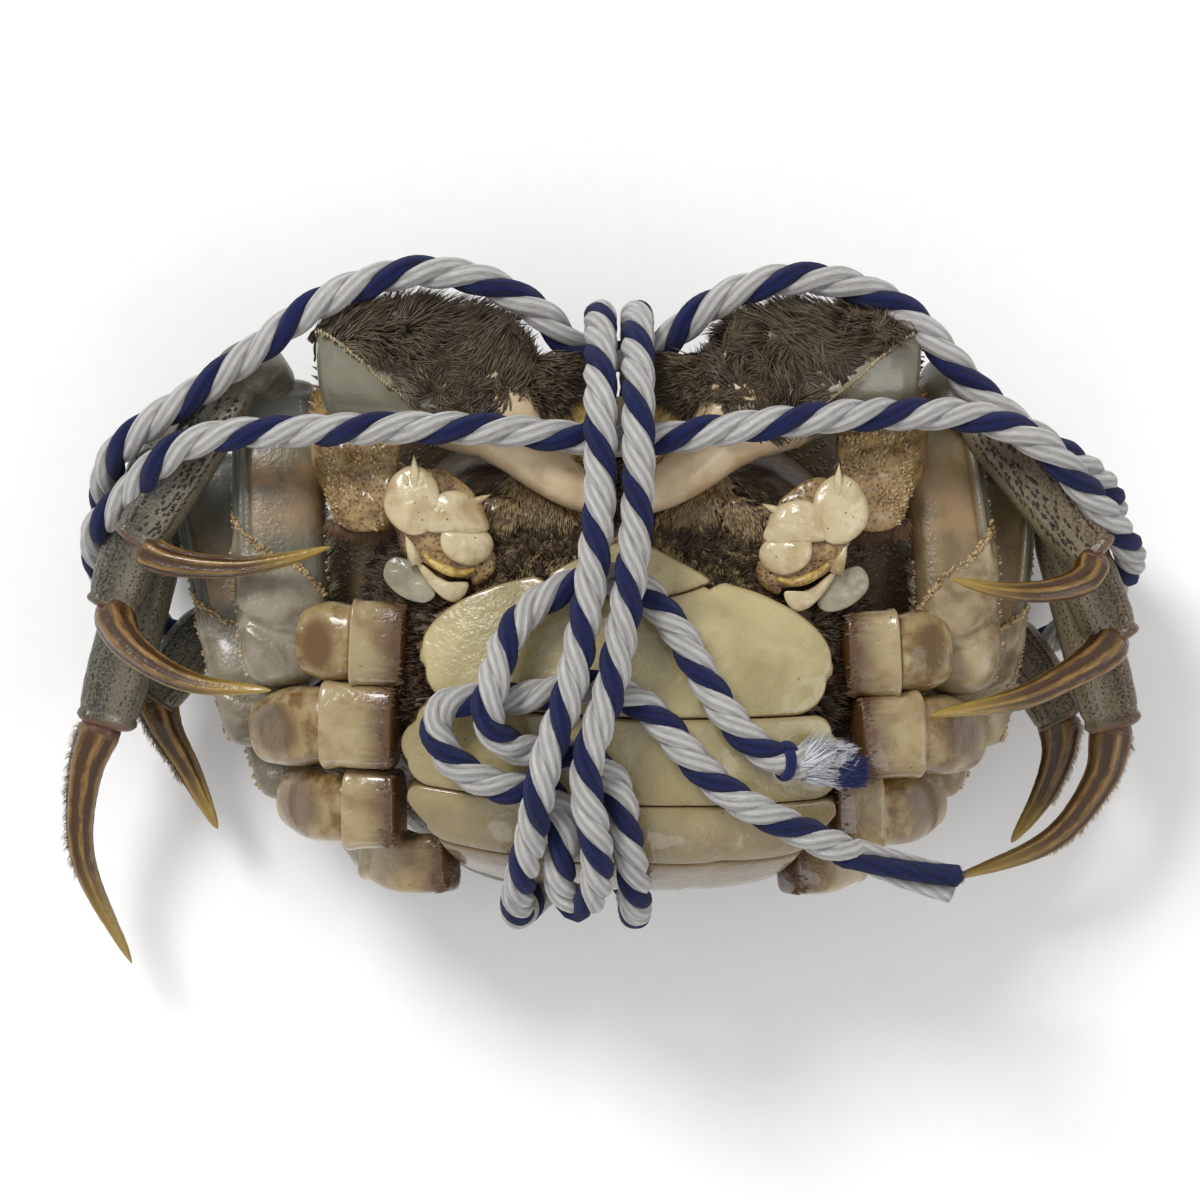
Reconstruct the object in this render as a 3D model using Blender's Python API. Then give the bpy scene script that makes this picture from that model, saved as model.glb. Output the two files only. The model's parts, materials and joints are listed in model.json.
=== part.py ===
"""A female hairy crab (Chinese mitten crab) tied with rope, lying on its back.

+Z is the belly side, +Y the head end and +X the crab's side on the right of the picture.
Sizes are in millimetres until add_mesh and rope_tube turn them into metres.
They are measured from the floor under the middle of the carapace. PLACE moves them so that the
origin is under the middle of the tied crab, without the rope's loose tails.
"""
import math
import random

import bmesh
import bpy
from mathutils import Matrix, Vector
from mathutils.bvhtree import BVHTree

MM = 0.001
PLACE = Vector((1.93, 2.661, 0))
GAP = 0.3
FLAT_ANGLE = math.radians(1.0)
BELLY_SIDE = (0, 0, 1)
CUT_GROWTH = (1.0, 1.08, 1.2, 0.9)
BOOLEAN_METHODS = (("EXACT", False), ("EXACT", True), ("MANIFOLD", False))

# Carapace: half of its outline seen from above, and the heights of its parts
OUTLINE_HALF = [
    (0, 23.2), (6, 23.6), (11, 23.4), (17, 22.4), (22.5, 21.2), (27.5, 17), (31.4, 11),
    (33.6, 3), (33.8, -5), (31.6, -14), (27, -22), (20.5, -28.5), (13.5, -32), (0, -33),
]
OUTLINE_MIDDLE = Vector((0, -4.5))
OUTLINE_SIDES = 32
APEX_Z = 7.7
RIM_Z = 19.0
DOME_RINGS = (0.2, 0.42, 0.62, 0.78, 0.9, 0.97)
DOME_REACH = 30.0
DOME_POWER = 2.6
DOME_ROUND = 0.75
WALL_STEPS = ((0.25, 0.975), (0.6, 0.915), (1.0, 0.83))
WALL_TOP_Z = 26.6
WALL_TOP_FRONT_Y = 6.0
WALL_TOP_SLOPE = 0.27
SIDE_TEETH = ((22.4, 21.0), (27.9, 16.2), (31.4, 10.6), (33.2, 4.6))
FRONT_TEETH = (4.4, 10.0)
SIDE_TOOTH_ROOT = (1.6, 0.6)
SIDE_TOOTH_OUT = 0.9
FRONT_TOOTH_ROOT = 1.4
FRONT_TOOTH_RADIUS = 1.9
TOOTH_LENGTH = 2.6
TOOTH_RADIUS = 1.5
GASTRIC_LUMPS = ((4.6, 9.0), (5.4, 3.2), (10.2, 6.5))
LUMP_RADIUS = 1.5
LUMP_SUNK = 1.0
LUMP_HEIGHT = 0.9

# Thorax: the underside between the legs
THORAX_STEPS = ((0.0, 0.825), (0.4, 0.8), (0.8, 0.76))
THORAX_TOP_RINGS = (0.7, 0.5, 0.25)
STERNUM_Z = 38.0
STERNUM_SIDE_FALL = 0.0045
STERNUM_FRONT_Y = 5.0
STERNUM_FRONT_FALL = 0.8
STERNUM_REAR_Y = -12.0
STERNUM_REAR_FALL = 0.02

# Abdomen: its middle line seen from the side, and its plates along that line
ABDOMEN_LINE = [
    (6.8, 39.6), (2, 41), (-6, 42.2), (-14, 42.5), (-21, 41.8), (-26, 39.8), (-29.6, 36.2),
    (-31.6, 31.5), (-32.4, 26), (-32.7, 20.9),
]
ABDOMEN_TURN = math.radians(2.0)
ABDOMEN_PIVOT = Vector((0, -30, 0))
ABDOMEN_SAG = 3.6
ABDOMEN_WIDE = 24.0
PLATE_THICK = 3.2
PLATE_CROWN = 0.8
PLATE_COLUMNS = 12
PLATE_ROWS = 3
PLATE_SPREAD = 0.8

# Abdomen plates: distances along the middle line, and half widths at front, middle and back
SEAM_EXTRA = 0.05
TELSON_APEX = 0.2
TELSON_FALL = 4.0
TELSON_POINT = 1.3
TELSON_HALF = 8.6
TELSON_BACK = 6.9
TELSON_BACK_BEND = 2.2
TELSON_THICK = 2.4
SIXTH_APEX = 3.5
SIXTH_RISE = 9.0
SIXTH_HALF = 22.3
NOTCH_STEP = 1.2
NOTCH_SIDE = 1.5
SEAM_65 = (19.7, 1.4)
SEAM_54 = (29.3, 0.8)
SEAM_43 = 37.2
ABDOMEN_END = 53.0
TELSON_WIDTHS = (8.5, 8.6, 8.5)
SIXTH_WIDTHS = (22.1, 22.3, 21.6)
FIFTH_WIDTHS = (22.4, 24.0, 23.2)
FOURTH_WIDTHS = (23.2, 22.9, 21.0)
HIND_WIDTHS = (19.8, 16.6, 12.6)

# Outer jaws, eyes and feelers, drawn for the +X side
JAW_LINE = [(9, 7.5, 35), (7.5, 11, 33.4), (5.5, 15, 30.6)]
JAW_SECTIONS = ((0, 3.0, 1.2), (0.2, 4.2, 1.8), (0.5, 4.2, 2.0), (0.8, 3.8, 1.8), (1, 2.4, 1.0))
JAW_BRIDGE = [(-6, 9.5, 32.6), (6, 9.5, 32.6)]
JAW_BRIDGE_SECTIONS = ((0, 2, 1.2), (1, 2, 1.2))
EYE_STALK = [(10.8, 21.4, 20.2), (13.4, 23.4, 20.4), (16, 24.4, 20.6)]
EYE_STALK_SECTIONS = ((0, 1.3, 1.3), (0.5, 1.2, 1.2), (1, 1.5, 1.5))
EYE_BALL = [(14.8, 24, 20.6), (19, 25.6, 20.8)]
EYE_BALL_SECTIONS = ((0, 0.7, 0.7), (0.15, 1.6, 1.6), (0.45, 2.1, 2.1), (0.75, 1.7, 1.7), (1, 0.6, 0.6))
ANTENNA_LINE = [(7.6, 22, 21.4), (9.4, 25, 21.6), (13, 28, 21), (18, 30, 19.6), (23, 30.6, 18)]
ANTENNA_SECTIONS = ((0, 1.1, 1.1), (0.14, 1.1, 1.1), (0.2, 0.6, 0.6), (0.6, 0.42, 0.42), (1, 0.25, 0.25))

ROPE = 3.5
ROPE_SIDES_TURN = math.radians(22.5)
ROPE_FLOOR_Z = ROPE / 2 * math.cos(ROPE_SIDES_TURN)

# Claws, drawn for the crab's side at -X and mirrored for the other
CLAW_BASE = [(-17.0, -0.5, 33.5), (-18.2, 3.5, 35.5), (-20.5, 8.0, 36.6), (-22.2, 10.6, 36.2)]
CLAW_BASE_SECTIONS = ((0, 3.2, 3.0), (0.3, 3.9, 3.4), (0.65, 4.5, 3.6), (1, 3.8, 3.0))
CLAW_BASE_SPINES = ((-21.6, 12.6, -0.6, 2.8), (-17, 10.2, 1.6, 2.2), (-16.4, 5.6, 1.8, 1.2))
CLAW_BASE_SPINE_Z = 37.6
CLAW_BASE_SPINE_RADIUS = 1.2
CLAW_SPINE_RISE = 0.8
CLAW_ARM = [
    (-23.2, 11.0, 35.2), (-26.6, 12.0, 33.4), (-29.2, 14.8, 31.0), (-30.8, 19.4, 28.6),
    (-31.0, 24.0, 28.0),
]
CLAW_ARM_SECTIONS = (
    (0, 3.4, 2.8), (0.2, 4.2, 3.3), (0.5, 4.4, 3.6), (0.75, 3.6, 3.2), (0.95, 3.4, 2.8), (1, 2.4, 2.0),
)
ARM_SPINES = 4
ARM_SPINE_FIRST = (33.2, 19, 29.4)
ARM_SPINE_STEP = (0, 1.9, -0.2)
ARM_SPINE_OUT = 1.7
ARM_SPINE_RADIUS = 0.8
PALM_LINE = [
    (-32.9, 24.8, 33.5), (-30.5, 25, 33.6), (-24.4, 24.7, 34), (-17.6, 23, 34.4),
    (-12.6, 19.4, 35.4), (-8.0, 14.6, 37), (-3.4, 11.2, 38), (-1.1, 9.3, 38.4),
]
PALM_SECTIONS = (
    (0.0, 3.6, 3.4), (0.07, 5.2, 4.8), (0.24, 6.4, 5.8), (0.44, 6.6, 6.0), (0.58, 5.2, 5.0),
    (0.72, 3.4, 3.6), (0.88, 2.4, 2.6), (0.97, 1.2, 1.4), (1.0, 0.5, 0.5),
)
THUMB_LINE = [(-9.4, 24.6, 35.0), (-5.6, 20.8, 36.2), (-3.2, 16.2, 37.2), (-1.7, 12.2, 37.9)]
THUMB_SECTIONS = (
    (0.0, 2.6, 2.8), (0.2, 3.0, 3.0), (0.5, 2.4, 2.5), (0.8, 1.7, 1.8), (1.0, 0.5, 0.5),
)
FUR_COLUMNS = (0.03, 0.15, 0.28, 0.41, 0.54)
FUR_ROWS = 5
FUR_LOW_ANGLE = math.radians(-55)
FUR_TOP_ANGLES = (math.radians(55), math.radians(125))
FUR_REACH = 0.15
FUR_DEPTH = 3.4
FUR_TOP_SHARE = 0.75
LOCK_WIDTH = 4.2
LOCK_THICK = 1.3
LOCK_ROOT = 1.3
LOCK_STEPS = (0.0, 0.35, 0.7)
LOCK_WIDTHS = (0.8, 1.0, 0.75)

# Walking legs, front to back: base, merus, shank (carpus and propodus) and dactyl
LEGS = {
    "left_1": {
        "base": [(-23.4, -4.9, 34.6), (-29.9, -4.6, 34.4), (-34.8, -4.4, 32)],
        "merus": [(-36.6, -9.6, 29.4), (-37.4, 2, 28.8), (-37.8, 12, 27.6), (-38.4, 24.6, 25.0)],
        "shank": [
            (-38.3, 21, 25.2), (-38.7, 24.4, 25.8), (-39.8, 26.1, 28.4), (-41.6, 24.6, 31),
            (-44, 20.6, 31.8), (-53.4, 6, 31.2),
        ],
        "dactyl": [
            (-52.4, 5.8, 31.8), (-49, 4.3, 33.3), (-42.2, 3.6, 34.8), (-36.5, 4.4, 35.4), (-31.4, 5.8, 35.6),
        ],
        "merus_size": (5.2, 3.1),
        "shank_size": (3.0, 2.2),
    },
    "left_2": {
        "base": [(-24.5, -13.9, 34.6), (-32.2, -13.6, 33.6), (-37, -14.2, 29.5), (-39, -14.8, 25.5)],
        "merus": [(-39.6, -16.4, 23.2), (-43.4, 0, 21.2), (-47.4, 16.4, 19)],
        "shank": [
            (-47.2, 15.4, 19), (-48.2, 18.9, 19.6), (-49.4, 20.3, 22), (-50.8, 18.4, 24.8),
            (-51.8, 14.4, 25.4), (-56.8, -1.3, 25),
        ],
        "dactyl": [
            (-56.8, -0.8, 25.4), (-54.8, -4.4, 28.2), (-50.4, -7.6, 31.4), (-45.5, -9.3, 34),
            (-37.7, -9.8, 37),
        ],
        "merus_size": (4.6, 2.7),
        "shank_size": (3.1, 2.2),
    },
    "left_3": {
        "base": [(-24.2, -22.8, 33), (-29.8, -22.8, 31.8), (-34.2, -22.4, 27), (-36.4, -21.8, 21.5)],
        "merus": [(-36.8, -22.6, 18.2), (-42, -5.4, 15.2), (-47.4, 11.4, 12)],
        "shank": [
            (-47.2, 10.4, 12), (-48.4, 13.4, 12.6), (-49.8, 14.6, 15), (-51.4, 12.4, 17.2),
            (-52.8, 7.6, 17.6), (-58.8, -14.7, 17),
        ],
        "dactyl": [(-58.9, -13.8, 16.8), (-61.3, -20, 15.6), (-61.8, -30, 13.6), (-56.7, -42.4, 10)],
        "merus_size": (4.0, 2.5),
        "shank_size": (3.5, 2.3),
    },
    "left_4": {
        "base": [(-18.7, -29, 30), (-23.4, -29.2, 28), (-27.6, -27.8, 22), (-29.8, -26.2, 16.5)],
        "merus": [(-30.4, -26.2, 13.6), (-37, -15.8, 10.6), (-43.4, -5.6, 7.8)],
        "shank": [
            (-43, -6.4, 7.9), (-45, -3.6, 8), (-47.2, -2.8, 8.8), (-49.2, -4.6, 9.6),
            (-51.2, -7.4, 10), (-54.4, -11.8, 10.4),
        ],
        "dactyl": [(-54, -11, 10.4), (-52.6, -15, 10.6), (-49.9, -20, 10.2), (-46.8, -26.8, 9)],
        "merus_size": (3.8, 2.2),
        "shank_size": (3.0, 1.8),
    },
    "right_1": {
        "base": [(24.8, -6, 34.6), (31.1, -5.7, 34.4), (36, -5.5, 32)],
        "merus": [(37.8, -10.6, 29.4), (37.6, 1, 28.4), (36.4, 12, 26.8), (35.2, 22.6, 24.2)],
        "shank": [
            (35.2, 20.2, 24.4), (35.4, 22.8, 24.8), (36.2, 24.0, 26.8), (38.2, 22.6, 28.8),
            (41.2, 18.8, 29.6), (52.8, 4.4, 30.8),
        ],
        "dactyl": [
            (52.4, 4.8, 31.6), (51, 2.3, 33), (46.8, 1, 34.5), (41.5, 1.1, 35.5), (36.1, 2.3, 36.2),
        ],
        "merus_size": (4.7, 3.1),
        "shank_size": (3.1, 2.2),
    },
    "right_2": {
        "base": [(26.2, -15.1, 34.6), (32.2, -14.6, 33.6), (36.9, -15, 29.5), (38.8, -15.4, 25.5)],
        "merus": [(39.2, -16.6, 23.2), (41.8, -0.6, 21.2), (43.6, 13.6, 19)],
        "shank": [
            (43.5, 12.6, 19), (44.2, 16, 19.6), (45.4, 17.3, 22), (47, 15.4, 24.8),
            (48.8, 11.8, 25.4), (55.8, -5, 25),
        ],
        "dactyl": [
            (55.6, -4.2, 25.4), (53.6, -6.2, 27.4), (49.4, -8.6, 29.6), (43.8, -10.9, 32.6),
            (33.7, -12.5, 37.2),
        ],
        "merus_size": (4.6, 2.7),
        "shank_size": (3.1, 2.2),
    },
    "right_3": {
        "base": [(23.4, -23.3, 33), (28.6, -23.2, 31.8), (32.8, -22.6, 27), (34.8, -21.8, 21.5)],
        "merus": [(35.4, -22.4, 18.2), (40.4, -5.6, 15.2), (45.2, 11.4, 12)],
        "shank": [
            (45, 10.4, 12), (46, 13.4, 12.6), (47.4, 14.6, 15), (49.2, 12.4, 17.2),
            (50.8, 7.4, 17.6), (57, -15, 17),
        ],
        "dactyl": [(56.8, -14, 17), (55.4, -20.4, 16.6), (49.8, -27.6, 15.6), (38.9, -32.2, 14)],
        "merus_size": (4.0, 2.5),
        "shank_size": (3.3, 2.3),
    },
    "right_4": {
        "base": [(18.8, -29.3, 30), (22.8, -29.2, 28), (26.4, -27.8, 22), (28.2, -26.4, 16.5)],
        "merus": [(28.8, -26.6, 13.6), (35.2, -16.2, 10.6), (41, -6.6, 7.8)],
        "shank": [
            (40.6, -7.4, 7.9), (42.4, -4.4, 8), (44.6, -3.6, 8.8), (46.8, -5.6, 9.6),
            (48.8, -8.6, 10), (52, -14.4, 10.4),
        ],
        "dactyl": [(51.6, -13.6, 10.4), (51.4, -18, 10.6), (49.4, -23.2, 10.2), (46.1, -28.4, 9)],
        "merus_size": (3.8, 2.2),
        "shank_size": (3.0, 1.8),
    },
}
BASE_HALF_WIDTH = {"1": 4.3, "2": 4.3, "3": 4.0, "4": 2.9}
BASE_HALF_THICK = {"1": 3.2, "2": 3.2, "3": 3.0, "4": 2.3}
BASE_SECTIONS = (
    (0, 0.95, 1), (0.1, 1, 1), (0.4, 1, 1), (0.46, 0.84, 0.86), (0.52, 0.93, 0.96),
    (0.78, 0.92, 0.92), (0.94, 0.84, 0.84), (1, 0.7, 0.7),
)
DACTYL_RADIUS = {"1": (2.0, 1.5), "2": (2.35, 1.75), "3": (2.5, 1.9), "4": (2.6, 1.3)}
MERUS_SECTIONS = (
    (0, 0.55, 0.7), (0.08, 0.82, 0.95), (0.35, 1, 1), (0.7, 0.92, 0.95), (0.94, 0.72, 0.86), (1, 0.6, 0.72),
)
SHANK_SECTIONS = (
    (0, 0.72, 0.72), (0.06, 0.9, 0.9), (0.14, 1, 1), (0.3, 1, 1), (0.36, 0.9, 0.92), (0.44, 1, 1),
    (0.8, 1, 1), (0.96, 0.86, 0.9), (1, 0.7, 0.75),
)
DACTYL_SECTIONS = ((0, 0.8, 0.8), (0.06, 1, 1), (0.3, 0.74, 0.8), (0.6, 0.52, 0.58), (0.88, 0.27, 0.3))
DACTYL_TIP = 0.12

# Rope routes, each point chosen by hand where the rope bears on the crab
WRAP_FRONT = [
    (-58.2, 10, 17), (-58, 11.4, 22), (-57, 13.8, 27), (-55.2, 16.4, 31), (-51.8, 19, 33.4),
    (-47.2, 21.8, 34.8), (-42.6, 25, 35.4), (-38, 28.3, 35.8), (-33.6, 31.6, 36.4),
    (-28, 34.2, 37), (-21.5, 35.5, 38), (-15, 34.6, 38), (-8.8, 31.4, 37), (-5, 27.7, 35),
    (-2, 26.7, 33.8), (2, 26.7, 33.8), (4.8, 27.8, 35.2), (8.6, 31, 37), (14, 33.8, 38),
    (20.8, 34.8, 38), (27.4, 33.3, 37), (32, 30.6, 36.2), (35.4, 27, 35.4), (38.6, 23.6, 34.2),
    (42.2, 20.4, 33.4), (45.8, 17.8, 33), (49.6, 15.6, 31.6), (53.6, 13.2, 27.4),
    (55.8, 10.8, 22), (56.2, 9.8, 17), (55, 9.2, 11), (52, 9, 6.2), (48, 9, 2.9),
    (42, 9, 1.8), (38, 9, ROPE_FLOOR_Z), (-38, 9, ROPE_FLOOR_Z), (-42, 9, 1.8), (-48, 9, 2.9),
    (-53, 9, 6.2), (-57, 9.2, 11),
]
WRAP_MIDDLE = [
    (-59.4, 4, 17), (-59, 6.4, 22), (-57.8, 8.4, 27), (-53.6, 12, 31.8), (-50.6, 14.6, 35),
    (-47, 16.9, 36.4), (-42, 17.9, 37.4), (-34.5, 18.2, 39.2), (-28.6, 18.3, 41.2),
    (-23.4, 18.4, 42.6), (-12.7, 18.1, 43.4), (-3.1, 17.2, 43.2), (4.4, 17.2, 43.2),
    (10.7, 18.1, 43.4), (19.3, 19.2, 42.6), (25, 19.8, 41.2), (30.4, 20, 39.4),
    (37, 20, 38.2), (42, 18.8, 37.6), (46.4, 16.4, 37), (50.4, 12.6, 34.8), (53.8, 9.2, 31),
    (56.8, 6.2, 26), (58.2, 4.2, 20), (57.6, 2, 14), (54.8, -1.6, 8.4), (51, -4.8, 4.8),
    (47.4, -7, 2.9), (41.6, -9, 1.8), (37.4, -9.4, ROPE_FLOOR_Z), (-37.4, -9.4, ROPE_FLOOR_Z),
    (-41.6, -9, 1.8), (-47.4, -7, 2.9), (-52, -4.4, 4.8), (-56.2, -0.6, 8.8), (-58.8, 2.2, 13),
]
WRAP_SPLIT_X = 44.8
TAIL_SHORT = [
    (24.4, -17.7, 41.2), (22.2, -17.6, 42.1), (20, -17.4, 43), (18, -17.2, 43.6),
    (16.2, -16.6, 44.1), (14.4, -15.4, 44.4), (12.8, -13.8, 44.6), (11.2, -11.8, 44.7),
    (9.8, -9.7, 44.8), (8.6, -7.6, 44.8), (7.5, -5.5, 44.8), (6.5, -3.7, 44.7),
    (5.2, -2, 44.6), (3.8, -0.3, 44.5), (2.2, 1.3, 44.4),
]
BOW_AND_TURN_LEFT = [
    (-0.2, 2.3, 44.3), (-3, 2.2, 44.3), (-6, 1.2, 44.5), (-9.5, -1.1, 44.8),
    (-11.8, -4.2, 46), (-13.2, -8.4, 48), (-13.9, -12, 48.5), (-12.6, -14.6, 46.6),
    (-9.8, -16.0, 44.8), (-6.3, -16.4, 44.6), (-2.6, -17.4, 44.6),
    (-0.2, -20, 44.5), (0.5, -23.8, 44.1), (1.4, -28.6, 42.2), (1.8, -32.2, 38.2),
    (1.8, -34.3, 32), (1.8, -34.8, 25), (1.4, -33.4, 15.4), (0, -30.4, 8.4),
    (-1.2, -25.4, 5.6), (-2, -18, 5.5), (-2, -4.5, 5.5), (-2, 6, 5.9), (-2, 15, 8.3),
    (-2, 22.8, 12.6), (-2, 28.2, 19), (-2, 30.6, 27), (-2, 31.1, 33.6), (-2, 29.8, 38.2),
    (-2, 26.6, 42.2), (-2, 22, 46), (-2, 17, 47.4), (-2.0, 12, 47.8), (-2.5, 6, 48.4),
    (-3.3, 0, 48.9), (-5.2, -9.4, 48.9), (-7.6, -16.6, 48.9), (-8.6, -21.2, 48.5),
    (-9.4, -25.4, 45.6), (-10.4, -29.2, 42.2), (-11, -32.2, 37.6), (-11.1, -34.3, 32),
]
TURN_RIGHT_AND_BAND = [
    (-10.7, -34.8, 25), (-8.6, -33.4, 17), (-5, -30.6, 12), (-1, -26, 9.9), (1.4, -21, 8.3),
    (2.1, -14, 6.1), (2.1, -4.5, 5.5), (2, 6, 5.9), (2, 15, 8.3), (2, 22.8, 12.6),
    (2, 28.2, 19), (2, 30.6, 27), (2, 31.1, 33.6), (2, 29.8, 38.2), (2, 26.6, 42.2),
    (2, 22, 46), (2, 17, 47.4), (2, 12, 47.8), (1.6, 6, 48.4), (0.8, 0, 48.9),
    (-1.0, -9.4, 48.9), (-3.3, -16.6, 48.9), (-3.4, -20.8, 48.8), (-2.6, -24.6, 47.8),
    (-2.3, -28.4, 45.4), (-2.8, -31.4, 42), (-4.4, -32.9, 39.6), (-5.9, -31.4, 40.6),
    (-6.4, -28.8, 42.8), (-6.1, -26.4, 43.9), (-5.7, -24, 44.4), (-6.2, -21.8, 44.4),
    (-8.4, -20.4, 44.4), (-11.2, -20.1, 44.4), (-14.2, -19.3, 44.4), (-17.6, -17.2, 44.2),
    (-19.5, -13.8, 44), (-18.4, -11.2, 44.2), (-14.8, -10.5, 44.4), (-10.5, -10.4, 44.5),
    (-6, -9.6, 44.6), (-2.8, -9.2, 44.6),
]
TAIL_LONG = [
    (-0.4, -9.6, 44.6), (1.6, -10.6, 44.6), (3.4, -11.9, 44.6), (5.2, -13.8, 44.6),
    (6.9, -15.9, 44.6), (8.6, -17.8, 44.6), (10.4, -19.5, 44.4), (12.3, -21, 44.2),
    (14.6, -22.3, 43.8), (17, -23.5, 43.4), (19.3, -24.6, 42.9), (22, -25.9, 42.1),
    (24.8, -27.1, 41.2), (27.8, -28.2, 40.5), (30.8, -29.1, 39.7), (33.4, -29.8, 38.9),
    (36, -30.4, 38),
]
LONG_STRAND = (
    ("rope_tail_short", TAIL_SHORT), ("rope_turn_left", BOW_AND_TURN_LEFT),
    ("rope_turn_right", TURN_RIGHT_AND_BAND), ("rope_tail_long", TAIL_LONG),
)
ROPE_TURN_STEP = math.radians(21)
ROPE_LONG_STEP = 9.0
ROPE_SHORT_STEP = 1.6
ROPE_STUB = 0.8


def clear_scene():
    for item in list(bpy.data.objects):
        bpy.data.objects.remove(item, do_unlink=True)


def shell_material(name, colour, roughness):
    material = bpy.data.materials.new(name)
    material.use_nodes = True
    shader = material.node_tree.nodes["Principled BSDF"]
    shader.inputs["Base Color"].default_value = (*colour, 1)
    shader.inputs["Roughness"].default_value = roughness
    material.diffuse_color = (*colour, 1)
    return material


def make_materials():
    colours = {
        "cream_shell": ((0.62, 0.52, 0.3), 0.25),
        "back_shell": ((0.1, 0.11, 0.06), 0.35),
        "limb_shell": ((0.2, 0.19, 0.14), 0.4),
        "merus_shell": ((0.36, 0.36, 0.28), 0.35),
        "dactyl_horn": ((0.3, 0.17, 0.05), 0.25),
        "claw_shell": ((0.5, 0.42, 0.24), 0.3),
        "bristle": ((0.08, 0.055, 0.035), 0.8),
        "eye_black": ((0.01, 0.01, 0.01), 0.1),
        "rope_cotton": ((0.75, 0.74, 0.72), 0.9),
    }
    return {name: shell_material(name, *look) for name, look in colours.items()}


def add_mesh(name, points, faces, material):
    """An object with its own mesh, from points in millimetres, with outward triangles."""
    mesh = bpy.data.meshes.new(name)
    mesh.from_pydata([tuple((Vector(p) + PLACE) * MM) for p in points], [], faces)
    form = bmesh.new()
    form.from_mesh(mesh)
    bmesh.ops.triangulate(form, faces=form.faces[:])
    bmesh.ops.recalc_face_normals(form, faces=form.faces[:])
    form.to_mesh(mesh)
    form.free()
    mesh.materials.append(material)
    item = bpy.data.objects.new(name, mesh)
    bpy.context.scene.collection.objects.link(item)
    return item


def loft_faces(count, sides):
    faces = [list(range(sides))]
    for ring in range(count - 1):
        for side in range(sides):
            near = ring * sides + side
            next_side = ring * sides + (side + 1) % sides
            faces.append([near, next_side, next_side + sides, near + sides])
    faces.append(list(range((count - 1) * sides, count * sides)))
    return faces


def smooth_points(route, closed=False, steps=10):
    """Points close together on a smooth curve through the route's points."""
    route = [Vector(p) for p in route]
    count = len(route)
    spans = count if closed else count - 1
    dense = []
    for i in range(spans):
        if closed:
            a, b, c, d = (route[(i + k - 1) % count] for k in range(4))
        else:
            b, c = route[i], route[i + 1]
            a = route[i - 1] if i else b + (b - c)
            d = route[i + 2] if i + 2 < count else c + (c - b)
        reach = (c - b).length
        tangent_b = (c - a) * (reach / max((b - a).length + reach, 1e-9))
        tangent_c = (d - b) * (reach / max((d - c).length + reach, 1e-9))
        for k in range(steps):
            t = k / steps
            dense.append(
                b * (2 * t**3 - 3 * t**2 + 1)
                + tangent_b * (t**3 - 2 * t**2 + t)
                + c * (3 * t**2 - 2 * t**3)
                + tangent_c * (t**3 - t**2)
            )
    dense.append(route[0].copy() if closed else route[-1].copy())
    return dense


def lengths_along(dense):
    total = [0.0]
    for a, b in zip(dense, dense[1:]):
        total.append(total[-1] + (b - a).length)
    return total


def point_at(dense, along, distance):
    distance = min(max(distance, 0.0), along[-1])
    for i in range(len(along) - 1):
        if along[i + 1] >= distance:
            span = along[i + 1] - along[i]
            return dense[i].lerp(dense[i + 1], (distance - along[i]) / max(span, 1e-9))
    return dense[-1].copy()


def limb(name, route, sections, face, material, sides=10, power=2.5, ridge=0.0):
    """A closed limb along a smooth route.

    Each section is (share of the length, half width, half thickness). The thickness starts
    along face, and the frame turns with the route without twisting.
    """
    dense = smooth_points(route)
    along = lengths_along(dense)
    rings = []
    up = Vector(face)
    for share, half_width, half_thick in sections:
        distance = share * along[-1]
        middle = point_at(dense, along, distance)
        before = point_at(dense, along, distance - 0.4)
        after = point_at(dense, along, distance + 0.4)
        tangent = (after - before).normalized()
        up = (up - tangent * up.dot(tangent)).normalized()
        side = tangent.cross(up)
        ring = []
        for k in range(sides):
            angle = 2 * math.pi * (k + 0.5) / sides
            c, s = math.cos(angle), math.sin(angle)
            swell = 1 + ridge * (1 if k % 2 else -1)
            across = math.copysign(abs(c) ** (2 / power), c) * half_width * swell
            above = math.copysign(abs(s) ** (2 / power), s) * half_thick * swell
            ring.append(middle + side * across + up * above)
        rings.extend(ring)
    return add_mesh(name, rings, loft_faces(len(sections), sides), material)


def spike(name, root, tip, radius, material, sides=5, flat=1.0):
    """A tapered spine, its root sunk below the given root point."""
    root, tip = Vector(root), Vector(tip)
    axis = (tip - root).normalized()
    side = axis.orthogonal().normalized()
    other = axis.cross(side)
    points = []
    for k in range(sides):
        angle = 2 * math.pi * k / sides
        points.append(root + side * math.cos(angle) * radius + other * math.sin(angle) * radius * flat)
    points.append(tip)
    faces = [list(range(sides))]
    faces.extend([[k, (k + 1) % sides, sides] for k in range(sides)])
    return add_mesh(name, points, faces, material)


def is_sound(form):
    """Whether the surface is closed, with no edge or corner where two parts only touch."""
    edges = all(edge.is_manifold for edge in form.edges)
    return len(form.faces) > 3 and edges and all(vertex.is_manifold for vertex in form.verts)


def merge_flat_faces(mesh):
    """Join the faces of one plane that a cut has split, where the mesh stays closed."""
    form = bmesh.new()
    form.from_mesh(mesh)
    bmesh.ops.dissolve_limit(form, angle_limit=FLAT_ANGLE, verts=form.verts[:], edges=form.edges[:])
    bmesh.ops.triangulate(form, faces=form.faces[:])
    if is_sound(form):
        form.to_mesh(mesh)
    form.free()


def is_closed(mesh):
    form = bmesh.new()
    form.from_mesh(mesh)
    sound = is_sound(form)
    form.free()
    return sound


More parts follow.
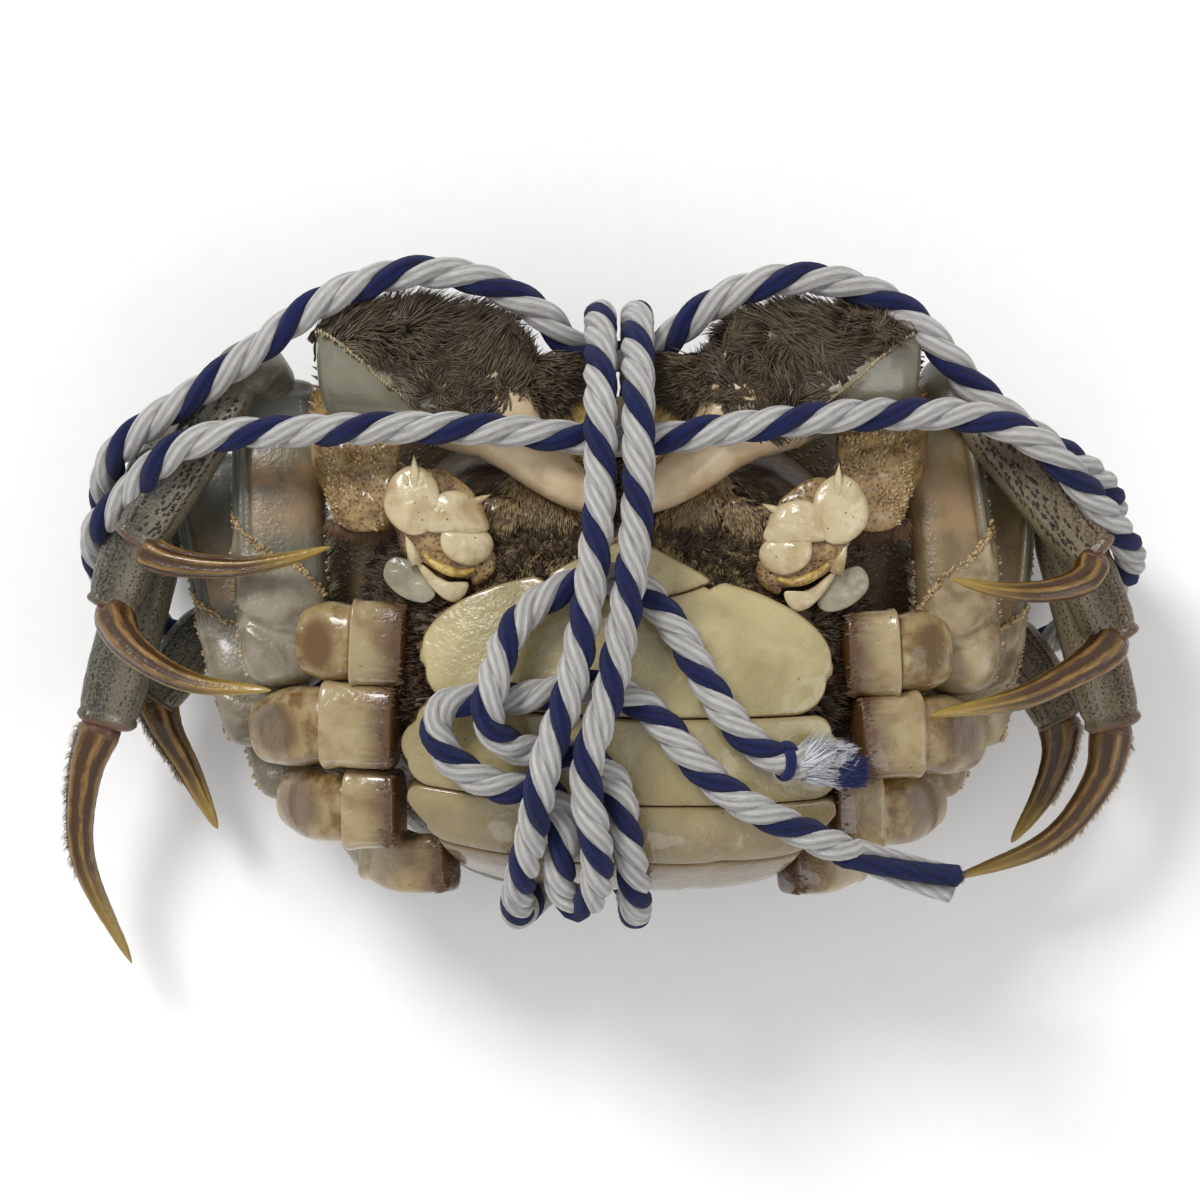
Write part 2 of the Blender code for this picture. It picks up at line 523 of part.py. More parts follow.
def keep_largest(mesh):
    """Leave only the closed surface with the largest volume."""
    form = bmesh.new()
    form.from_mesh(mesh)
    bmesh.ops.triangulate(form, faces=form.faces[:])
    left = set(form.faces)
    bodies = []
    while left:
        seed = left.pop()
        body, edge_of_body = [seed], [seed]
        while edge_of_body:
            face = edge_of_body.pop()
            for edge in face.edges:
                for other in edge.link_faces:
                    if other in left:
                        left.remove(other)
                        body.append(other)
                        edge_of_body.append(other)
        volume = sum(f.verts[0].co.dot(f.verts[1].co.cross(f.verts[2].co)) for f in body) / 6
        bodies.append((volume, body))
    bodies.sort(key=lambda entry: entry[0], reverse=True)
    spare = [face for _, body in bodies[1:] for face in body]
    if spare:
        bmesh.ops.delete(form, geom=spare, context="FACES")
    form.to_mesh(mesh)
    form.free()


def boolean_result(target, operation, method, tool=None, tools=None):
    """The mesh that one Boolean on target gives, by a method of BOOLEAN_METHODS."""
    modifier = target.modifiers.new("boolean", "BOOLEAN")
    modifier.operation = operation
    modifier.solver, modifier.use_self = method
    if tools:
        modifier.operand_type = "COLLECTION"
        modifier.collection = tools
    else:
        modifier.object = tool
    bpy.context.view_layer.update()
    result = target.evaluated_get(bpy.context.evaluated_depsgraph_get())
    mesh = bpy.data.meshes.new_from_object(result)
    target.modifiers.remove(modifier)
    keep_largest(mesh)
    return mesh


def fuse(target, pieces):
    """Join the pieces to target in one union, so that the node is one closed body."""
    tools = bpy.data.collections.new(target.name + "_pieces")
    bpy.context.scene.collection.children.link(tools)
    for piece in pieces:
        for owner in list(piece.users_collection):
            owner.objects.unlink(piece)
        tools.objects.link(piece)
    for method in BOOLEAN_METHODS:
        mesh = boolean_result(target, "UNION", method, tools=tools)
        if is_closed(mesh):
            break
    merge_flat_faces(mesh)
    target.data = mesh
    for piece in pieces:
        bpy.data.objects.remove(piece, do_unlink=True)
    bpy.data.collections.remove(tools)
    return target


def mesh_tree(mesh):
    mesh.calc_loop_triangles()
    triangles = [tuple(t.vertices) for t in mesh.loop_triangles]
    return BVHTree.FromPolygons([v.co.copy() for v in mesh.vertices], triangles)


def solid_tree(item):
    """A search tree of the item's faces as they are drawn."""
    return mesh_tree(item.evaluated_get(bpy.context.evaluated_depsgraph_get()).to_mesh())


def swollen(item, gap):
    """A copy of the item's surface moved out by the gap."""
    mesh = bpy.data.meshes.new_from_object(
        item.evaluated_get(bpy.context.evaluated_depsgraph_get())
    )
    form = bmesh.new()
    form.from_mesh(mesh)
    bmesh.ops.triangulate(form, faces=form.faces[:])
    bmesh.ops.recalc_face_normals(form, faces=form.faces[:])
    form.normal_update()
    moves = [vertex.normal * vertex.calc_shell_factor() * gap * MM for vertex in form.verts]
    for vertex, move in zip(form.verts, moves):
        if move.length > 2 * gap * MM:
            move = move.normalized() * 2 * gap * MM
        vertex.co = vertex.co + move
    form.to_mesh(mesh)
    form.free()
    copy = bpy.data.objects.new(item.name + "_clear", mesh)
    bpy.context.scene.collection.objects.link(copy)
    return copy


def cut_back(item, other):
    """Cut item back from other to leave the gap, with MANIFOLD where EXACT fails."""
    clear_of = solid_tree(other)
    cutters = [swollen(other, GAP * growth) for growth in CUT_GROWTH]
    for method in BOOLEAN_METHODS:
        for cutter in cutters:
            mesh = boolean_result(item, "DIFFERENCE", method, tool=cutter)
            merge_flat_faces(mesh)
            if is_closed(mesh) and not mesh_tree(mesh).overlap(clear_of):
                item.data = mesh
                break
        else:
            continue
        break
    else:
        print("not cut clear:", item.name, other.name)
    for cutter in cutters:
        bpy.data.objects.remove(cutter, do_unlink=True)


def cut_clear(items):
    """Where two items cross, the later one is cut back to leave the gap."""
    for index, other in enumerate(items):
        cutter = swollen(other, GAP)
        bpy.context.view_layer.update()
        near = solid_tree(cutter)
        bpy.data.objects.remove(cutter, do_unlink=True)
        for item in items[index + 1:]:
            if item.type == "MESH" and solid_tree(item).overlap(near):
                cut_back(item, other)


def outline_points():
    """The carapace's outline as points at even turns round its middle."""
    half = [Vector((x, y, 0)) for x, y in OUTLINE_HALF]
    loop = half + [Vector((-p.x, p.y, 0)) for p in half[-2:0:-1]]
    dense = smooth_points(loop, closed=True)[:-1]
    middle = OUTLINE_MIDDLE.to_3d()
    found = []
    for k in range(OUTLINE_SIDES):
        angle = 2 * math.pi * k / OUTLINE_SIDES
        way = Vector((math.cos(angle), math.sin(angle), 0))
        found.append(max(dense, key=lambda p: (p - middle).normalized().dot(way)) - middle)
    return found


def ring_at(outline, scale):
    middle = OUTLINE_MIDDLE.to_3d()
    return [middle + p * scale for p in outline]


def wall_top(y):
    return WALL_TOP_Z - WALL_TOP_SLOPE * max(0.0, y - WALL_TOP_FRONT_Y)


def sternum_height(x, y):
    fall = STERNUM_SIDE_FALL * x * x
    fall += STERNUM_FRONT_FALL * max(0.0, y - STERNUM_FRONT_Y)
    fall += STERNUM_REAR_FALL * max(0.0, STERNUM_REAR_Y - y) ** 2
    return STERNUM_Z - fall


def dome_height(scale):
    return RIM_Z - (RIM_Z - APEX_Z) * (1 - scale**DOME_POWER) ** DOME_ROUND


def stacked_body(name, rings, first_z, last_z, material):
    """A closed body from rings that go round the outline's middle, with a point at each end."""
    sides = OUTLINE_SIDES
    middle = OUTLINE_MIDDLE.to_3d()
    points = [p for ring in rings for p in ring]
    low, high = len(points), len(points) + 1
    points.append(middle + Vector((0, 0, first_z)))
    points.append(middle + Vector((0, 0, last_z)))
    faces = loft_faces(len(rings), sides)[1:-1]
    last = (len(rings) - 1) * sides
    for k in range(sides):
        faces.append([low, (k + 1) % sides, k])
        faces.append([high, last + k, last + (k + 1) % sides])
    return add_mesh(name, points, faces, material)


def make_carapace(materials):
    outline = outline_points()
    rings = []
    for scale in DOME_RINGS:
        rings.append([p + Vector((0, 0, dome_height(scale))) for p in ring_at(outline, scale)])
    rings.append([p + Vector((0, 0, RIM_Z)) for p in ring_at(outline, 1)])
    for share, scale in WALL_STEPS:
        rings.append([
            p + Vector((0, 0, RIM_Z + share * (wall_top(p.y) - RIM_Z)))
            for p in ring_at(outline, scale)
        ])
    body = stacked_body("carapace", rings, APEX_Z, WALL_TOP_Z, materials["back_shell"])
    pieces = []
    for side in (-1, 1):
        for x, y in SIDE_TEETH:
            root = Vector((side * (x - SIDE_TOOTH_ROOT[0]), y - SIDE_TOOTH_ROOT[1], RIM_Z))
            tip = Vector((side * (x + SIDE_TOOTH_OUT), y + TOOTH_LENGTH * 0.9, RIM_Z + 0.2))
            pieces.append(spike("tooth", root, tip, TOOTH_RADIUS, materials["back_shell"]))
        for x in FRONT_TEETH:
            root = Vector((side * x, OUTLINE_HALF[0][1] - FRONT_TOOTH_ROOT, RIM_Z - 0.3))
            tip = Vector((side * x, OUTLINE_HALF[0][1] + TOOTH_LENGTH, RIM_Z - 0.6))
            pieces.append(spike("tooth", root, tip, FRONT_TOOTH_RADIUS, materials["back_shell"]))
        for x, y in GASTRIC_LUMPS:
            share = (Vector((x, y)) - OUTLINE_MIDDLE).length / DOME_REACH
            z = dome_height(min(share, 0.95))
            root = Vector((side * x, y, z + LUMP_SUNK))
            tip = Vector((side * x, y, z - LUMP_HEIGHT))
            pieces.append(spike("lump", root, tip, LUMP_RADIUS * 1.5, materials["back_shell"], sides=7))
    return fuse(body, pieces)


def make_thorax(materials):
    outline = outline_points()
    rings = []
    for share, scale in THORAX_STEPS:
        ring = []
        for p in ring_at(outline, scale):
            low = wall_top(p.y) + GAP
            inner = (p - OUTLINE_MIDDLE.to_3d()) * (THORAX_TOP_RINGS[0] / scale)
            inner += OUTLINE_MIDDLE.to_3d()
            high = max(sternum_height(inner.x, inner.y), low + 1.2)
            ring.append(p + Vector((0, 0, low + share * (high - low))))
        rings.append(ring)
    for scale in THORAX_TOP_RINGS:
        rings.append([
            p + Vector((0, 0, max(sternum_height(p.x, p.y), wall_top(p.y) + GAP + 1.2)))
            for p in ring_at(outline, scale)
        ])
    low = wall_top(OUTLINE_MIDDLE.y) + GAP
    return stacked_body("thorax", rings, low, STERNUM_Z, materials["cream_shell"])


def abdomen_frame():
    dense = smooth_points([(0, y, z) for y, z in ABDOMEN_LINE])
    return dense, lengths_along(dense)


def abdomen_point(frame, x, distance, depth):
    """A point of the abdomen: across, along its middle line, and below its surface."""
    dense, along = frame
    middle = point_at(dense, along, distance)
    ahead = point_at(dense, along, distance + 0.5) - point_at(dense, along, distance - 0.5)
    normal = Vector((0, ahead.z, -ahead.y)).normalized()
    sag = ABDOMEN_SAG * abs(x / ABDOMEN_WIDE) ** 2.4
    point = middle + Vector((x, 0, 0)) - normal * (sag + depth)
    turn = Matrix.Rotation(-ABDOMEN_TURN, 3, "Z")
    return turn @ (point - ABDOMEN_PIVOT) + ABDOMEN_PIVOT


def plate(name, frame, front, back, half_width, material, thick=PLATE_THICK):
    """A crowned plate of the abdomen between two lines across it."""
    columns, rows = PLATE_COLUMNS, PLATE_ROWS
    points = []
    for layer in (0, 1):
        for r in range(rows + 1):
            t = r / rows
            for c in range(columns + 1):
                u = -1 + 2 * c / columns
                u = math.copysign(abs(u) ** PLATE_SPREAD, u)
                x = u * half_width(t)
                distance = front(x) + (back(x) - front(x)) * t
                edge = 1 - (1 - abs(u) ** 8) * (1 - abs(2 * t - 1) ** 6)
                depth = thick if layer else PLATE_CROWN * edge
                points.append(abdomen_point(frame, x, distance, depth))
    row = columns + 1
    layer_size = row * (rows + 1)
    faces = []
    for r in range(rows):
        for c in range(columns):
            a = r * row + c
            faces.append([a, a + 1, a + row + 1, a + row])
            b = a + layer_size
            faces.append([b, b + row, b + row + 1, b + 1])
    rim = [c for c in range(row)]
    rim += [r * row + columns for r in range(1, rows + 1)]
    rim += [rows * row + c for c in range(columns - 1, -1, -1)]
    rim += [r * row for r in range(rows - 1, 0, -1)]
    for a, b in zip(rim, rim[1:] + rim[:1]):
        faces.append([a, a + layer_size, b + layer_size, b])
    return add_mesh(name, points, faces, material)


def make_abdomen(materials):
    """The telson, the plates of segments 6, 5 and 4, and the narrow ones behind them."""
    frame = abdomen_frame()
    shell = materials["cream_shell"]
    half_gap = GAP / 2 + SEAM_EXTRA

    def telson_front(x):
        return TELSON_APEX + TELSON_FALL * abs(x / TELSON_HALF) ** TELSON_POINT

    def telson_back(x):
        return TELSON_BACK - TELSON_BACK_BEND * (x / TELSON_HALF) ** 2

    def sixth_front(x):
        arc = SIXTH_APEX + SIXTH_RISE * (1 - math.sqrt(max(0.0, 1 - (x / SIXTH_HALF) ** 2)))
        notch = telson_back(x) + 2 * half_gap
        if abs(x) < TELSON_HALF:
            return max(notch, arc)
        return arc + NOTCH_STEP * max(0.0, 1 - (abs(x) - TELSON_HALF) / NOTCH_SIDE)

    def curved(middle, bend):
        return lambda x: middle - bend * (x / ABDOMEN_WIDE) ** 2

    def width(low, middle, high):
        return lambda t: low + (high - low) * t + (middle - (low + high) / 2) * 4 * t * (1 - t)

    seam_65, seam_54 = curved(*SEAM_65), curved(*SEAM_54)
    return [
        plate("abdomen_telson", frame, telson_front, telson_back, width(*TELSON_WIDTHS), shell, TELSON_THICK),
        plate("abdomen_segment_6", frame, sixth_front,
              lambda x: seam_65(x) - half_gap, width(*SIXTH_WIDTHS), shell),
        plate("abdomen_segment_5", frame, lambda x: seam_65(x) + half_gap,
              lambda x: seam_54(x) - half_gap, width(*FIFTH_WIDTHS), shell),
        plate("abdomen_segment_4", frame, lambda x: seam_54(x) + half_gap,
              lambda x: SEAM_43 - half_gap, width(*FOURTH_WIDTHS), shell),
        plate("abdomen_segments_1_3", frame, lambda x: SEAM_43 + half_gap,
              lambda x: ABDOMEN_END, width(*HIND_WIDTHS), shell),
    ]


def make_mouthparts(materials):
    """The outer jaw plates below the claws, joined across the middle."""
    pieces = []
    for side in (-1, 1):
        route = [(side * x, y, z) for x, y, z in JAW_LINE]
        pieces.append(limb("mouthparts" if side < 0 else "jaw", route, JAW_SECTIONS, BELLY_SIDE,
                           materials["claw_shell"], power=3.2))
    bridge = limb("bridge", JAW_BRIDGE, JAW_BRIDGE_SECTIONS, BELLY_SIDE, materials["claw_shell"], sides=8)
    return fuse(pieces[0], [pieces[1], bridge])


def make_eye(side, name, materials):
    stalk = limb(name, [(side * x, y, z) for x, y, z in EYE_STALK], EYE_STALK_SECTIONS, BELLY_SIDE,
                 materials["eye_black"], sides=8)
    ball = limb("ball", [(side * x, y, z) for x, y, z in EYE_BALL], EYE_BALL_SECTIONS, BELLY_SIDE,
                materials["eye_black"], sides=9, power=2)
    return fuse(stalk, [ball])


def make_antenna(side, name, materials):
    route = [(side * x, y, z) for x, y, z in ANTENNA_LINE]
    return limb(name, route, ANTENNA_SECTIONS, BELLY_SIDE, materials["limb_shell"], sides=7, power=2)


def mirrored(route, side):
    return [(-side * x, y, z) for x, y, z in route]


def section_at(sections, share):
    """Half width and half thickness between a limb's stated sections."""
    for (a, wide_a, thick_a), (b, wide_b, thick_b) in zip(sections, sections[1:]):
        if share <= b:
            t = max(0.0, (share - a) / (b - a))
            return wide_a + (wide_b - wide_a) * t, thick_a + (thick_b - thick_a) * t
    return sections[-1][1:]


def palm_point(dense, along, share, angle, lift):
    """A point over the palm: turned by angle from its outer edge towards the belly side."""
    middle = point_at(dense, along, share * along[-1])
    ahead = point_at(dense, along, share * along[-1] + 0.4)
    behind = point_at(dense, along, share * along[-1] - 0.4)
    tangent = (ahead - behind).normalized()
    out = (Vector((0, 1, 0)) - tangent * tangent.y).normalized()
    up = (Vector((0, 0, 1)) - tangent * tangent.z - out * out.z).normalized()
    wide, thick = section_at(PALM_SECTIONS, share)
    return (middle + out * math.cos(angle) * (wide + lift)
            + up * math.sin(angle) * (thick + lift * FUR_TOP_SHARE))


def lock(name, root, bend, tip, outward, width, material):
    """A flat, tapered lock of bristles that bends from its root over to its tip."""
    points = []
    for t, share in zip(LOCK_STEPS, LOCK_WIDTHS):
        middle = root * (1 - t) ** 2 + bend * 2 * t * (1 - t) + tip * t * t
        along = ((bend - root) * (1 - t) + (tip - bend) * t).normalized()
        side = along.cross(outward).normalized() * width * share / 2
        over = side.cross(along).normalized() * LOCK_THICK * (1 - t / 2) / 2
        points += [middle + side, middle + over, middle - side, middle - over]
    points.append(tip)
    last = len(points) - 5
    faces = loft_faces(len(LOCK_STEPS), 4)[:-1]
    faces += [[last + k, last + (k + 1) % 4, len(points) - 1] for k in range(4)]
    return add_mesh(name, points, faces, material)


def fur_locks(side, material):
    """The mitten: locks in overlapping rows, lying outwards and towards the fingers."""
    draw = random.Random(41 if side < 0 else 73)
    dense = smooth_points(mirrored(PALM_LINE, side))
    along = lengths_along(dense)
    locks = []
    for column, share in enumerate(FUR_COLUMNS):
        t = column / (len(FUR_COLUMNS) - 1)
        top = FUR_TOP_ANGLES[0] + (FUR_TOP_ANGLES[1] - FUR_TOP_ANGLES[0]) * t
        for row in range(FUR_ROWS):
            step = (top - FUR_LOW_ANGLE) / (FUR_ROWS - 1)
            angle = FUR_LOW_ANGLE + step * (row + draw.uniform(-0.18, 0.18))
            start = share + draw.uniform(-0.015, 0.015)
            reach = start + FUR_REACH * draw.uniform(0.85, 1.15)
            turn = angle + draw.uniform(-0.16, 0.16)
            root = palm_point(dense, along, start, angle, -LOCK_ROOT)
            surface = palm_point(dense, along, start, angle, 0)
            bend = palm_point(dense, along, (start * 2 + reach) / 3, angle, FUR_DEPTH * 0.9)
            tip = palm_point(dense, along, reach, turn, FUR_DEPTH * draw.uniform(0.85, 1.1))
            width = LOCK_WIDTH * draw.uniform(0.85, 1.15)
            locks.append(lock("lock", root, bend, tip, (surface - root).normalized(), width, material))
    return locks


def make_claw(side, prefix, materials):
    """Base, arm, furred palm with its fixed finger, and thumb of one claw."""
    shell = materials["claw_shell"]
    base = limb(prefix + "_base", mirrored(CLAW_BASE, side), CLAW_BASE_SECTIONS, BELLY_SIDE, shell, power=2.8)
    spines = []
    for x, y, dx, dy in CLAW_BASE_SPINES:
        root = Vector((-side * x, y, CLAW_BASE_SPINE_Z))
        tip = root + Vector((-side * dx, dy, CLAW_SPINE_RISE))
        spines.append(spike("spine", root, tip, CLAW_BASE_SPINE_RADIUS, shell))
    fuse(base, spines)
    arm = limb(prefix + "_arm", mirrored(CLAW_ARM, side), CLAW_ARM_SECTIONS, BELLY_SIDE, shell,
               sides=12, power=2.8)
    spines = []
    for k in range(ARM_SPINES):
        root = Vector(ARM_SPINE_FIRST) + Vector(ARM_SPINE_STEP) * k
        root.x *= side
        tip = root + Vector((side * ARM_SPINE_OUT, CLAW_SPINE_RISE, CLAW_SPINE_RISE))
        spines.append(spike("spine", root, tip, ARM_SPINE_RADIUS, shell))
    fuse(arm, spines)
    palm = limb(prefix + "_palm", mirrored(PALM_LINE, side), PALM_SECTIONS, BELLY_SIDE, shell,
                sides=12, power=2.3)
    fuse(palm, fur_locks(side, materials["bristle"]))
    thumb = limb(prefix + "_thumb", mirrored(THUMB_LINE, side), THUMB_SECTIONS, BELLY_SIDE, shell, power=2.3)
    return base, arm, palm, thumb


def scaled(shares, wide, thick):
    """A joint's sections from shares of its half width and half thickness."""
    return [(share, wide * across, thick * deep) for share, across, deep in shares]


def make_leg(name, leg, materials):
    """Base, merus, shank with its wrist, and pointed dactyl of one leg."""
    number = name[-1]
    base = limb(
        f"leg_{name}_base", leg["base"],
        scaled(BASE_SECTIONS, BASE_HALF_WIDTH[number], BASE_HALF_THICK[number]),
        BELLY_SIDE, materials["cream_shell"], sides=12, power=4.0,
    )
    merus = limb(
        f"leg_{name}_merus", leg["merus"], scaled(MERUS_SECTIONS, *leg["merus_size"]),
        BELLY_SIDE, materials["merus_shell"], sides=12, power=3.0,
    )
    shank = limb(
        f"leg_{name}_shank", leg["shank"], scaled(SHANK_SECTIONS, *leg["shank_size"]),
        BELLY_SIDE, materials["limb_shell"], sides=8, power=3.0,
    )
    dactyl = limb(
        f"leg_{name}_dactyl", leg["dactyl"],
        scaled(DACTYL_SECTIONS, *DACTYL_RADIUS[number]) + [(1, DACTYL_TIP, DACTYL_TIP)],
        BELLY_SIDE, materials["dactyl_horn"], sides=12, power=2.2, ridge=0.07,
    )
    return {"base": base, "merus": merus, "shank": shank, "dactyl": dactyl}


def rope_tube(name, points, material, flat_below=False):
    """A rope as a curve with a round bevel and filled ends, from points in millimetres."""
    curve = bpy.data.curves.new(name, "CURVE")
    curve.dimensions = "3D"
    curve.twist_mode = "Z_UP" if flat_below else "MINIMUM"
    curve.bevel_depth = ROPE / 2 * MM
    curve.bevel_resolution = 2
    curve.use_fill_caps = True
    spline = curve.splines.new("POLY")
    spline.points.add(len(points) - 1)
    for slot, point in zip(spline.points, points):
        slot.co = (*((point + PLACE) * MM), 1)
        slot.tilt = ROPE_SIDES_TURN
    curve.materials.append(material)
    item = bpy.data.objects.new(name, curve)
    bpy.context.scene.collection.objects.link(item)
    return item


def spaced(dense, along, start, end):
    """Points from start to end, closer together where the rope bends."""
    chosen = [point_at(dense, along, start), point_at(dense, along, start + ROPE_STUB)]
    last = [point_at(dense, along, end - ROPE_STUB), point_at(dense, along, end)]
    turned = 0.0
    inner = [i for i, distance in enumerate(along) if start + ROPE_STUB < distance < end - ROPE_STUB]
    for i in inner:
        before = dense[i] - dense[i - 1]
        after = dense[min(i + 1, len(dense) - 1)] - dense[i]
        if before.length > 1e-6 and after.length > 1e-6:
            turned += before.angle(after)
        since = (dense[i] - chosen[-1]).length
        room = (last[0] - dense[i]).length
        bent = turned > ROPE_TURN_STEP and since > ROPE_SHORT_STEP
        if (bent or since > ROPE_LONG_STEP) and room > ROPE_SHORT_STEP:
            chosen.append(dense[i].copy())
            turned = 0.0
    return chosen + last


def make_wrap(upper_name, under_name, route, material):
    """A turn of rope round the crab: its visible arc, and the run under the back."""
    dense = smooth_points(route, closed=True)
    for p in dense:
        p.z = max(p.z, ROPE_FLOOR_Z)
    along = lengths_along(dense)
    splits = [
        along[i] for i in range(len(dense) - 1)
        if dense[i].z < WALL_TOP_Z / 2
        and (abs(dense[i].x) - WRAP_SPLIT_X) * (abs(dense[i + 1].x) - WRAP_SPLIT_X) < 0
    ]
    first, last = splits
    twice = dense + [p.copy() for p in dense[1:]]
    twice_along = along + [along[-1] + d for d in along[1:]]
    arc = spaced(twice, twice_along, last, along[-1] + first)
    under = spaced(dense, along, first + GAP, last - GAP)
    return rope_tube(upper_name, arc, material), rope_tube(under_name, under, material, flat_below=True)


def make_long_strand(strand, material):
    """One rope from tail to tail, in lengths that meet face to face with the gap."""
    route = [p for _, points in strand for p in points]
    dense = smooth_points(route)
    along = lengths_along(dense)
    steps = (len(dense) - 1) // (len(route) - 1)
    lengths, done = [], 0
    for name, points in strand:
        start = 0.0 if not done else along[done * steps - steps // 2] + GAP / 2
        done += len(points)
        end = along[-1] if done == len(route) else along[done * steps - steps // 2] - GAP / 2
        lengths.append(rope_tube(name, spaced(dense, along, start, end), material))
    return lengths


def main():
    clear_scene()
    materials = make_materials()
    cotton = materials["rope_cotton"]
    ropes = [
        *make_wrap("rope_wrap_front", "rope_under_front", WRAP_FRONT, cotton),
        *make_wrap("rope_wrap_middle", "rope_under_rear", WRAP_MIDDLE, cotton),
        *make_long_strand(LONG_STRAND, cotton),
    ]
    abdomen = make_abdomen(materials)
    claws = [make_claw(side, name, materials) for side, name in ((-1, "claw_left"), (1, "claw_right"))]
    legs = {name: make_leg(name, leg, materials) for name, leg in LEGS.items()}
    mouth = make_mouthparts(materials)
    eyes = [make_eye(-1, "eye_left", materials), make_eye(1, "eye_right", materials)]
    antennae = [make_antenna(-1, "antenna_left", materials), make_antenna(1, "antenna_right", materials)]
    thorax = make_thorax(materials)
    carapace = make_carapace(materials)
    order = ropes + abdomen
    for part in ("dactyl", "shank", "merus", "base"):
        order += [leg[part] for leg in legs.values()]
    for part in (3, 2, 1, 0):
        order += [claw[part] for claw in claws]
    order += [mouth] + eyes + antennae + [thorax, carapace]
    cut_clear(order)
    for item in order:
        if item.type == "MESH":
            item.data.shade_smooth()
            item.data.set_sharp_from_angle(angle=math.radians(40))


main()
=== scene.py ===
"""The looks of the tied hairy crab: its shell, its coat and the rope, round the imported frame.

The crab lies on its back. +Z is its belly side, +Y its head end, and +X its side on the right
of the picture. Sizes are in millimetres until add_mesh turns them into metres, measured from
the floor under the middle of the carapace. PLACE moves them to the frame's origin, as in the
part's source, whose named sizes and routes this script repeats.
"""
import json
import math
import random

import bmesh
import bpy
import numpy as np
from mathutils import Matrix, Vector, noise
from mathutils.bvhtree import BVHTree

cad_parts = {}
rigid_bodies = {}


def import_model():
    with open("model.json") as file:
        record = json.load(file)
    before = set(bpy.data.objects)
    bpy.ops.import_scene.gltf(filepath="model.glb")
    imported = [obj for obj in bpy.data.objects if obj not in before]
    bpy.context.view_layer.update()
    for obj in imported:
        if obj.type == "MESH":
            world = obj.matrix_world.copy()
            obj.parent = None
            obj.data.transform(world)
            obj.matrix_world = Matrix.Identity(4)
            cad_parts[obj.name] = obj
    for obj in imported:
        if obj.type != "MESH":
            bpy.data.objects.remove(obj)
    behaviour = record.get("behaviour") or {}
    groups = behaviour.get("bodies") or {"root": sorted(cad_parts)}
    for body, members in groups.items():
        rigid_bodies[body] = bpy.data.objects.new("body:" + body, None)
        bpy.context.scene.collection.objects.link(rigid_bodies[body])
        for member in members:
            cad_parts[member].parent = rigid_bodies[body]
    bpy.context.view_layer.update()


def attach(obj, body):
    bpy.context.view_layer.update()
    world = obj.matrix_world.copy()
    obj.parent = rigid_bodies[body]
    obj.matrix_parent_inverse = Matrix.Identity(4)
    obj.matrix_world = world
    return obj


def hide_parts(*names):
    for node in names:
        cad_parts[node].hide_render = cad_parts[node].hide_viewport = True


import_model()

MM = 0.001
PLACE = Vector((1.93, 2.661, 0))
GAP = 0.3

# Camera: straight above, over the point of the floor that the picture's middle shows
CAMERA_X, CAMERA_Y, CAMERA_Z = -2.04, 0.0, 390.0
SENSOR_WIDTH = 36.0
PICTURE_PIXELS = 1200
PIXELS_BY_DISTANCE = 3255.0

# Carapace: half of its outline seen from above, and the heights of its parts
OUTLINE_HALF = [
    (0, 23.2), (6, 23.6), (11, 23.4), (17, 22.4), (22.5, 21.2), (27.5, 17), (31.4, 11),
    (33.6, 3), (33.8, -5), (31.6, -14), (27, -22), (20.5, -28.5), (13.5, -32), (0, -33),
]
OUTLINE_MIDDLE = Vector((0, -4.5))
APEX_Z = 7.7
RIM_Z = 19.0
DOME_POWER = 2.6
DOME_ROUND = 0.75
WALL_STEPS = ((0.25, 0.975), (0.6, 0.915), (1.0, 0.83))
WALL_TOP_Z = 26.6
WALL_TOP_FRONT_Y = 6.0
WALL_TOP_SLOPE = 0.27
SIDE_TEETH = ((22.4, 21.0), (27.9, 16.2), (31.4, 10.6), (33.2, 4.6))
FRONT_TEETH = (4.4, 10.0)
TOOTH_LENGTH = 2.6
TOOTH_RADIUS = 1.5
GASTRIC_LUMPS = ((4.6, 9.0), (5.4, 3.2), (10.2, 6.5))
LUMP_RADIUS = 1.5

# Thorax: the underside between the legs
THORAX_TOP_RING = 0.7
STERNUM_Z = 38.0
STERNUM_SIDE_FALL = 0.0045
STERNUM_FRONT_Y = 5.0
STERNUM_FRONT_FALL = 0.8
STERNUM_REAR_Y = -12.0
STERNUM_REAR_FALL = 0.02

# Abdomen: its middle line seen from the side, and its plates along that line
ABDOMEN_LINE = [
    (6.8, 39.6), (2, 41), (-6, 42.2), (-14, 42.5), (-21, 41.8), (-26, 39.8), (-29.6, 36.2),
    (-31.6, 31.5), (-32.4, 26), (-32.7, 20.9),
]
ABDOMEN_TURN = math.radians(2.0)
ABDOMEN_PIVOT = Vector((0, -30, 0))
ABDOMEN_SAG = 3.6
ABDOMEN_WIDE = 24.0
PLATE_THICK = 3.2
PLATE_CROWN = 0.8
PLATE_ROLL = 0.4


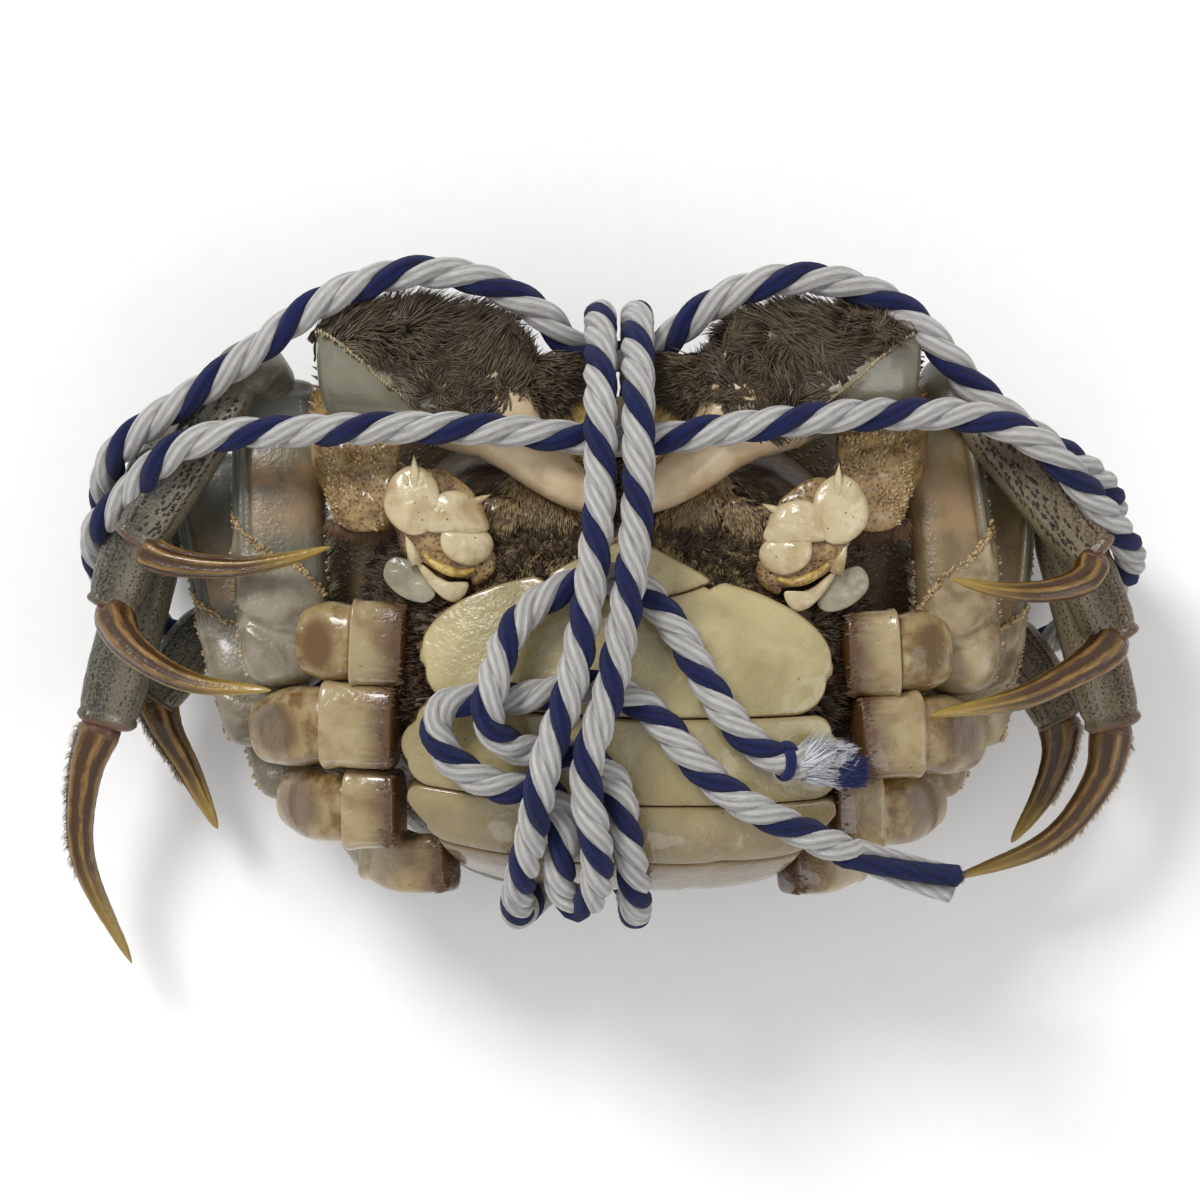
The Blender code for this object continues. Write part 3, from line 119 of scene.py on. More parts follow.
# Claws, drawn for the crab's side at -X and mirrored for the other
CLAW_BASE = [(-17.0, -0.5, 33.5), (-18.2, 3.5, 35.5), (-20.5, 8.0, 36.6), (-22.2, 10.6, 36.2)]
CLAW_ARM = [
    (-23.2, 11.0, 35.2), (-26.6, 12.0, 33.4), (-29.2, 14.8, 31.0), (-30.8, 19.4, 28.6),
    (-31.0, 24.0, 28.0),
]
PALM_LINE = [
    (-32.9, 24.8, 33.5), (-30.5, 25, 33.6), (-24.4, 24.7, 34), (-17.6, 23, 34.4),
    (-12.6, 19.4, 35.4), (-8.0, 14.6, 37), (-3.4, 11.2, 38), (-1.1, 9.3, 38.4),
]
PALM_SECTIONS = (
    (0.0, 4.5, 3.6), (0.07, 5.5, 4.8), (0.24, 6.4, 5.8), (0.44, 6.6, 6.0), (0.58, 5.2, 5.0),
    (0.72, 3.4, 3.6), (0.88, 2.4, 2.6), (0.97, 1.2, 1.4), (1.0, 0.5, 0.5),
)
THUMB_LINE = [(-9.4, 24.6, 35.0), (-5.6, 20.8, 36.2), (-3.2, 16.2, 37.2), (-1.7, 12.2, 37.9)]
THUMB_SECTIONS = (
    (0.0, 2.6, 2.8), (0.2, 3.0, 3.0), (0.5, 2.4, 2.5), (0.8, 1.7, 1.8), (1.0, 0.5, 0.5),
)
FUR_LINE = ((-31.9, 28.9), (-19.1, 20.4))
FUR_TOP_LIMITS = (math.radians(34), math.radians(128))
CLAW_PLATES = (
    ("outer_plate", [
        (-25.0, 10.8), (-24.3, 12.8), (-23.2, 13.8), (-22.0, 14.1), (-20.7, 13.5), (-19.8, 12.2),
        (-19.6, 10.6),
        (-20.1, 9.0), (-20.8, 7.7), (-22.4, 7.4), (-23.9, 8.2), (-24.8, 9.4)], 39.1, (-0.12, -0.02), 1.3,
        "ivory"),
    ("inner_plate", [
        (-20.3, 7.7), (-20.3, 9.5), (-19.5, 10.9), (-18.0, 11.5), (-16.4, 11.2), (-15.2, 10.5), (-14.7, 9.2),
        (-14.3, 7.9), (-15.2, 7.2), (-17.2, 7.3), (-19.0, 7.4)], 39.0, (0.1, 0.0), 1.3, "ivory"),
    ("back_plate", [
        (-20.6, 13.8), (-19.0, 13.9), (-17.2, 12.8), (-15.8, 11.4), (-16.4, 10.6), (-18.2, 10.8),
        (-19.8, 11.6)],
     38.4, (0.05, -0.1), 0.7, "amber"),
    ("brown_fold", [
        (-23.0, 7.3), (-20.6, 7.6), (-18.4, 7.3), (-18.3, 5.6), (-19.6, 5.2), (-21.2, 5.4), (-22.3, 6.0)],
     38.7, (0.0, 0.05), 0.7, "amber"),
    ("lower_band", [
        (-18.7, 7.2), (-16.6, 7.3), (-14.5, 7.2), (-13.8, 6.0), (-14.3, 4.7), (-15.9, 3.9), (-17.8, 4.4),
        (-18.8, 5.6)], 38.8, (0.12, 0.05), 1.1, "ivory"),
    ("low_fold", [
        (-21.4, 5.6), (-19.4, 5.3), (-17.8, 4.6), (-15.8, 4.1), (-14.6, 3.4), (-15.6, 2.6), (-17.6, 2.6),
        (-19.4, 3.2), (-21.0, 4.3)], 38.3, (0.05, 0.1), 0.6, "amber"),
    ("dotted_rim", [
        (-21.7, 4.1), (-20.6, 3.4), (-19.5, 2.5), (-18.1, 1.9), (-16.6, 1.9), (-16.8, 0.8), (-17.7, 0.0),
        (-18.9, 0.3), (-20.1, 1.4), (-21.1, 2.8)], 38.2, (-0.05, 0.1), 0.8, "ivory"),
    ("grey_flap", [
        (-24.2, 4.4), (-22.8, 4.1), (-21.6, 3.5), (-20.7, 1.9), (-20.2, 0.7), (-21.1, 0.0), (-22.9, 0.3),
        (-24.5, 1.4), (-25.2, 2.5), (-25.0, 3.7)], 37.3, (-0.1, 0.05), 0.6, "glass"),
    ("edge_fold", [
        (-14.6, 5.4), (-13.6, 5.0), (-13.4, 3.6), (-14.2, 2.4), (-15.6, 1.8), (-15.8, 2.8), (-14.8, 3.8)],
     37.9, (0.1, 0.1), 0.6, "amber"),
)
CLAW_SPINES = (
    ((-21.9, 13.2, 39.9), (-0.06, 1.0, 0.25), 2.6, 0.85), ((-22.9, 12.9, 39.9), (-0.4, 1.0, 0.3), 1.1, 0.5),
    ((-15.4, 10.6, 39.4), (0.9, 0.42, 0.2), 1.9, 0.7), ((-16.4, 10.6, 39.6), (0.2, 0.9, 0.4), 0.9, 0.5),
    ((-22.3, 5.2, 38.8), (-0.35, 1.0, 0.15), 2.3, 0.85),
)
CLAW_CRESCENT = [(-21.0, 4.9, 39.2), (-19.7, 3.8, 39.4), (-18.2, 3.1, 39.4), (-16.9, 2.9, 39.1),
                 (-15.6, 3.3, 38.5)]
ARM_PLATE = [
    (-32.8, 18.6), (-29.9, 19.4), (-26.6, 19.4), (-23.9, 18.6), (-24.0, 14.2), (-24.6, 10.9), (-25.1, 8.6),
    (-26.9, 7.5), (-29.3, 7.6), (-30.9, 8.6), (-31.8, 10.9), (-32.5, 14.2),
]
ARM_PLATE_TOP = 34.4
COAT_END = 0.58
COAT_END_ABOVE = 0.03
# how far the brown stain and painted shade reach into the first joint from its inner edge
STAIN_AND_SHADE_LENGTH = 5.6
MITTEN_WISPS = 12
MITTEN_WIDTH = 0.255
FINGER_WISPS = 11
FINGER_WISP_WIDTH = 0.27
FELT_TRIES = 4200
FELT_WISPS = 4
FELT_WIDTH = 0.175
FRINGE_TRIES = 9000
FRINGE_TUFTS = 2050
FRINGE_WISPS = 4
FRINGE_WIDTH = 0.23
CLAW_PLATE_GROWTH = 1.12
CLAW_PLATE_SUNK = 0.3
PIT_ROWS_FIRST = (-0.3, 0.02, 0.2, 0.36, 0.62)
PIT_ROWS_OTHERS = (-0.5, -0.25, 0.0, 0.25, 0.5, 0.7)
PIT_LENGTHS = ((0.2, 0.4), (0.45, 0.75))
JAW_PARTS = (
    ("plate", [(9, 7.3, 35.2), (7.9, 9.6, 34.6), (6.9, 11.6, 33.4)],
     ((0, 3.0, 1.3), (0.5, 4.2, 2.0), (1, 3.9, 1.7))),
    ("cap", [(6.9, 11.4, 33.4), (6.2, 13.4, 32.2), (5.5, 15, 30.8)],
     ((0, 3.7, 1.7), (0.5, 4.1, 2.0), (1, 2.6, 1.0))),
    ("feeler", [(10.6, 9.0, 34.6), (11.0, 12.4, 34.4), (9.6, 14.6, 33.2)],
     ((0, 1.2, 1.0), (0.5, 1.3, 1.1), (1, 0.8, 0.6))),
    ("palp", [(12.2, 7.4, 35.6), (12.9, 9.4, 36.2), (11.6, 11.0, 36.0)],
     ((0, 1.1, 0.8), (0.5, 1.6, 1.0), (1, 0.9, 0.6))),
)
MOUTH_BOX = [
    (-15.0, 10.4), (-13.0, 11.3), (-11.2, 11.0), (-10.4, 9.6), (-11.0, 7.8), (-11.8, 6.4), (-13.2, 6.6),
    (-14.4, 8.2),
]
RIGHT_CLAW_SHIFT = (1.6, -1.0)

# Walking legs, front to back: base, merus, shank (carpus and propodus) and dactyl
LEGS = {
    "left_1": {
        "base": [(-23.4, -4.9, 34.6), (-29.9, -4.6, 34.4), (-34.8, -4.4, 32)],
        "merus": [(-36.6, -9.6, 29.4), (-37.4, 2, 28.8), (-37.8, 12, 27.6), (-38.4, 24.6, 25.0)],
        "shank": [
            (-38.3, 21, 25.2), (-38.7, 24.4, 25.8), (-39.8, 26.1, 28.4), (-41.6, 24.6, 31),
            (-44, 20.6, 31.8), (-53.4, 6, 31.2),
        ],
        "dactyl": [
            (-52.4, 5.8, 31.8), (-49, 4.3, 33.3), (-42.2, 3.6, 34.8), (-36.5, 4.4, 35.4), (-31.4, 5.8, 35.6),
        ],
        "merus_size": (5.2, 3.1),
        "shank_size": (3.0, 2.2),
    },
    "left_2": {
        "base": [(-24.5, -13.9, 34.6), (-32.2, -13.6, 33.6), (-37, -14.2, 29.5), (-39, -14.8, 25.5)],
        "merus": [(-39.6, -16.4, 23.2), (-43.4, 0, 21.2), (-47.4, 16.4, 19)],
        "shank": [
            (-47.2, 15.4, 19), (-48.2, 18.9, 19.6), (-49.4, 20.3, 22), (-50.8, 18.4, 24.8),
            (-51.8, 14.4, 25.4), (-56.8, -1.3, 25),
        ],
        "dactyl": [
            (-56.8, -0.8, 25.4), (-54.8, -4.4, 28.2), (-50.4, -7.6, 31.4), (-45.5, -9.3, 34),
            (-37.7, -9.8, 37),
        ],
        "merus_size": (4.6, 2.7),
        "shank_size": (3.1, 2.2),
    },
    "left_3": {
        "base": [(-24.2, -22.8, 33), (-29.8, -22.8, 31.8), (-34.2, -22.4, 27), (-36.4, -21.8, 21.5)],
        "merus": [(-36.8, -22.6, 18.2), (-42, -5.4, 15.2), (-47.4, 11.4, 12)],
        "shank": [
            (-47.2, 10.4, 12), (-48.4, 13.4, 12.6), (-49.8, 14.6, 15), (-51.4, 12.4, 17.2),
            (-52.8, 7.6, 17.6), (-58.8, -14.7, 17),
        ],
        "dactyl": [(-58.9, -13.8, 16.8), (-61.3, -20, 15.6), (-61.8, -30, 13.6), (-56.7, -42.4, 10)],
        "merus_size": (4.0, 2.5),
        "shank_size": (3.5, 2.3),
    },
    "left_4": {
        "base": [(-18.7, -29, 30), (-23.4, -29.2, 28), (-27.6, -27.8, 22), (-29.8, -26.2, 16.5)],
        "merus": [(-30.4, -26.2, 13.6), (-37, -15.8, 10.6), (-43.4, -5.6, 7.8)],
        "shank": [
            (-43, -6.4, 7.9), (-45, -3.6, 8), (-47.2, -2.8, 8.8), (-49.2, -4.6, 9.6),
            (-51.2, -7.4, 10), (-54.4, -11.8, 10.4),
        ],
        "dactyl": [(-54, -11, 10.4), (-52.6, -15, 10.6), (-49.9, -20, 10.2), (-46.8, -26.8, 9)],
        "merus_size": (3.8, 2.2),
        "shank_size": (3.0, 1.8),
    },
    "right_1": {
        "base": [(24.8, -6, 34.6), (31.1, -5.7, 34.4), (36, -5.5, 32)],
        "merus": [(37.8, -10.6, 29.4), (37.6, 1, 28.4), (36.4, 12, 26.8), (35.2, 22.6, 24.2)],
        "shank": [
            (35.2, 20.2, 24.4), (35.4, 22.8, 24.8), (36.2, 24.0, 26.8), (38.2, 22.6, 28.8),
            (41.2, 18.8, 29.6), (52.8, 4.4, 30.8),
        ],
        "dactyl": [
            (52.4, 4.8, 31.6), (51, 2.3, 33), (46.8, 1, 34.5), (41.5, 1.1, 35.5), (36.1, 2.3, 36.2),
        ],
        "merus_size": (4.7, 3.1),
        "shank_size": (3.1, 2.2),
    },
    "right_2": {
        "base": [(26.2, -15.1, 34.6), (32.2, -14.6, 33.6), (36.9, -15, 29.5), (38.8, -15.4, 25.5)],
        "merus": [(39.2, -16.6, 23.2), (41.8, -0.6, 21.2), (43.6, 13.6, 19)],
        "shank": [
            (43.5, 12.6, 19), (44.2, 16, 19.6), (45.4, 17.3, 22), (47, 15.4, 24.8),
            (48.8, 11.8, 25.4), (55.8, -5, 25),
        ],
        "dactyl": [
            (55.6, -4.2, 25.4), (53.6, -6.2, 27.4), (49.4, -8.6, 29.6), (43.8, -10.9, 32.6),
            (33.7, -12.5, 37.2),
        ],
        "merus_size": (4.6, 2.7),
        "shank_size": (3.1, 2.2),
    },
    "right_3": {
        "base": [(23.4, -23.3, 33), (28.6, -23.2, 31.8), (32.8, -22.6, 27), (34.8, -21.8, 21.5)],
        "merus": [(35.4, -22.4, 18.2), (40.4, -5.6, 15.2), (45.2, 11.4, 12)],
        "shank": [
            (45, 10.4, 12), (46, 13.4, 12.6), (47.4, 14.6, 15), (49.2, 12.4, 17.2),
            (50.8, 7.4, 17.6), (57, -15, 17),
        ],
        "dactyl": [(56.8, -14, 17), (55.4, -20.4, 16.6), (49.8, -27.6, 15.6), (38.9, -32.2, 14)],
        "merus_size": (4.0, 2.5),
        "shank_size": (3.3, 2.3),
    },
    "right_4": {
        "base": [(18.8, -29.3, 30), (22.8, -29.2, 28), (26.4, -27.8, 22), (28.2, -26.4, 16.5)],
        "merus": [(28.8, -26.6, 13.6), (35.2, -16.2, 10.6), (41, -6.6, 7.8)],
        "shank": [
            (40.6, -7.4, 7.9), (42.4, -4.4, 8), (44.6, -3.6, 8.8), (46.8, -5.6, 9.6),
            (48.8, -8.6, 10), (52, -14.4, 10.4),
        ],
        "dactyl": [(51.6, -13.6, 10.4), (51.4, -18, 10.6), (49.4, -23.2, 10.2), (46.1, -28.4, 9)],
        "merus_size": (3.8, 2.2),
        "shank_size": (3.0, 1.8),
    },
}
BASE_HALF_WIDTH = {"1": 4.3, "2": 4.3, "3": 4.0, "4": 2.9}
BASE_HALF_THICK = {"1": 3.2, "2": 3.2, "3": 3.0, "4": 2.3}
COXA_END = {
    "left_1": 0.48, "left_2": 0.4, "left_3": 0.29, "left_4": 0.6,
    "right_1": 0.48, "right_2": 0.37, "right_3": 0.28, "right_4": 0.55,
}
RIM_OF_GRAINS = 0.41
RIM_SLANT = 0.14
DACTYL_RIBS = 7
DACTYL_GROOVE = 0.12
DACTYL_RADIUS = {"1": (2.0, 1.5), "2": (2.35, 1.75), "3": (2.5, 1.9), "4": (2.6, 1.3)}


WRAP_FRONT = [
    (-58.2, 10, 17), (-58, 11.4, 22), (-57, 13.8, 27), (-55.2, 16.4, 31), (-51.8, 19, 33.4),
    (-47.2, 21.8, 34.8), (-42.6, 25, 35.4), (-38, 28.3, 35.8), (-33.6, 31.6, 36.4),
    (-28, 34.2, 37), (-21.5, 35.5, 38), (-15, 34.6, 38), (-8.8, 31.4, 37), (-5, 27.7, 35),
    (-2, 26.7, 33.8), (2, 26.7, 33.8), (4.8, 27.8, 35.2), (8.6, 31, 37), (14, 33.8, 38),
    (20.8, 34.8, 38), (27.4, 33.3, 37), (32, 30.6, 36.2), (35.4, 27, 35.4), (38.6, 23.6, 34.2),
    (42.2, 20.4, 33.4), (45.8, 17.8, 33), (49.6, 15.6, 31.6), (53.6, 13.2, 27.4),
    (55.8, 10.8, 22), (56.2, 9.8, 17), (55, 9.2, 11), (52, 9, 6.2), (48, 9, 2.9),
    (42, 9, 1.8), (38, 9, 1.8), (-38, 9, 1.8), (-42, 9, 1.8), (-48, 9, 2.9),
    (-53, 9, 6.2), (-57, 9.2, 11),
]
WRAP_MIDDLE = [
    (-59.4, 4, 17), (-59, 6.4, 22), (-57.8, 8.4, 27), (-53.6, 12, 31.8), (-50.6, 14.6, 35),
    (-47, 16.9, 36.4), (-42, 17.9, 37.4), (-34.5, 18.2, 39.2), (-28.6, 18.3, 41.2),
    (-23.4, 18.4, 42.6), (-12.7, 18.1, 43.4), (-3.1, 17.2, 43.2), (4.4, 17.2, 43.2),
    (10.7, 18.1, 43.4), (19.3, 19.2, 42.6), (25, 19.8, 41.2), (30.4, 20, 39.4),
    (37, 20, 38.2), (42, 18.8, 37.6), (46.4, 16.4, 37), (50.4, 12.6, 34.8), (53.8, 9.2, 31),
    (56.8, 6.2, 26), (58.2, 4.2, 20), (57.6, 2, 14), (54.8, -1.6, 8.4), (51, -4.8, 4.8),
    (47.4, -7, 2.9), (41.6, -9, 1.8), (37.4, -9.4, 1.8), (-37.4, -9.4, 1.8),
    (-41.6, -9, 1.8), (-47.4, -7, 2.9), (-52, -4.4, 4.8), (-56.2, -0.6, 8.8), (-58.8, 2.2, 13),
]
TAIL_SHORT = [
    (24.4, -17.7, 41.2), (22.2, -17.6, 42.1), (20, -17.4, 43), (18, -17.2, 43.6),
    (16.2, -16.6, 44.1), (14.4, -15.4, 44.4), (12.8, -13.8, 44.6), (11.2, -11.8, 44.7),
    (9.8, -9.7, 44.8), (8.6, -7.6, 44.8), (7.5, -5.5, 44.8), (6.5, -3.7, 44.7),
    (5.2, -2, 44.6), (3.8, -0.3, 44.5), (2.2, 1.3, 44.4),
]
BOW_AND_TURN_LEFT = [
    (-0.2, 2.3, 44.3), (-3, 2.2, 44.3), (-6, 1.2, 44.5), (-9.5, -1.1, 44.8),
    (-11.8, -4.2, 46), (-13.2, -8.4, 48), (-13.9, -12, 48.5), (-12.6, -14.6, 46.6),
    (-9.8, -16.0, 44.8), (-6.3, -16.4, 44.6), (-2.6, -17.4, 44.6),
    (-0.2, -20, 44.5), (0.5, -23.8, 44.1), (1.4, -28.6, 42.2), (1.8, -32.2, 38.2),
    (1.8, -34.3, 32), (1.8, -34.8, 25), (1.4, -33.4, 15.4), (0, -30.4, 8.4),
    (-1.2, -25.4, 5.6), (-2, -18, 5.5), (-2, -4.5, 5.5), (-2, 6, 5.9), (-2, 15, 8.3),
    (-2, 22.8, 12.6), (-2, 28.2, 19), (-2, 30.6, 27), (-2, 31.1, 33.6), (-2, 29.8, 38.2),
    (-2, 26.6, 42.2), (-2, 22, 46), (-2, 17, 47.4), (-2.0, 12, 47.8), (-2.5, 6, 48.4),
    (-3.3, 0, 48.9), (-5.2, -9.4, 48.9), (-7.6, -16.6, 48.9), (-8.6, -21.2, 48.5),
    (-9.4, -25.4, 45.6), (-10.4, -29.2, 42.2), (-11, -32.2, 37.6), (-11.1, -34.3, 32),
]
TURN_RIGHT_AND_BAND = [
    (-10.7, -34.8, 25), (-8.6, -33.4, 17), (-5, -30.6, 12), (-1, -26, 9.9), (1.4, -21, 8.3),
    (2.1, -14, 6.1), (2.1, -4.5, 5.5), (2, 6, 5.9), (2, 15, 8.3), (2, 22.8, 12.6),
    (2, 28.2, 19), (2, 30.6, 27), (2, 31.1, 33.6), (2, 29.8, 38.2), (2, 26.6, 42.2),
    (2, 22, 46), (2, 17, 47.4), (2, 12, 47.8), (1.6, 6, 48.4), (0.8, 0, 48.9),
    (-1.0, -9.4, 48.9), (-3.3, -16.6, 48.9), (-3.4, -20.8, 48.8), (-2.6, -24.6, 47.8),
    (-2.3, -28.4, 45.4), (-2.8, -31.4, 42), (-4.4, -32.9, 39.6), (-5.9, -31.4, 40.6),
    (-6.4, -28.8, 42.8), (-6.1, -26.4, 43.9), (-5.7, -24, 44.4), (-6.2, -21.8, 44.4),
    (-8.4, -20.4, 44.4), (-11.2, -20.1, 44.4), (-14.2, -19.3, 44.4), (-17.6, -17.2, 44.2),
    (-19.5, -13.8, 44), (-18.4, -11.2, 44.2), (-14.8, -10.5, 44.4), (-10.5, -10.4, 44.5),
    (-6, -9.6, 44.6), (-2.8, -9.2, 44.6),
]
TAIL_LONG = [
    (-0.4, -9.6, 44.6), (1.6, -10.6, 44.6), (3.4, -11.9, 44.6), (5.2, -13.8, 44.6),
    (6.9, -15.9, 44.6), (8.6, -17.8, 44.6), (10.4, -19.5, 44.4), (12.3, -21, 44.2),
    (14.6, -22.3, 43.8), (17, -23.5, 43.4), (19.3, -24.6, 42.9), (22, -25.9, 42.1),
    (24.8, -27.1, 41.2), (27.8, -28.2, 40.5), (30.8, -29.1, 39.7), (33.4, -29.8, 38.9),
    (36, -30.4, 38),
]
LONG_STRAND_PHASE = 1.0

# Studio: light from all round, and lamps as (name, place in metres, size, watts)
WORLD_LIGHT = 0.62
LAMPS = (
    ("key_lamp", (-0.45, 0.6, 0.85), 0.35, 7.5),
    ("fill_lamp", (0.7, -0.2, 0.8), 0.6, 1.6),
    ("low_lamp", (-0.1, -0.8, 0.35), 0.4, 0.7),
)

# Rope: three strands, one of them navy, laid round each other
STRAND_RADIUS = 1.05
STRAND_OFFSET = 0.77
ROPE_RADIUS = STRAND_RADIUS + STRAND_OFFSET
WRAP_LAY = 11.9
STRAND_LAY = 9.6
ROPE_STEP = 0.65
SHORT_TAIL_LOOSE = 6.6
LONG_TAIL_LOOSE = 12.0
LONG_TAIL_EASE = 0.55
NAVY_AT_END = (0.15, 0.75, 1.0)
NAVY_CLUMP = (0.8, -0.7, 0.9)
RING_RADIUS = 1.75
STRAND_SIDES = 24
YARNS = 7
YARN_RIDGE = 0.034
YARN_TURN = 0.4

# Tufts: how a wisp of hair tapers from its root to its tip
WISP_STEPS = (0.0, 0.36, 0.72)
WISP_WIDTHS = (0.75, 1.0, 0.62)
WISP_FLATNESS = 0.5
UV_PATCH = 0.003

# Streaks along a limb are drawn out by this much against their width
FLOW_STRETCH = 0.22


def smooth_points(route, closed=False, steps=10):
    """Points close together on a smooth curve through the route's points."""
    route = [Vector(p) for p in route]
    count = len(route)
    spans = count if closed else count - 1
    dense = []
    for i in range(spans):
        if closed:
            a, b, c, d = (route[(i + k - 1) % count] for k in range(4))
        else:
            b, c = route[i], route[i + 1]
            a = route[i - 1] if i else b + (b - c)
            d = route[i + 2] if i + 2 < count else c + (c - b)
        reach = (c - b).length
        tangent_b = (c - a) * (reach / max((b - a).length + reach, 1e-9))
        tangent_c = (d - b) * (reach / max((d - c).length + reach, 1e-9))
        for k in range(steps):
            t = k / steps
            dense.append(
                b * (2 * t**3 - 3 * t**2 + 1)
                + tangent_b * (t**3 - 2 * t**2 + t)
                + c * (3 * t**2 - 2 * t**3)
                + tangent_c * (t**3 - t**2)
            )
    dense.append(route[0].copy() if closed else route[-1].copy())
    return dense


def lengths_along(dense):
    total = [0.0]
    for a, b in zip(dense, dense[1:]):
        total.append(total[-1] + (b - a).length)
    return total


def point_at(dense, along, distance):
    """The point at a distance along, carried straight on past either end."""
    if distance < 0:
        return dense[0] + (dense[1] - dense[0]).normalized() * distance
    if distance > along[-1]:
        return dense[-1] + (dense[-1] - dense[-2]).normalized() * (distance - along[-1])
    for i in range(len(along) - 1):
        if along[i + 1] >= distance:
            span = along[i + 1] - along[i]
            return dense[i].lerp(dense[i + 1], (distance - along[i]) / max(span, 1e-9))
    return dense[-1].copy()


def eased(sections, share):
    """Half width and half thickness at a share of the length, without corners."""
    shares = [row[0] for row in sections]
    share = min(max(share, shares[0]), shares[-1])
    last = len(sections) - 1
    i = next(k for k in range(last) if share <= shares[k + 1] or k == last - 1)
    span = shares[i + 1] - shares[i]
    t = (share - shares[i]) / span
    found = []
    for column in (1, 2):
        def slope(k):
            if k in (0, last):
                return 0.0
            left = (sections[k][column] - sections[k - 1][column]) / (shares[k] - shares[k - 1])
            right = (sections[k + 1][column] - sections[k][column]) / (shares[k + 1] - shares[k])
            return 0.0 if left * right <= 0 else 2 * left * right / (left + right)
        a, b = sections[i][column], sections[i + 1][column]
        found.append(
            a * (2 * t**3 - 3 * t**2 + 1) + slope(i) * span * (t**3 - 2 * t**2 + t)
            + b * (3 * t**2 - 2 * t**3) + slope(i + 1) * span * (t**3 - t**2)
        )
    return found


def clamp(value, low=0.0, high=1.0):
    return min(max(value, low), high)


def bell(value, middle, width):
    return math.exp(-(((value - middle) / width) ** 2))


def grain(point, size, seed=0.0):
    """Smooth noise from -1 to 1 that repeats about every size millimetres."""
    return noise.noise(Vector(point) / size + Vector((seed, seed * 1.7, seed * 0.3)))


def add_mesh(name, points, faces, looks, attributes=None, slots=None, smooth=True):
    """A piece on the crab's one body, from points in millimetres."""
    mesh = bpy.data.meshes.new(name)
    places = (np.array([tuple(p) for p in points]) + np.array(PLACE)) * MM
    mesh.from_pydata(places.tolist(), [], faces)
    for label, values in (attributes or {}).items():
        values = np.asarray(values, dtype=np.float32)
        kind = "FLOAT" if values.ndim == 1 else "FLOAT_VECTOR"
        field = "value" if values.ndim == 1 else "vector"
        mesh.attributes.new(label, kind, "POINT").data.foreach_set(field, values.ravel())
    for look in looks if isinstance(looks, (list, tuple)) else [looks]:
        mesh.materials.append(look)
    if slots is not None:
        mesh.polygons.foreach_set("material_index", slots)
    mesh.polygons.foreach_set("use_smooth", [smooth] * len(mesh.polygons))
    mesh.update()
    item = bpy.data.objects.new(name, mesh)
    bpy.context.scene.collection.objects.link(item)
    return item


def finish_piece(item, slot, *nodes):
    """Ride on the body and stand for the nodes; the slot is not used."""
    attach(item, "root")
    if nodes:
        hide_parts(*nodes)
    return item


def outward(item):
    form = bmesh.new()
    form.from_mesh(item.data)
    bmesh.ops.recalc_face_normals(form, faces=form.faces[:])
    form.to_mesh(item.data)
    form.free()
    return item


def tree_of(items):
    """A search tree of pieces, in millimetres from the part's own origin."""
    points, faces = [], []
    for item in items:
        start = len(points)
        points += [v.co / MM - PLACE for v in item.data.vertices]
        faces += [[start + k for k in polygon.vertices] for polygon in item.data.polygons]
    return BVHTree.FromPolygons(points, faces)


class Limb:
    """A limb's skin: its middle line, its sections and a frame carried along without twist."""

    def __init__(self, route, sections, face=(0, 0, 1), power=2.5, shape=None, stations=160, flip=False,
                 face_at_end=False):
        self.dense = smooth_points(route)
        self.along = lengths_along(self.dense)
        self.length = self.along[-1]
        self.sections = sections
        self.power = power
        self.shape = shape
        self.frames = []
        up = Vector(face)
        for k in range(stations, -1, -1) if face_at_end else range(stations + 1):
            distance = self.length * k / stations
            ahead = point_at(self.dense, self.along, distance + 0.4)
            behind = point_at(self.dense, self.along, distance - 0.4)
            tangent = (ahead - behind).normalized()
            up = (up - tangent * up.dot(tangent)).normalized()
            self.frames.append((tangent, tangent.cross(up) * (-1 if flip else 1), up))
        if face_at_end:
            self.frames.reverse()

    def point_on_line(self, share):
        return point_at(self.dense, self.along, share * self.length)

    def frame(self, share):
        return self.frames[round(clamp(share) * (len(self.frames) - 1))]

    def point(self, share, angle, lift=0.0, scale=1.0):
        """A point of the skin; angle runs from the limb's side towards its face."""
        tangent, side, up = self.frame(share)
        wide, thick = eased(self.sections, share)
        if self.shape:
            lift += self.shape(share, angle)
        c, s = math.cos(angle), math.sin(angle)
        across = math.copysign(abs(c) ** (2 / self.power), c) * (wide + lift) * scale
        above = math.copysign(abs(s) ** (2 / self.power), s) * (thick + lift) * scale
        return point_at(self.dense, self.along, share * self.length) + side * across + up * above

    def normal(self, share, angle):
        around = self.point(share, angle + 0.1) - self.point(share, angle - 0.1)
        forward = self.point(share + 0.02, angle) - self.point(share - 0.02, angle)
        way = around.cross(forward).normalized()
        middle = point_at(self.dense, self.along, share * self.length)
        return way if way.dot(self.point(share, angle) - middle) > 0 else -way


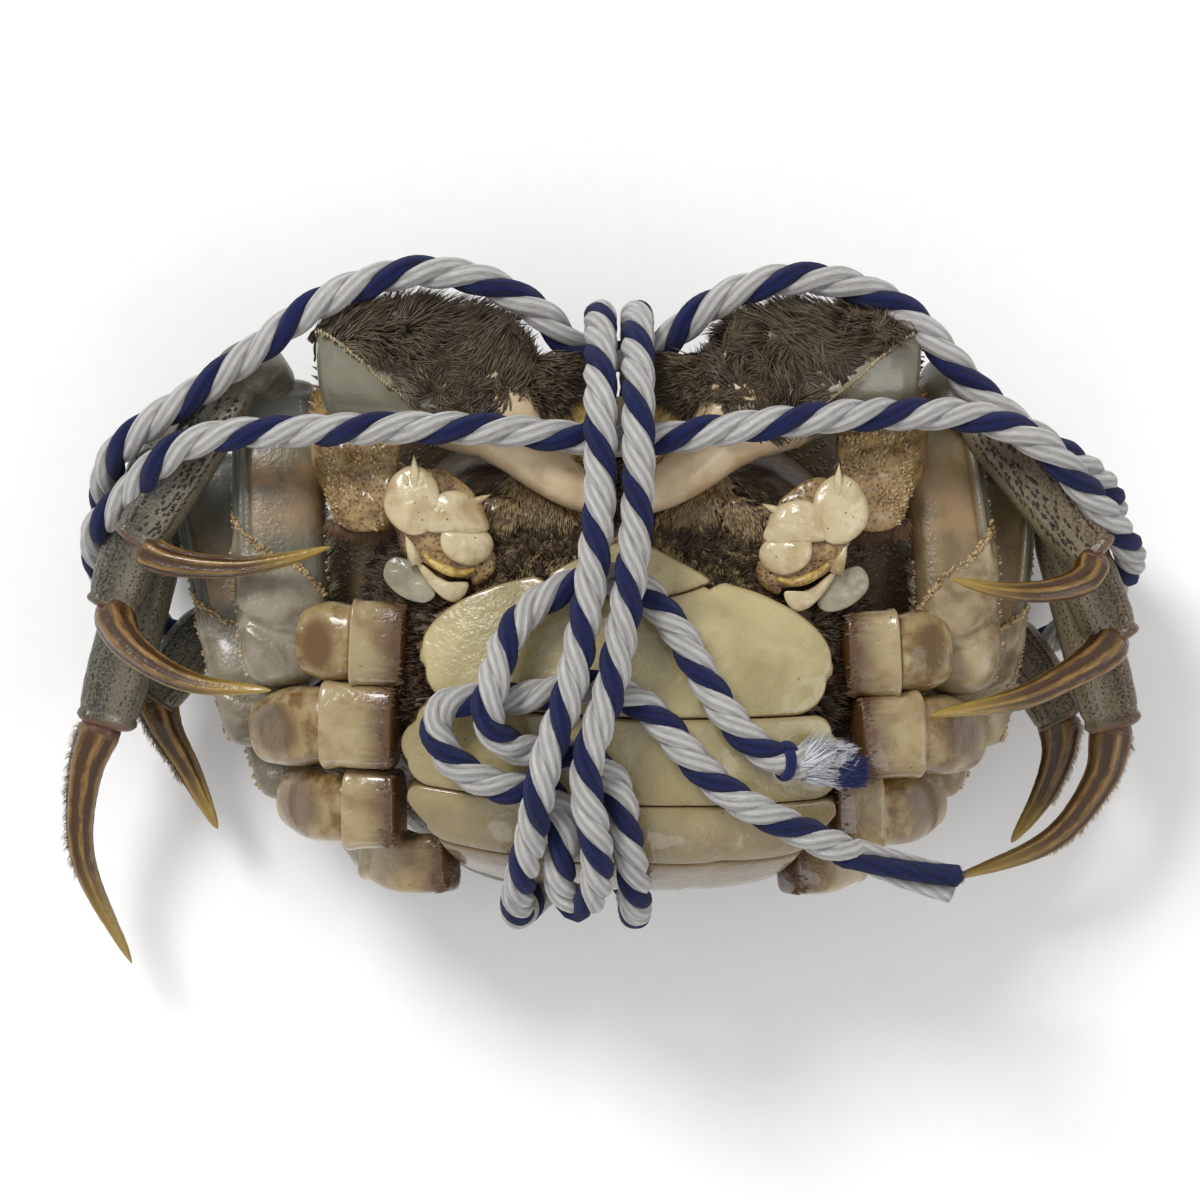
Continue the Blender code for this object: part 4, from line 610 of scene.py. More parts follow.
def skin_limb(name, limb, looks, start=0.0, end=1.0, domes=(1.0, 1.0), sides=40, rings=60, slots=None):
    """The limb's skin from start to end with rounded ends, domes millimetres deep."""
    reach = (end - start) * limb.length
    stations = []
    steps = 7
    for k in range(1, steps):
        turn = math.pi / 2 * k / steps
        stations.append((domes[0] * (1 - math.cos(turn)), math.sin(turn)))
    for k in range(rings + 1):
        stations.append((domes[0] + (reach - domes[0] - domes[1]) * k / rings, 1.0))
    for k in range(steps - 1, 0, -1):
        turn = math.pi / 2 * k / steps
        stations.append((reach - domes[1] * (1 - math.cos(turn)), math.sin(turn)))
    points, lengths, turns, flow = [], [], [], []
    for distance, scale in stations:
        share = start + distance / limb.length
        wide, thick = eased(limb.sections, share)
        for k in range(sides):
            angle = 2 * math.pi * k / sides
            points.append(limb.point(share, angle, scale=scale))
            lengths.append(share)
            turns.append(angle)
            flow.append((wide * math.cos(angle), thick * math.sin(angle), share * limb.length * FLOW_STRETCH))
    for share in (start, end):
        points.append(point_at(limb.dense, limb.along, share * limb.length))
        lengths.append(share)
        turns.append(0.0)
        flow.append((0.0, 0.0, share * limb.length * FLOW_STRETCH))
    faces = []
    count = len(stations)
    for ring in range(count - 1):
        for k in range(sides):
            near, beside = ring * sides + k, ring * sides + (k + 1) % sides
            faces.append([near, beside, beside + sides, near + sides])
    low, high, last = count * sides, count * sides + 1, (count - 1) * sides
    for k in range(sides):
        faces.append([low, (k + 1) % sides, k])
        faces.append([high, last + k, last + (k + 1) % sides])
    attributes = {
        "along": lengths, "round_sin": np.sin(turns), "round_cos": np.cos(turns), "flow": flow,
    }
    return outward(add_mesh(name, points, faces, looks, attributes, slots))


def tufts(name, seeds, look, per_tuft, width, spread, clump=0.6, sink=0.25, seed=1, curl=0.25,
          segments=WISP_STEPS, patch=UV_PATCH):
    """Hair as one mesh: each seed is a tuft of wisps that leave the skin and bend over together.

    A seed is (root, skin normal, lie, place on the skin's unwrap, length, lift). Lift is how far
    the tip stands off the skin, as a share of the length.
    """
    draw = np.random.default_rng(seed)
    count = len(seeds)
    roots = np.repeat(np.array([s[0] for s in seeds]), per_tuft, axis=0)
    normals = np.repeat(np.array([s[1] for s in seeds]), per_tuft, axis=0)
    lies = np.repeat(np.array([s[2] for s in seeds]), per_tuft, axis=0)
    lies = lies - normals * np.sum(lies * normals, axis=1, keepdims=True)
    lies /= np.maximum(np.linalg.norm(lies, axis=1, keepdims=True), 1e-6)
    places = np.repeat(np.array([s[3] for s in seeds]), per_tuft, axis=0)
    total = count * per_tuft
    lengths = np.repeat(np.array([s[4] for s in seeds]), per_tuft) * draw.uniform(0.72, 1.15, total)
    lifts = np.repeat(np.array([s[5] for s in seeds]), per_tuft) * draw.uniform(0.7, 1.3, total)
    across = np.cross(normals, lies)
    turn, far = draw.uniform(0, 2 * np.pi, total), np.sqrt(draw.uniform(0, 1, total)) * spread
    offset = across * (np.cos(turn) * far)[:, None] + lies * (np.sin(turn) * far)[:, None]
    wave = across * draw.normal(0, curl, total)[:, None]
    start = roots + offset - normals * sink
    tip = roots + offset * (1 - clump)
    tip = tip + (lies + wave) * (lengths * np.sqrt(np.maximum(1 - lifts**2, 0.05)))[:, None]
    tip = tip + normals * (lengths * lifts)[:, None]
    bend = start + (lies * 0.25 + normals * 0.8 * (lifts + 0.25)[:, None]) * (lengths * 0.5)[:, None]
    steps, widths = np.array(segments), np.array(WISP_WIDTHS)
    wide = width * draw.uniform(0.7, 1.2, total)
    rings = []
    for t, share in zip(steps, widths):
        middle = start * (1 - t) ** 2 + bend * 2 * t * (1 - t) + tip * t * t
        forward = (bend - start) * (1 - t) + (tip - bend) * t
        forward /= np.maximum(np.linalg.norm(forward, axis=1, keepdims=True), 1e-9)
        side = np.cross(forward, normals)
        side /= np.maximum(np.linalg.norm(side, axis=1, keepdims=True), 1e-6)
        over = np.cross(side, forward)
        half = (wide * share / 2)[:, None]
        rings.append([middle - side * half, middle + side * half, middle + over * half * 2 * WISP_FLATNESS])
    per = 3 * len(steps) + 1
    points = np.empty((total, per, 3))
    for r, ring in enumerate(rings):
        for c, corner in enumerate(ring):
            points[:, 3 * r + c] = corner
    points[:, -1] = tip
    pattern = [[0, 2, 1]]
    for r in range(len(steps) - 1):
        for c in range(3):
            a, b = 3 * r + c, 3 * r + (c + 1) % 3
            pattern.append([a, b, b + 3])
            pattern.append([a, b + 3, a + 3])
    top = 3 * (len(steps) - 1)
    pattern += [[top + c, top + (c + 1) % 3, per - 1] for c in range(3)]
    pattern = np.array(pattern)
    faces = (pattern[None] + (np.arange(total) * per)[:, None, None]).reshape(-1, 3)
    tone = np.repeat(draw.uniform(0, 1, count), per_tuft) * 0.6 + draw.uniform(0, 0.4, total)
    reach = np.concatenate([np.repeat(steps, 3), [1.0]])
    mesh = bpy.data.meshes.new(name)
    mesh.vertices.add(total * per)
    mesh.vertices.foreach_set("co", ((points.reshape(-1, 3) + np.array(PLACE)) * MM).ravel())
    mesh.loops.add(faces.size)
    mesh.polygons.add(len(faces))
    mesh.polygons.foreach_set("loop_start", np.arange(len(faces)) * 3)
    mesh.loops.foreach_set("vertex_index", faces.ravel().astype(np.int32))
    mesh.update(calc_edges=True)
    mesh.attributes.new("tone", "FLOAT", "POINT").data.foreach_set("value", np.repeat(tone, per))
    mesh.attributes.new("reach", "FLOAT", "POINT").data.foreach_set("value", np.tile(reach, total))
    beside = np.array([0.0, 1.0, 0.5] * len(steps) + [0.5])
    local = np.stack([beside, reach], axis=1) * patch - patch / 2
    corners = (places[:, None, :] + local[None]).reshape(-1, 2)[faces.ravel()]
    layer = mesh.uv_layers.new(name="OFBake")
    layer.data.foreach_set("uv", corners.astype(np.float32).ravel())
    mesh.polygons.foreach_set("use_smooth", [True] * len(faces))
    mesh.materials.append(look)
    mesh.validate()
    item = bpy.data.objects.new(name, mesh)
    bpy.context.scene.collection.objects.link(item)
    return item


def shield(name, outline, top, lean, height, look, seed=1, lump=0.08, under=1.7):
    """A low domed plate whose outline is given as seen from the belly side.

    Top is the height of its rim at the outline's middle; lean is the rise per millimetre towards
    the crab's side and its head.
    """
    loop = smooth_points([(x, y, 0) for x, y in outline], closed=True, steps=7)[:-1]
    middle = sum(loop, Vector()) / len(loop)
    points, rims = [], []
    scales = [(0.02 + 0.98 * math.sin(math.pi / 2 * k / 16), True) for k in range(17)]
    scales += [(1.0 - 0.03 * k, False) for k in range(1, 5)]
    for scale, above in scales:
        for p in loop:
            place = middle + (p - middle) * scale
            base = top + lean[0] * (abs(place.x) - abs(middle.x)) + lean[1] * (place.y - middle.y)
            dome = height * (1 - scale**2.6) ** 0.5
            bump = lump * (1.3 * grain((place.x, place.y, seed), 2.4) + grain((place.x, place.y, seed), 0.9))
            drop = 0.0 if above else under * (1 - scale) / 0.12
            place.z = base + (dome + bump * (1 - scale**4) if above else -drop)
            points.append(place)
            rims.append(scale if above else 1.0)
    count = len(loop)
    faces = []
    for r in range(len(scales) - 1):
        for k in range(count):
            near, beside = r * count + k, r * count + (k + 1) % count
            faces.append([near, beside, beside + count, near + count])
    faces.append(list(range(count)))
    faces.append(list(range(len(points) - count, len(points))))
    return outward(add_mesh(name, points, faces, look, {"rim": rims}))


def studs(name, seeds, look, sides=5):
    """Small blunt granules or pointed teeth: a seed is (root, way, height, radius, bluntness)."""
    points, faces = [], []
    for root, way, height, radius, blunt in seeds:
        way = Vector(way).normalized()
        side = way.orthogonal().normalized()
        other = way.cross(side)
        start = len(points)
        for level, scale in ((-0.6, 1.0), (0.35, 0.5 + 0.5 * blunt), (0.8, 0.1 + 0.55 * blunt)):
            for k in range(sides):
                angle = 2 * math.pi * k / sides
                points.append(Vector(root) + way * height * level
                              + (side * math.cos(angle) + other * math.sin(angle)) * radius * scale)
        points.append(Vector(root) + way * height)
        for ring in range(2):
            for k in range(sides):
                near, beside = start + ring * sides + k, start + ring * sides + (k + 1) % sides
                faces.append([near, beside, beside + sides, near + sides])
        top = start + 2 * sides
        faces += [[top + k, top + (k + 1) % sides, top + sides] for k in range(sides)]
        faces.append([start + k for k in range(sides - 1, -1, -1)])
    heights = np.tile([0.0] * sides + [0.4] * sides + [0.8] * sides + [1.0], len(seeds))
    return add_mesh(name, points, faces, look, {"reach": heights})


class Look:
    """A procedural material, built up node by node round one Principled shader."""

    def __init__(self, name, roughness=0.5, **sockets):
        self.material = bpy.data.materials.new(name)
        self.material.use_nodes = True
        self.nodes = self.material.node_tree.nodes
        self.links = self.material.node_tree.links
        self.shader = self.nodes["Principled BSDF"]
        self.shader.inputs["Roughness"].default_value = roughness
        for socket, value in sockets.items():
            self.shader.inputs[socket.replace("_", " ")].default_value = value
        self.place = self.nodes.new("ShaderNodeTexCoord").outputs["Object"]

    def feed(self, socket, value):
        if isinstance(value, (int, float)):
            socket.default_value = value
        elif isinstance(value, tuple):
            socket.default_value = (*value, 1) if len(value) == 3 and len(socket.default_value) == 4 else value
        else:
            self.links.new(value, socket)

    def attribute(self, name, vector=False):
        node = self.nodes.new("ShaderNodeAttribute")
        node.attribute_name = name
        return node.outputs["Vector" if vector else "Fac"]

    def noise(self, size, detail=4.0, distortion=0.0, place=None, roughness=0.55):
        """Noise whose features are about size millimetres across."""
        node = self.nodes.new("ShaderNodeTexNoise")
        self.links.new(place or self.place, node.inputs["Vector"])
        node.inputs["Scale"].default_value = 1 / (size * MM) if place is None else 1 / size
        node.inputs["Detail"].default_value = detail
        node.inputs["Roughness"].default_value = roughness
        node.inputs["Distortion"].default_value = distortion
        return node.outputs["Fac"]

    def cells(self, size, place=None):
        """How far each place is from the nearest of many scattered dots size millimetres apart."""
        node = self.nodes.new("ShaderNodeTexVoronoi")
        self.links.new(place or self.place, node.inputs["Vector"])
        node.inputs["Scale"].default_value = 1 / (size * MM) if place is None else 1 / size
        return node.outputs["Distance"]

    def math(self, operation, a, b=0.0, clamped=False):
        node = self.nodes.new("ShaderNodeMath")
        node.operation = operation
        node.use_clamp = clamped
        self.feed(node.inputs[0], a)
        self.feed(node.inputs[1], b)
        return node.outputs[0]

    def band(self, value, low, high):
        """0 at low and 1 at high, or the other way where low is the larger, smooth between."""
        node = self.nodes.new("ShaderNodeMapRange")
        node.interpolation_type = "SMOOTHSTEP"
        self.feed(node.inputs["Value"], value)
        turned = low > high
        node.inputs["From Min"].default_value = min(low, high)
        node.inputs["From Max"].default_value = max(low, high)
        node.inputs["To Min"].default_value = 1.0 if turned else 0.0
        node.inputs["To Max"].default_value = 0.0 if turned else 1.0
        return node.outputs["Result"]

    def mix(self, share, first, second):
        node = self.nodes.new("ShaderNodeMix")
        node.data_type = "RGBA"
        self.feed(node.inputs["Factor"], share)
        self.feed(node.inputs[6], first)
        self.feed(node.inputs[7], second)
        return node.outputs[2]

    def finish(self, colour, height=None, depth=0.1, roughness=None, strength=1.0):
        """Set the colour, a bump whose height is in 0 to 1 over depth millimetres, and roughness."""
        self.links.new(colour, self.shader.inputs["Base Color"])
        if height is not None:
            bump = self.nodes.new("ShaderNodeBump")
            bump.inputs["Distance"].default_value = depth * MM
            bump.inputs["Strength"].default_value = strength
            self.links.new(height, bump.inputs["Height"])
            self.links.new(bump.outputs["Normal"], self.shader.inputs["Normal"])
        if roughness is not None:
            self.links.new(roughness, self.shader.inputs["Roughness"])
        return self.material


def cotton(name, dark, pale, sheen):
    """Soft yarn: fine fibres along it and a slow change of tint, with painted shade between the yarns and where the
    strands press together.
    """
    look = Look(name, roughness=0.95, Sheen_Weight=sheen, Sheen_Roughness=0.6, Specular_IOR_Level=0.1)
    fibre = look.attribute("fibre", vector=True)
    streaks = look.noise(0.075, detail=6.0, place=fibre)
    tint = look.noise(7.0, detail=2.0)
    # painted shade: the cotton is darker in the hollows between the yarns
    yarn_gap_shade = look.attribute("yarn_gap_shade")
    share = look.math("ADD", look.math("MULTIPLY", streaks, 0.75), look.math("MULTIPLY", tint, 0.35))
    share = look.math("SUBTRACT", share, look.math("MULTIPLY", yarn_gap_shade, 0.45), clamped=True)
    colour = look.mix(share, dark, pale)
    # painted shade: darker on the side of each strand that faces the rope's middle, where the strands press together
    between = look.band(look.attribute("groove"), 0.22, 0.6)
    colour = look.mix(look.math("MULTIPLY", between, 0.65), colour, tuple(value * 0.35 for value in dark))
    return look.finish(colour, height=streaks, depth=0.35)


def olive_shell(name, dark=(0.014, 0.013, 0.008), pale=(0.125, 0.117, 0.08), rim=True):
    """Stippled olive shell: dark and grainy outside, a paler flat inside, red-brown at the joint."""
    look = Look(name, roughness=0.42, Coat_Weight=0.25, Coat_Roughness=0.25)
    flow = look.attribute("flow", vector=True)
    mottle = look.noise(2.4, detail=5.0)
    stipple = look.cells(0.3)
    fine = look.noise(0.22, detail=2.0)
    share = look.math("ADD", look.math("MULTIPLY", mottle, 0.7), look.math("MULTIPLY", stipple, 1.5))
    share = look.math("SUBTRACT", share, 0.6, clamped=True)
    colour = look.mix(share, dark, pale)
    inner = look.attribute("inner")
    flat = look.math("MULTIPLY", look.band(inner, -0.15, 0.1),
                     look.band(look.attribute("round_sin"), 0.0, 0.3))
    streak = look.noise(0.7, detail=3.0, place=flow)
    flat = look.math("MULTIPLY", flat, look.math("ADD", 0.2, look.math("MULTIPLY", streak, 0.9)),
                     clamped=True)
    colour = look.mix(look.math("MULTIPLY", flat, 0.8), colour, (0.17, 0.145, 0.09))
    under = look.band(look.attribute("round_sin"), 0.1, -0.7)
    colour = look.mix(look.math("MULTIPLY", under, 0.5), colour, (0.2, 0.165, 0.1))
    if rim:
        wrist = look.math("MULTIPLY", look.band(look.attribute("along"), 0.36, 0.3), 0.65)
        colour = look.mix(wrist, colour, (0.12, 0.115, 0.08))
        joint = look.band(look.attribute("along"), 0.96, 0.99)
        colour = look.mix(joint, colour, (0.11, 0.042, 0.016))
    height = look.math("ADD", look.math("MULTIPLY", look.band(stipple, 0.0, 0.35), 0.7),
                       look.math("MULTIPLY", fine, 0.3))
    rough = look.math("ADD", 0.3, look.math("MULTIPLY", mottle, 0.25))
    return look.finish(colour, height=height, depth=0.08, roughness=rough)


def merus_shell(name, dark=(0.045, 0.042, 0.026), pale=(0.215, 0.2, 0.14), top_end=(0.19, 0.2, 0.185),
                root_dark=(0.15, 0.115, 0.065), root_pale=(0.3, 0.265, 0.19)):
    """Smooth shell of the broad joints: an orange-brown patch in their middle and a cream, lumpy root."""
    look = Look(name, roughness=0.3, Coat_Weight=0.35, Coat_Roughness=0.12)
    along, inner = look.attribute("along"), look.attribute("inner")
    flow = look.attribute("flow", vector=True)
    streak = look.noise(1.6, detail=4.0, distortion=0.3, place=flow)
    cloud = look.noise(4.0, detail=3.0, distortion=0.4)
    fine = look.noise(0.5, detail=3.0)
    share = look.math("ADD", look.math("MULTIPLY", streak, 0.9), look.math("MULTIPLY", cloud, 0.5))
    share = look.math("SUBTRACT", share, 0.32, clamped=True)
    colour = look.mix(share, dark, pale)
    top = look.math("MULTIPLY", look.band(along, 0.72, 0.9), 0.6)
    colour = look.mix(top, colour, top_end)
    warm = look.math("MULTIPLY", look.band(along, 0.42, 0.55), look.band(along, 0.8, 0.66))
    warm = look.math("MULTIPLY", warm, look.band(inner, -0.6, -0.2))
    warm = look.math("MULTIPLY", warm, look.band(cloud, 0.25, 0.6))
    colour = look.mix(look.math("MULTIPLY", warm, 0.8), colour, (0.3, 0.185, 0.085))
    outer = look.math("MULTIPLY", look.band(inner, -0.45, -0.7), 0.55)
    colour = look.mix(outer, colour, (0.13, 0.145, 0.13))
    edge = look.math("ADD", along, look.math("MULTIPLY", inner, RIM_SLANT))
    root = look.band(edge, RIM_OF_GRAINS + 0.015, RIM_OF_GRAINS - 0.03)
    veins = look.noise(3.0, detail=5.0, distortion=0.4)
    pale_root = look.mix(look.band(veins, 0.3, 0.7), root_dark, root_pale)
    colour = look.mix(look.math("MULTIPLY", root, 0.9), colour, pale_root)
    height = look.math("ADD", look.math("MULTIPLY", streak, 0.5), look.math("MULTIPLY", fine, 0.5))
    return look.finish(colour, height=height, depth=0.16)


def cream_shell(name, dark=(0.23, 0.15, 0.062), pale=(0.37, 0.285, 0.145), spots=True, size=4.5, coat=0.6):
    """Wet cream shell: cloudy, with fine brown spots, and long brown stains from its inner edge that also paint the
    shade where it meets the trunk.
    """
    look = Look(name, roughness=0.26, Coat_Weight=coat, Coat_Roughness=0.07)
    cloud = look.noise(size, detail=3.0, distortion=0.5)
    wet = look.noise(1.4, detail=3.0, distortion=0.3)
    share = look.band(cloud, 0.25, 0.6)
    colour = look.mix(share, dark, pale)
    teeth = look.noise(0.7, detail=2.0, place=look.attribute("flow", vector=True))
    # brown stains from the inner edge, partly painted shade where the joint meets the trunk
    reach = look.math("ADD", look.attribute("stain_and_shade"), look.math("MULTIPLY",
                                                                look.math("SUBTRACT", teeth, 0.5), 0.4))
    colour = look.mix(look.band(reach, 0.12, 0.9), colour, (0.085, 0.036, 0.011))
    if spots:
        dots = look.band(look.cells(1.15), 0.13, 0.07)
        chosen = look.band(look.noise(2.0), 0.48, 0.55)
        colour = look.mix(look.math("MULTIPLY", dots, chosen), colour, (0.17, 0.08, 0.03))
    rough = look.math("ADD", 0.16, look.math("MULTIPLY", wet, 0.25))
    return look.finish(colour, height=wet, depth=0.25, roughness=rough)


def ischium_shell(name):
    """Glassy amber joint: clear brown in its dish, cream round it."""
    look = Look(name, roughness=0.28, Coat_Weight=0.4, Coat_Roughness=0.06)
    cloud = look.noise(2.8, detail=4.0, distortion=0.2)
    wet = look.noise(1.6, detail=2.0)
    colour = look.mix(look.band(cloud, 0.36, 0.6), (0.15, 0.08, 0.016), (0.31, 0.225, 0.1))
    dish = look.math("ADD", look.attribute("dish"), look.math("MULTIPLY",
                                                              look.math("SUBTRACT", cloud, 0.5), 0.5))
    colour = look.mix(look.band(dish, 0.25, 0.75), colour, (0.115, 0.06, 0.013))
    return look.finish(colour, height=wet, depth=0.25)


def abdomen_shell(name, dark=(0.29, 0.235, 0.095), pale=(0.46, 0.385, 0.185), shade_from=0.3):
    """Wet olive-cream plates, darker at their rims, warmer and darker towards the rear, where painted shade stands
    for the plates curving down away from the light.
    """
    look = Look(name, roughness=0.24, Coat_Weight=0.75, Coat_Roughness=0.06)
    cloud = look.noise(8.0, detail=4.0, distortion=0.6)
    fine = look.noise(0.35, detail=3.0)
    wet = look.noise(1.1, detail=3.0, distortion=0.4)
    colour = look.mix(look.band(cloud, 0.3, 0.68), dark, pale)
    # painted shade: darker and browner towards the rear, where the plates curve down away from the light
    hind_shade = look.band(look.attribute("along"), shade_from, shade_from + 0.5)
    colour = look.mix(look.math("MULTIPLY", hind_shade, 0.9), colour, (0.14, 0.085, 0.028))
    rim = look.band(look.attribute("rim"), 0.55, 1.0)
    colour = look.mix(look.math("MULTIPLY", rim, 0.6), colour, (0.2, 0.12, 0.045))
    dots = look.band(look.cells(2.6), 0.08, 0.03)
    colour = look.mix(dots, colour, (0.16, 0.1, 0.03))
    colour = look.mix(look.math("MULTIPLY", fine, 0.15), colour, (0.55, 0.48, 0.28))
    lumps = look.math("ADD", look.math("MULTIPLY", wet, 0.7), look.math("MULTIPLY", fine, 0.12))
    rough = look.math("ADD", 0.12, look.math("MULTIPLY", look.noise(3.0), 0.3))
    return look.finish(colour, height=lumps, depth=0.28, roughness=rough)


def dactyl_horn(name):
    """Ribbed horn: gold streaks along the ribs, olive-brown between them, yellow at the tip."""
    look = Look(name, roughness=0.3, Coat_Weight=0.25, Coat_Roughness=0.09)
    along = look.attribute("along")
    groove = look.attribute("groove")
    streak = look.noise(0.45, detail=4.0, place=look.attribute("flow", vector=True))
    grit = look.cells(0.4)
    share = look.math("ADD", look.math("MULTIPLY", groove, 0.6), look.math("MULTIPLY", streak, 0.9))
    colour = look.mix(look.band(share, 0.25, 0.85), (0.27, 0.15, 0.03), (0.05, 0.02, 0.004))
    pale = look.math("MULTIPLY", look.band(grit, 0.16, 0.05), look.band(along, 0.6, 0.3))
    colour = look.mix(look.math("MULTIPLY", pale, 0.5), colour, (0.36, 0.27, 0.15))
    colour = look.mix(look.math("MULTIPLY", look.band(along, 0.5, 0.95), 0.75), colour, (0.36, 0.24, 0.04))
    colour = look.mix(look.band(along, 0.05, 0.0), colour, (0.2, 0.075, 0.025))
    height = look.math("ADD", look.math("MULTIPLY", streak, 0.7), look.math("MULTIPLY", grit, 0.3))
    return look.finish(colour, height=height, depth=0.08)


def claw_shell(name):
    """The hand: smooth grey-green near its base, turning cream and glossy towards the finger."""
    look = Look(name, roughness=0.28, Coat_Weight=0.55, Coat_Roughness=0.09)
    along = look.attribute("along")
    cloud = look.noise(4.0, detail=4.0)
    fine = look.noise(0.4, detail=3.0)
    grey = look.mix(cloud, (0.13, 0.125, 0.085), (0.25, 0.235, 0.165))
    cream = look.mix(look.band(cloud, 0.3, 0.65), (0.5, 0.36, 0.2), (0.72, 0.56, 0.35))
    colour = look.mix(look.band(along, 0.36, 0.46), grey, cream)
    under = look.band(look.attribute("round_sin"), -0.1, -0.7)
    colour = look.mix(look.math("MULTIPLY", under, 0.8), colour, (0.3, 0.18, 0.06))
    colour = look.mix(look.band(along, 0.95, 1.0), colour, (0.6, 0.42, 0.16))
    height = look.math("ADD", look.math("MULTIPLY", fine, 0.6), look.math("MULTIPLY", cloud, 0.4))
    return look.finish(colour, height=height, depth=0.1)


def amber_shell(name, dark=(0.12, 0.058, 0.015), pale=(0.36, 0.235, 0.09)):
    """Rough yellow-brown shell of the claw's arm and of the mouth."""
    look = Look(name, roughness=0.34, Coat_Weight=0.5, Coat_Roughness=0.12)
    cloud = look.noise(3.0, detail=5.0, distortion=0.6)
    grit = look.cells(0.45)
    share = look.math("ADD", cloud, look.math("MULTIPLY", grit, 0.25))
    colour = look.mix(look.band(share, 0.42, 0.82), dark, pale)
    height = look.math("ADD", look.band(grit, 0.0, 0.4), cloud)
    return look.finish(colour, height=height, depth=0.14)


def hair(name, dark, pale, roughness=0.45, coat=0.3):
    """Hair: dark at the root, paler to the tip, each tuft of its own tone."""
    look = Look(name, roughness=roughness, Coat_Weight=coat, Coat_Roughness=0.3)
    tone = look.attribute("tone")
    reach = look.attribute("reach")
    share = look.math("ADD", look.math("MULTIPLY", tone, 0.55), look.math("MULTIPLY", reach, 0.45))
    patch = look.noise(5.0, detail=2.0)
    share = look.math("MULTIPLY", share, look.math("ADD", 0.55, look.math("MULTIPLY", patch, 0.9)))
    return look.finish(look.mix(share, dark, pale))


def back_shell(name):
    """Olive-brown carapace, granular, darker in its grooves."""
    look = Look(name, roughness=0.4, Coat_Weight=0.3, Coat_Roughness=0.2)
    cloud = look.noise(5.5, detail=5.0, distortion=0.5)
    grit = look.cells(0.7)
    share = look.math("ADD", cloud, look.math("MULTIPLY", grit, 0.3))
    colour = look.mix(look.band(share, 0.4, 0.9), (0.032, 0.034, 0.018), (0.15, 0.135, 0.065))
    groove = look.attribute("groove")
    colour = look.mix(look.math("MULTIPLY", groove, 0.6), colour, (0.03, 0.024, 0.014))
    side = look.band(look.attribute("wall"), 0.1, 0.7)
    colour = look.mix(side, colour, (0.12, 0.08, 0.035))
    height = look.math("ADD", look.band(grit, 0.45, 0.0), look.math("MULTIPLY", cloud, 0.5))
    return look.finish(colour, height=height, depth=0.22)


def thorax_shell(name):
    """Brown, matted floor between the legs, a little paler on its sides."""
    look = Look(name, roughness=0.6, Coat_Weight=0.15, Coat_Roughness=0.2)
    cloud = look.noise(3.4, detail=4.0, distortion=0.4)
    wet = look.noise(0.8, detail=3.0)
    colour = look.mix(look.band(cloud, 0.36, 0.66), (0.03, 0.015, 0.006), (0.15, 0.088, 0.036))
    side = look.band(look.attribute("wall"), 0.55, 0.2)
    colour = look.mix(side, colour, (0.075, 0.042, 0.016))
    return look.finish(colour, height=wet, depth=0.3)


def eye_black(name):
    look = Look(name, roughness=0.12, Coat_Weight=0.8, Coat_Roughness=0.04)
    cells = look.cells(0.16)
    stalk = look.band(look.attribute("along"), 0.5, 0.35)
    colour = look.mix(look.band(cells, 0.1, 0.5), (0.02, 0.017, 0.014), (0.004, 0.004, 0.004))
    colour = look.mix(stalk, colour, (0.2, 0.17, 0.09))
    return look.finish(colour, height=cells, depth=0.04)


def membrane_skin(name):
    """Soft red-brown skin that shows in the joints."""
    look = Look(name, roughness=0.4, Coat_Weight=0.3)
    fold = look.noise(0.9, detail=4.0, distortion=0.8)
    colour = look.mix(fold, (0.04, 0.014, 0.006), (0.14, 0.05, 0.02))
    return look.finish(colour, height=fold, depth=0.2)


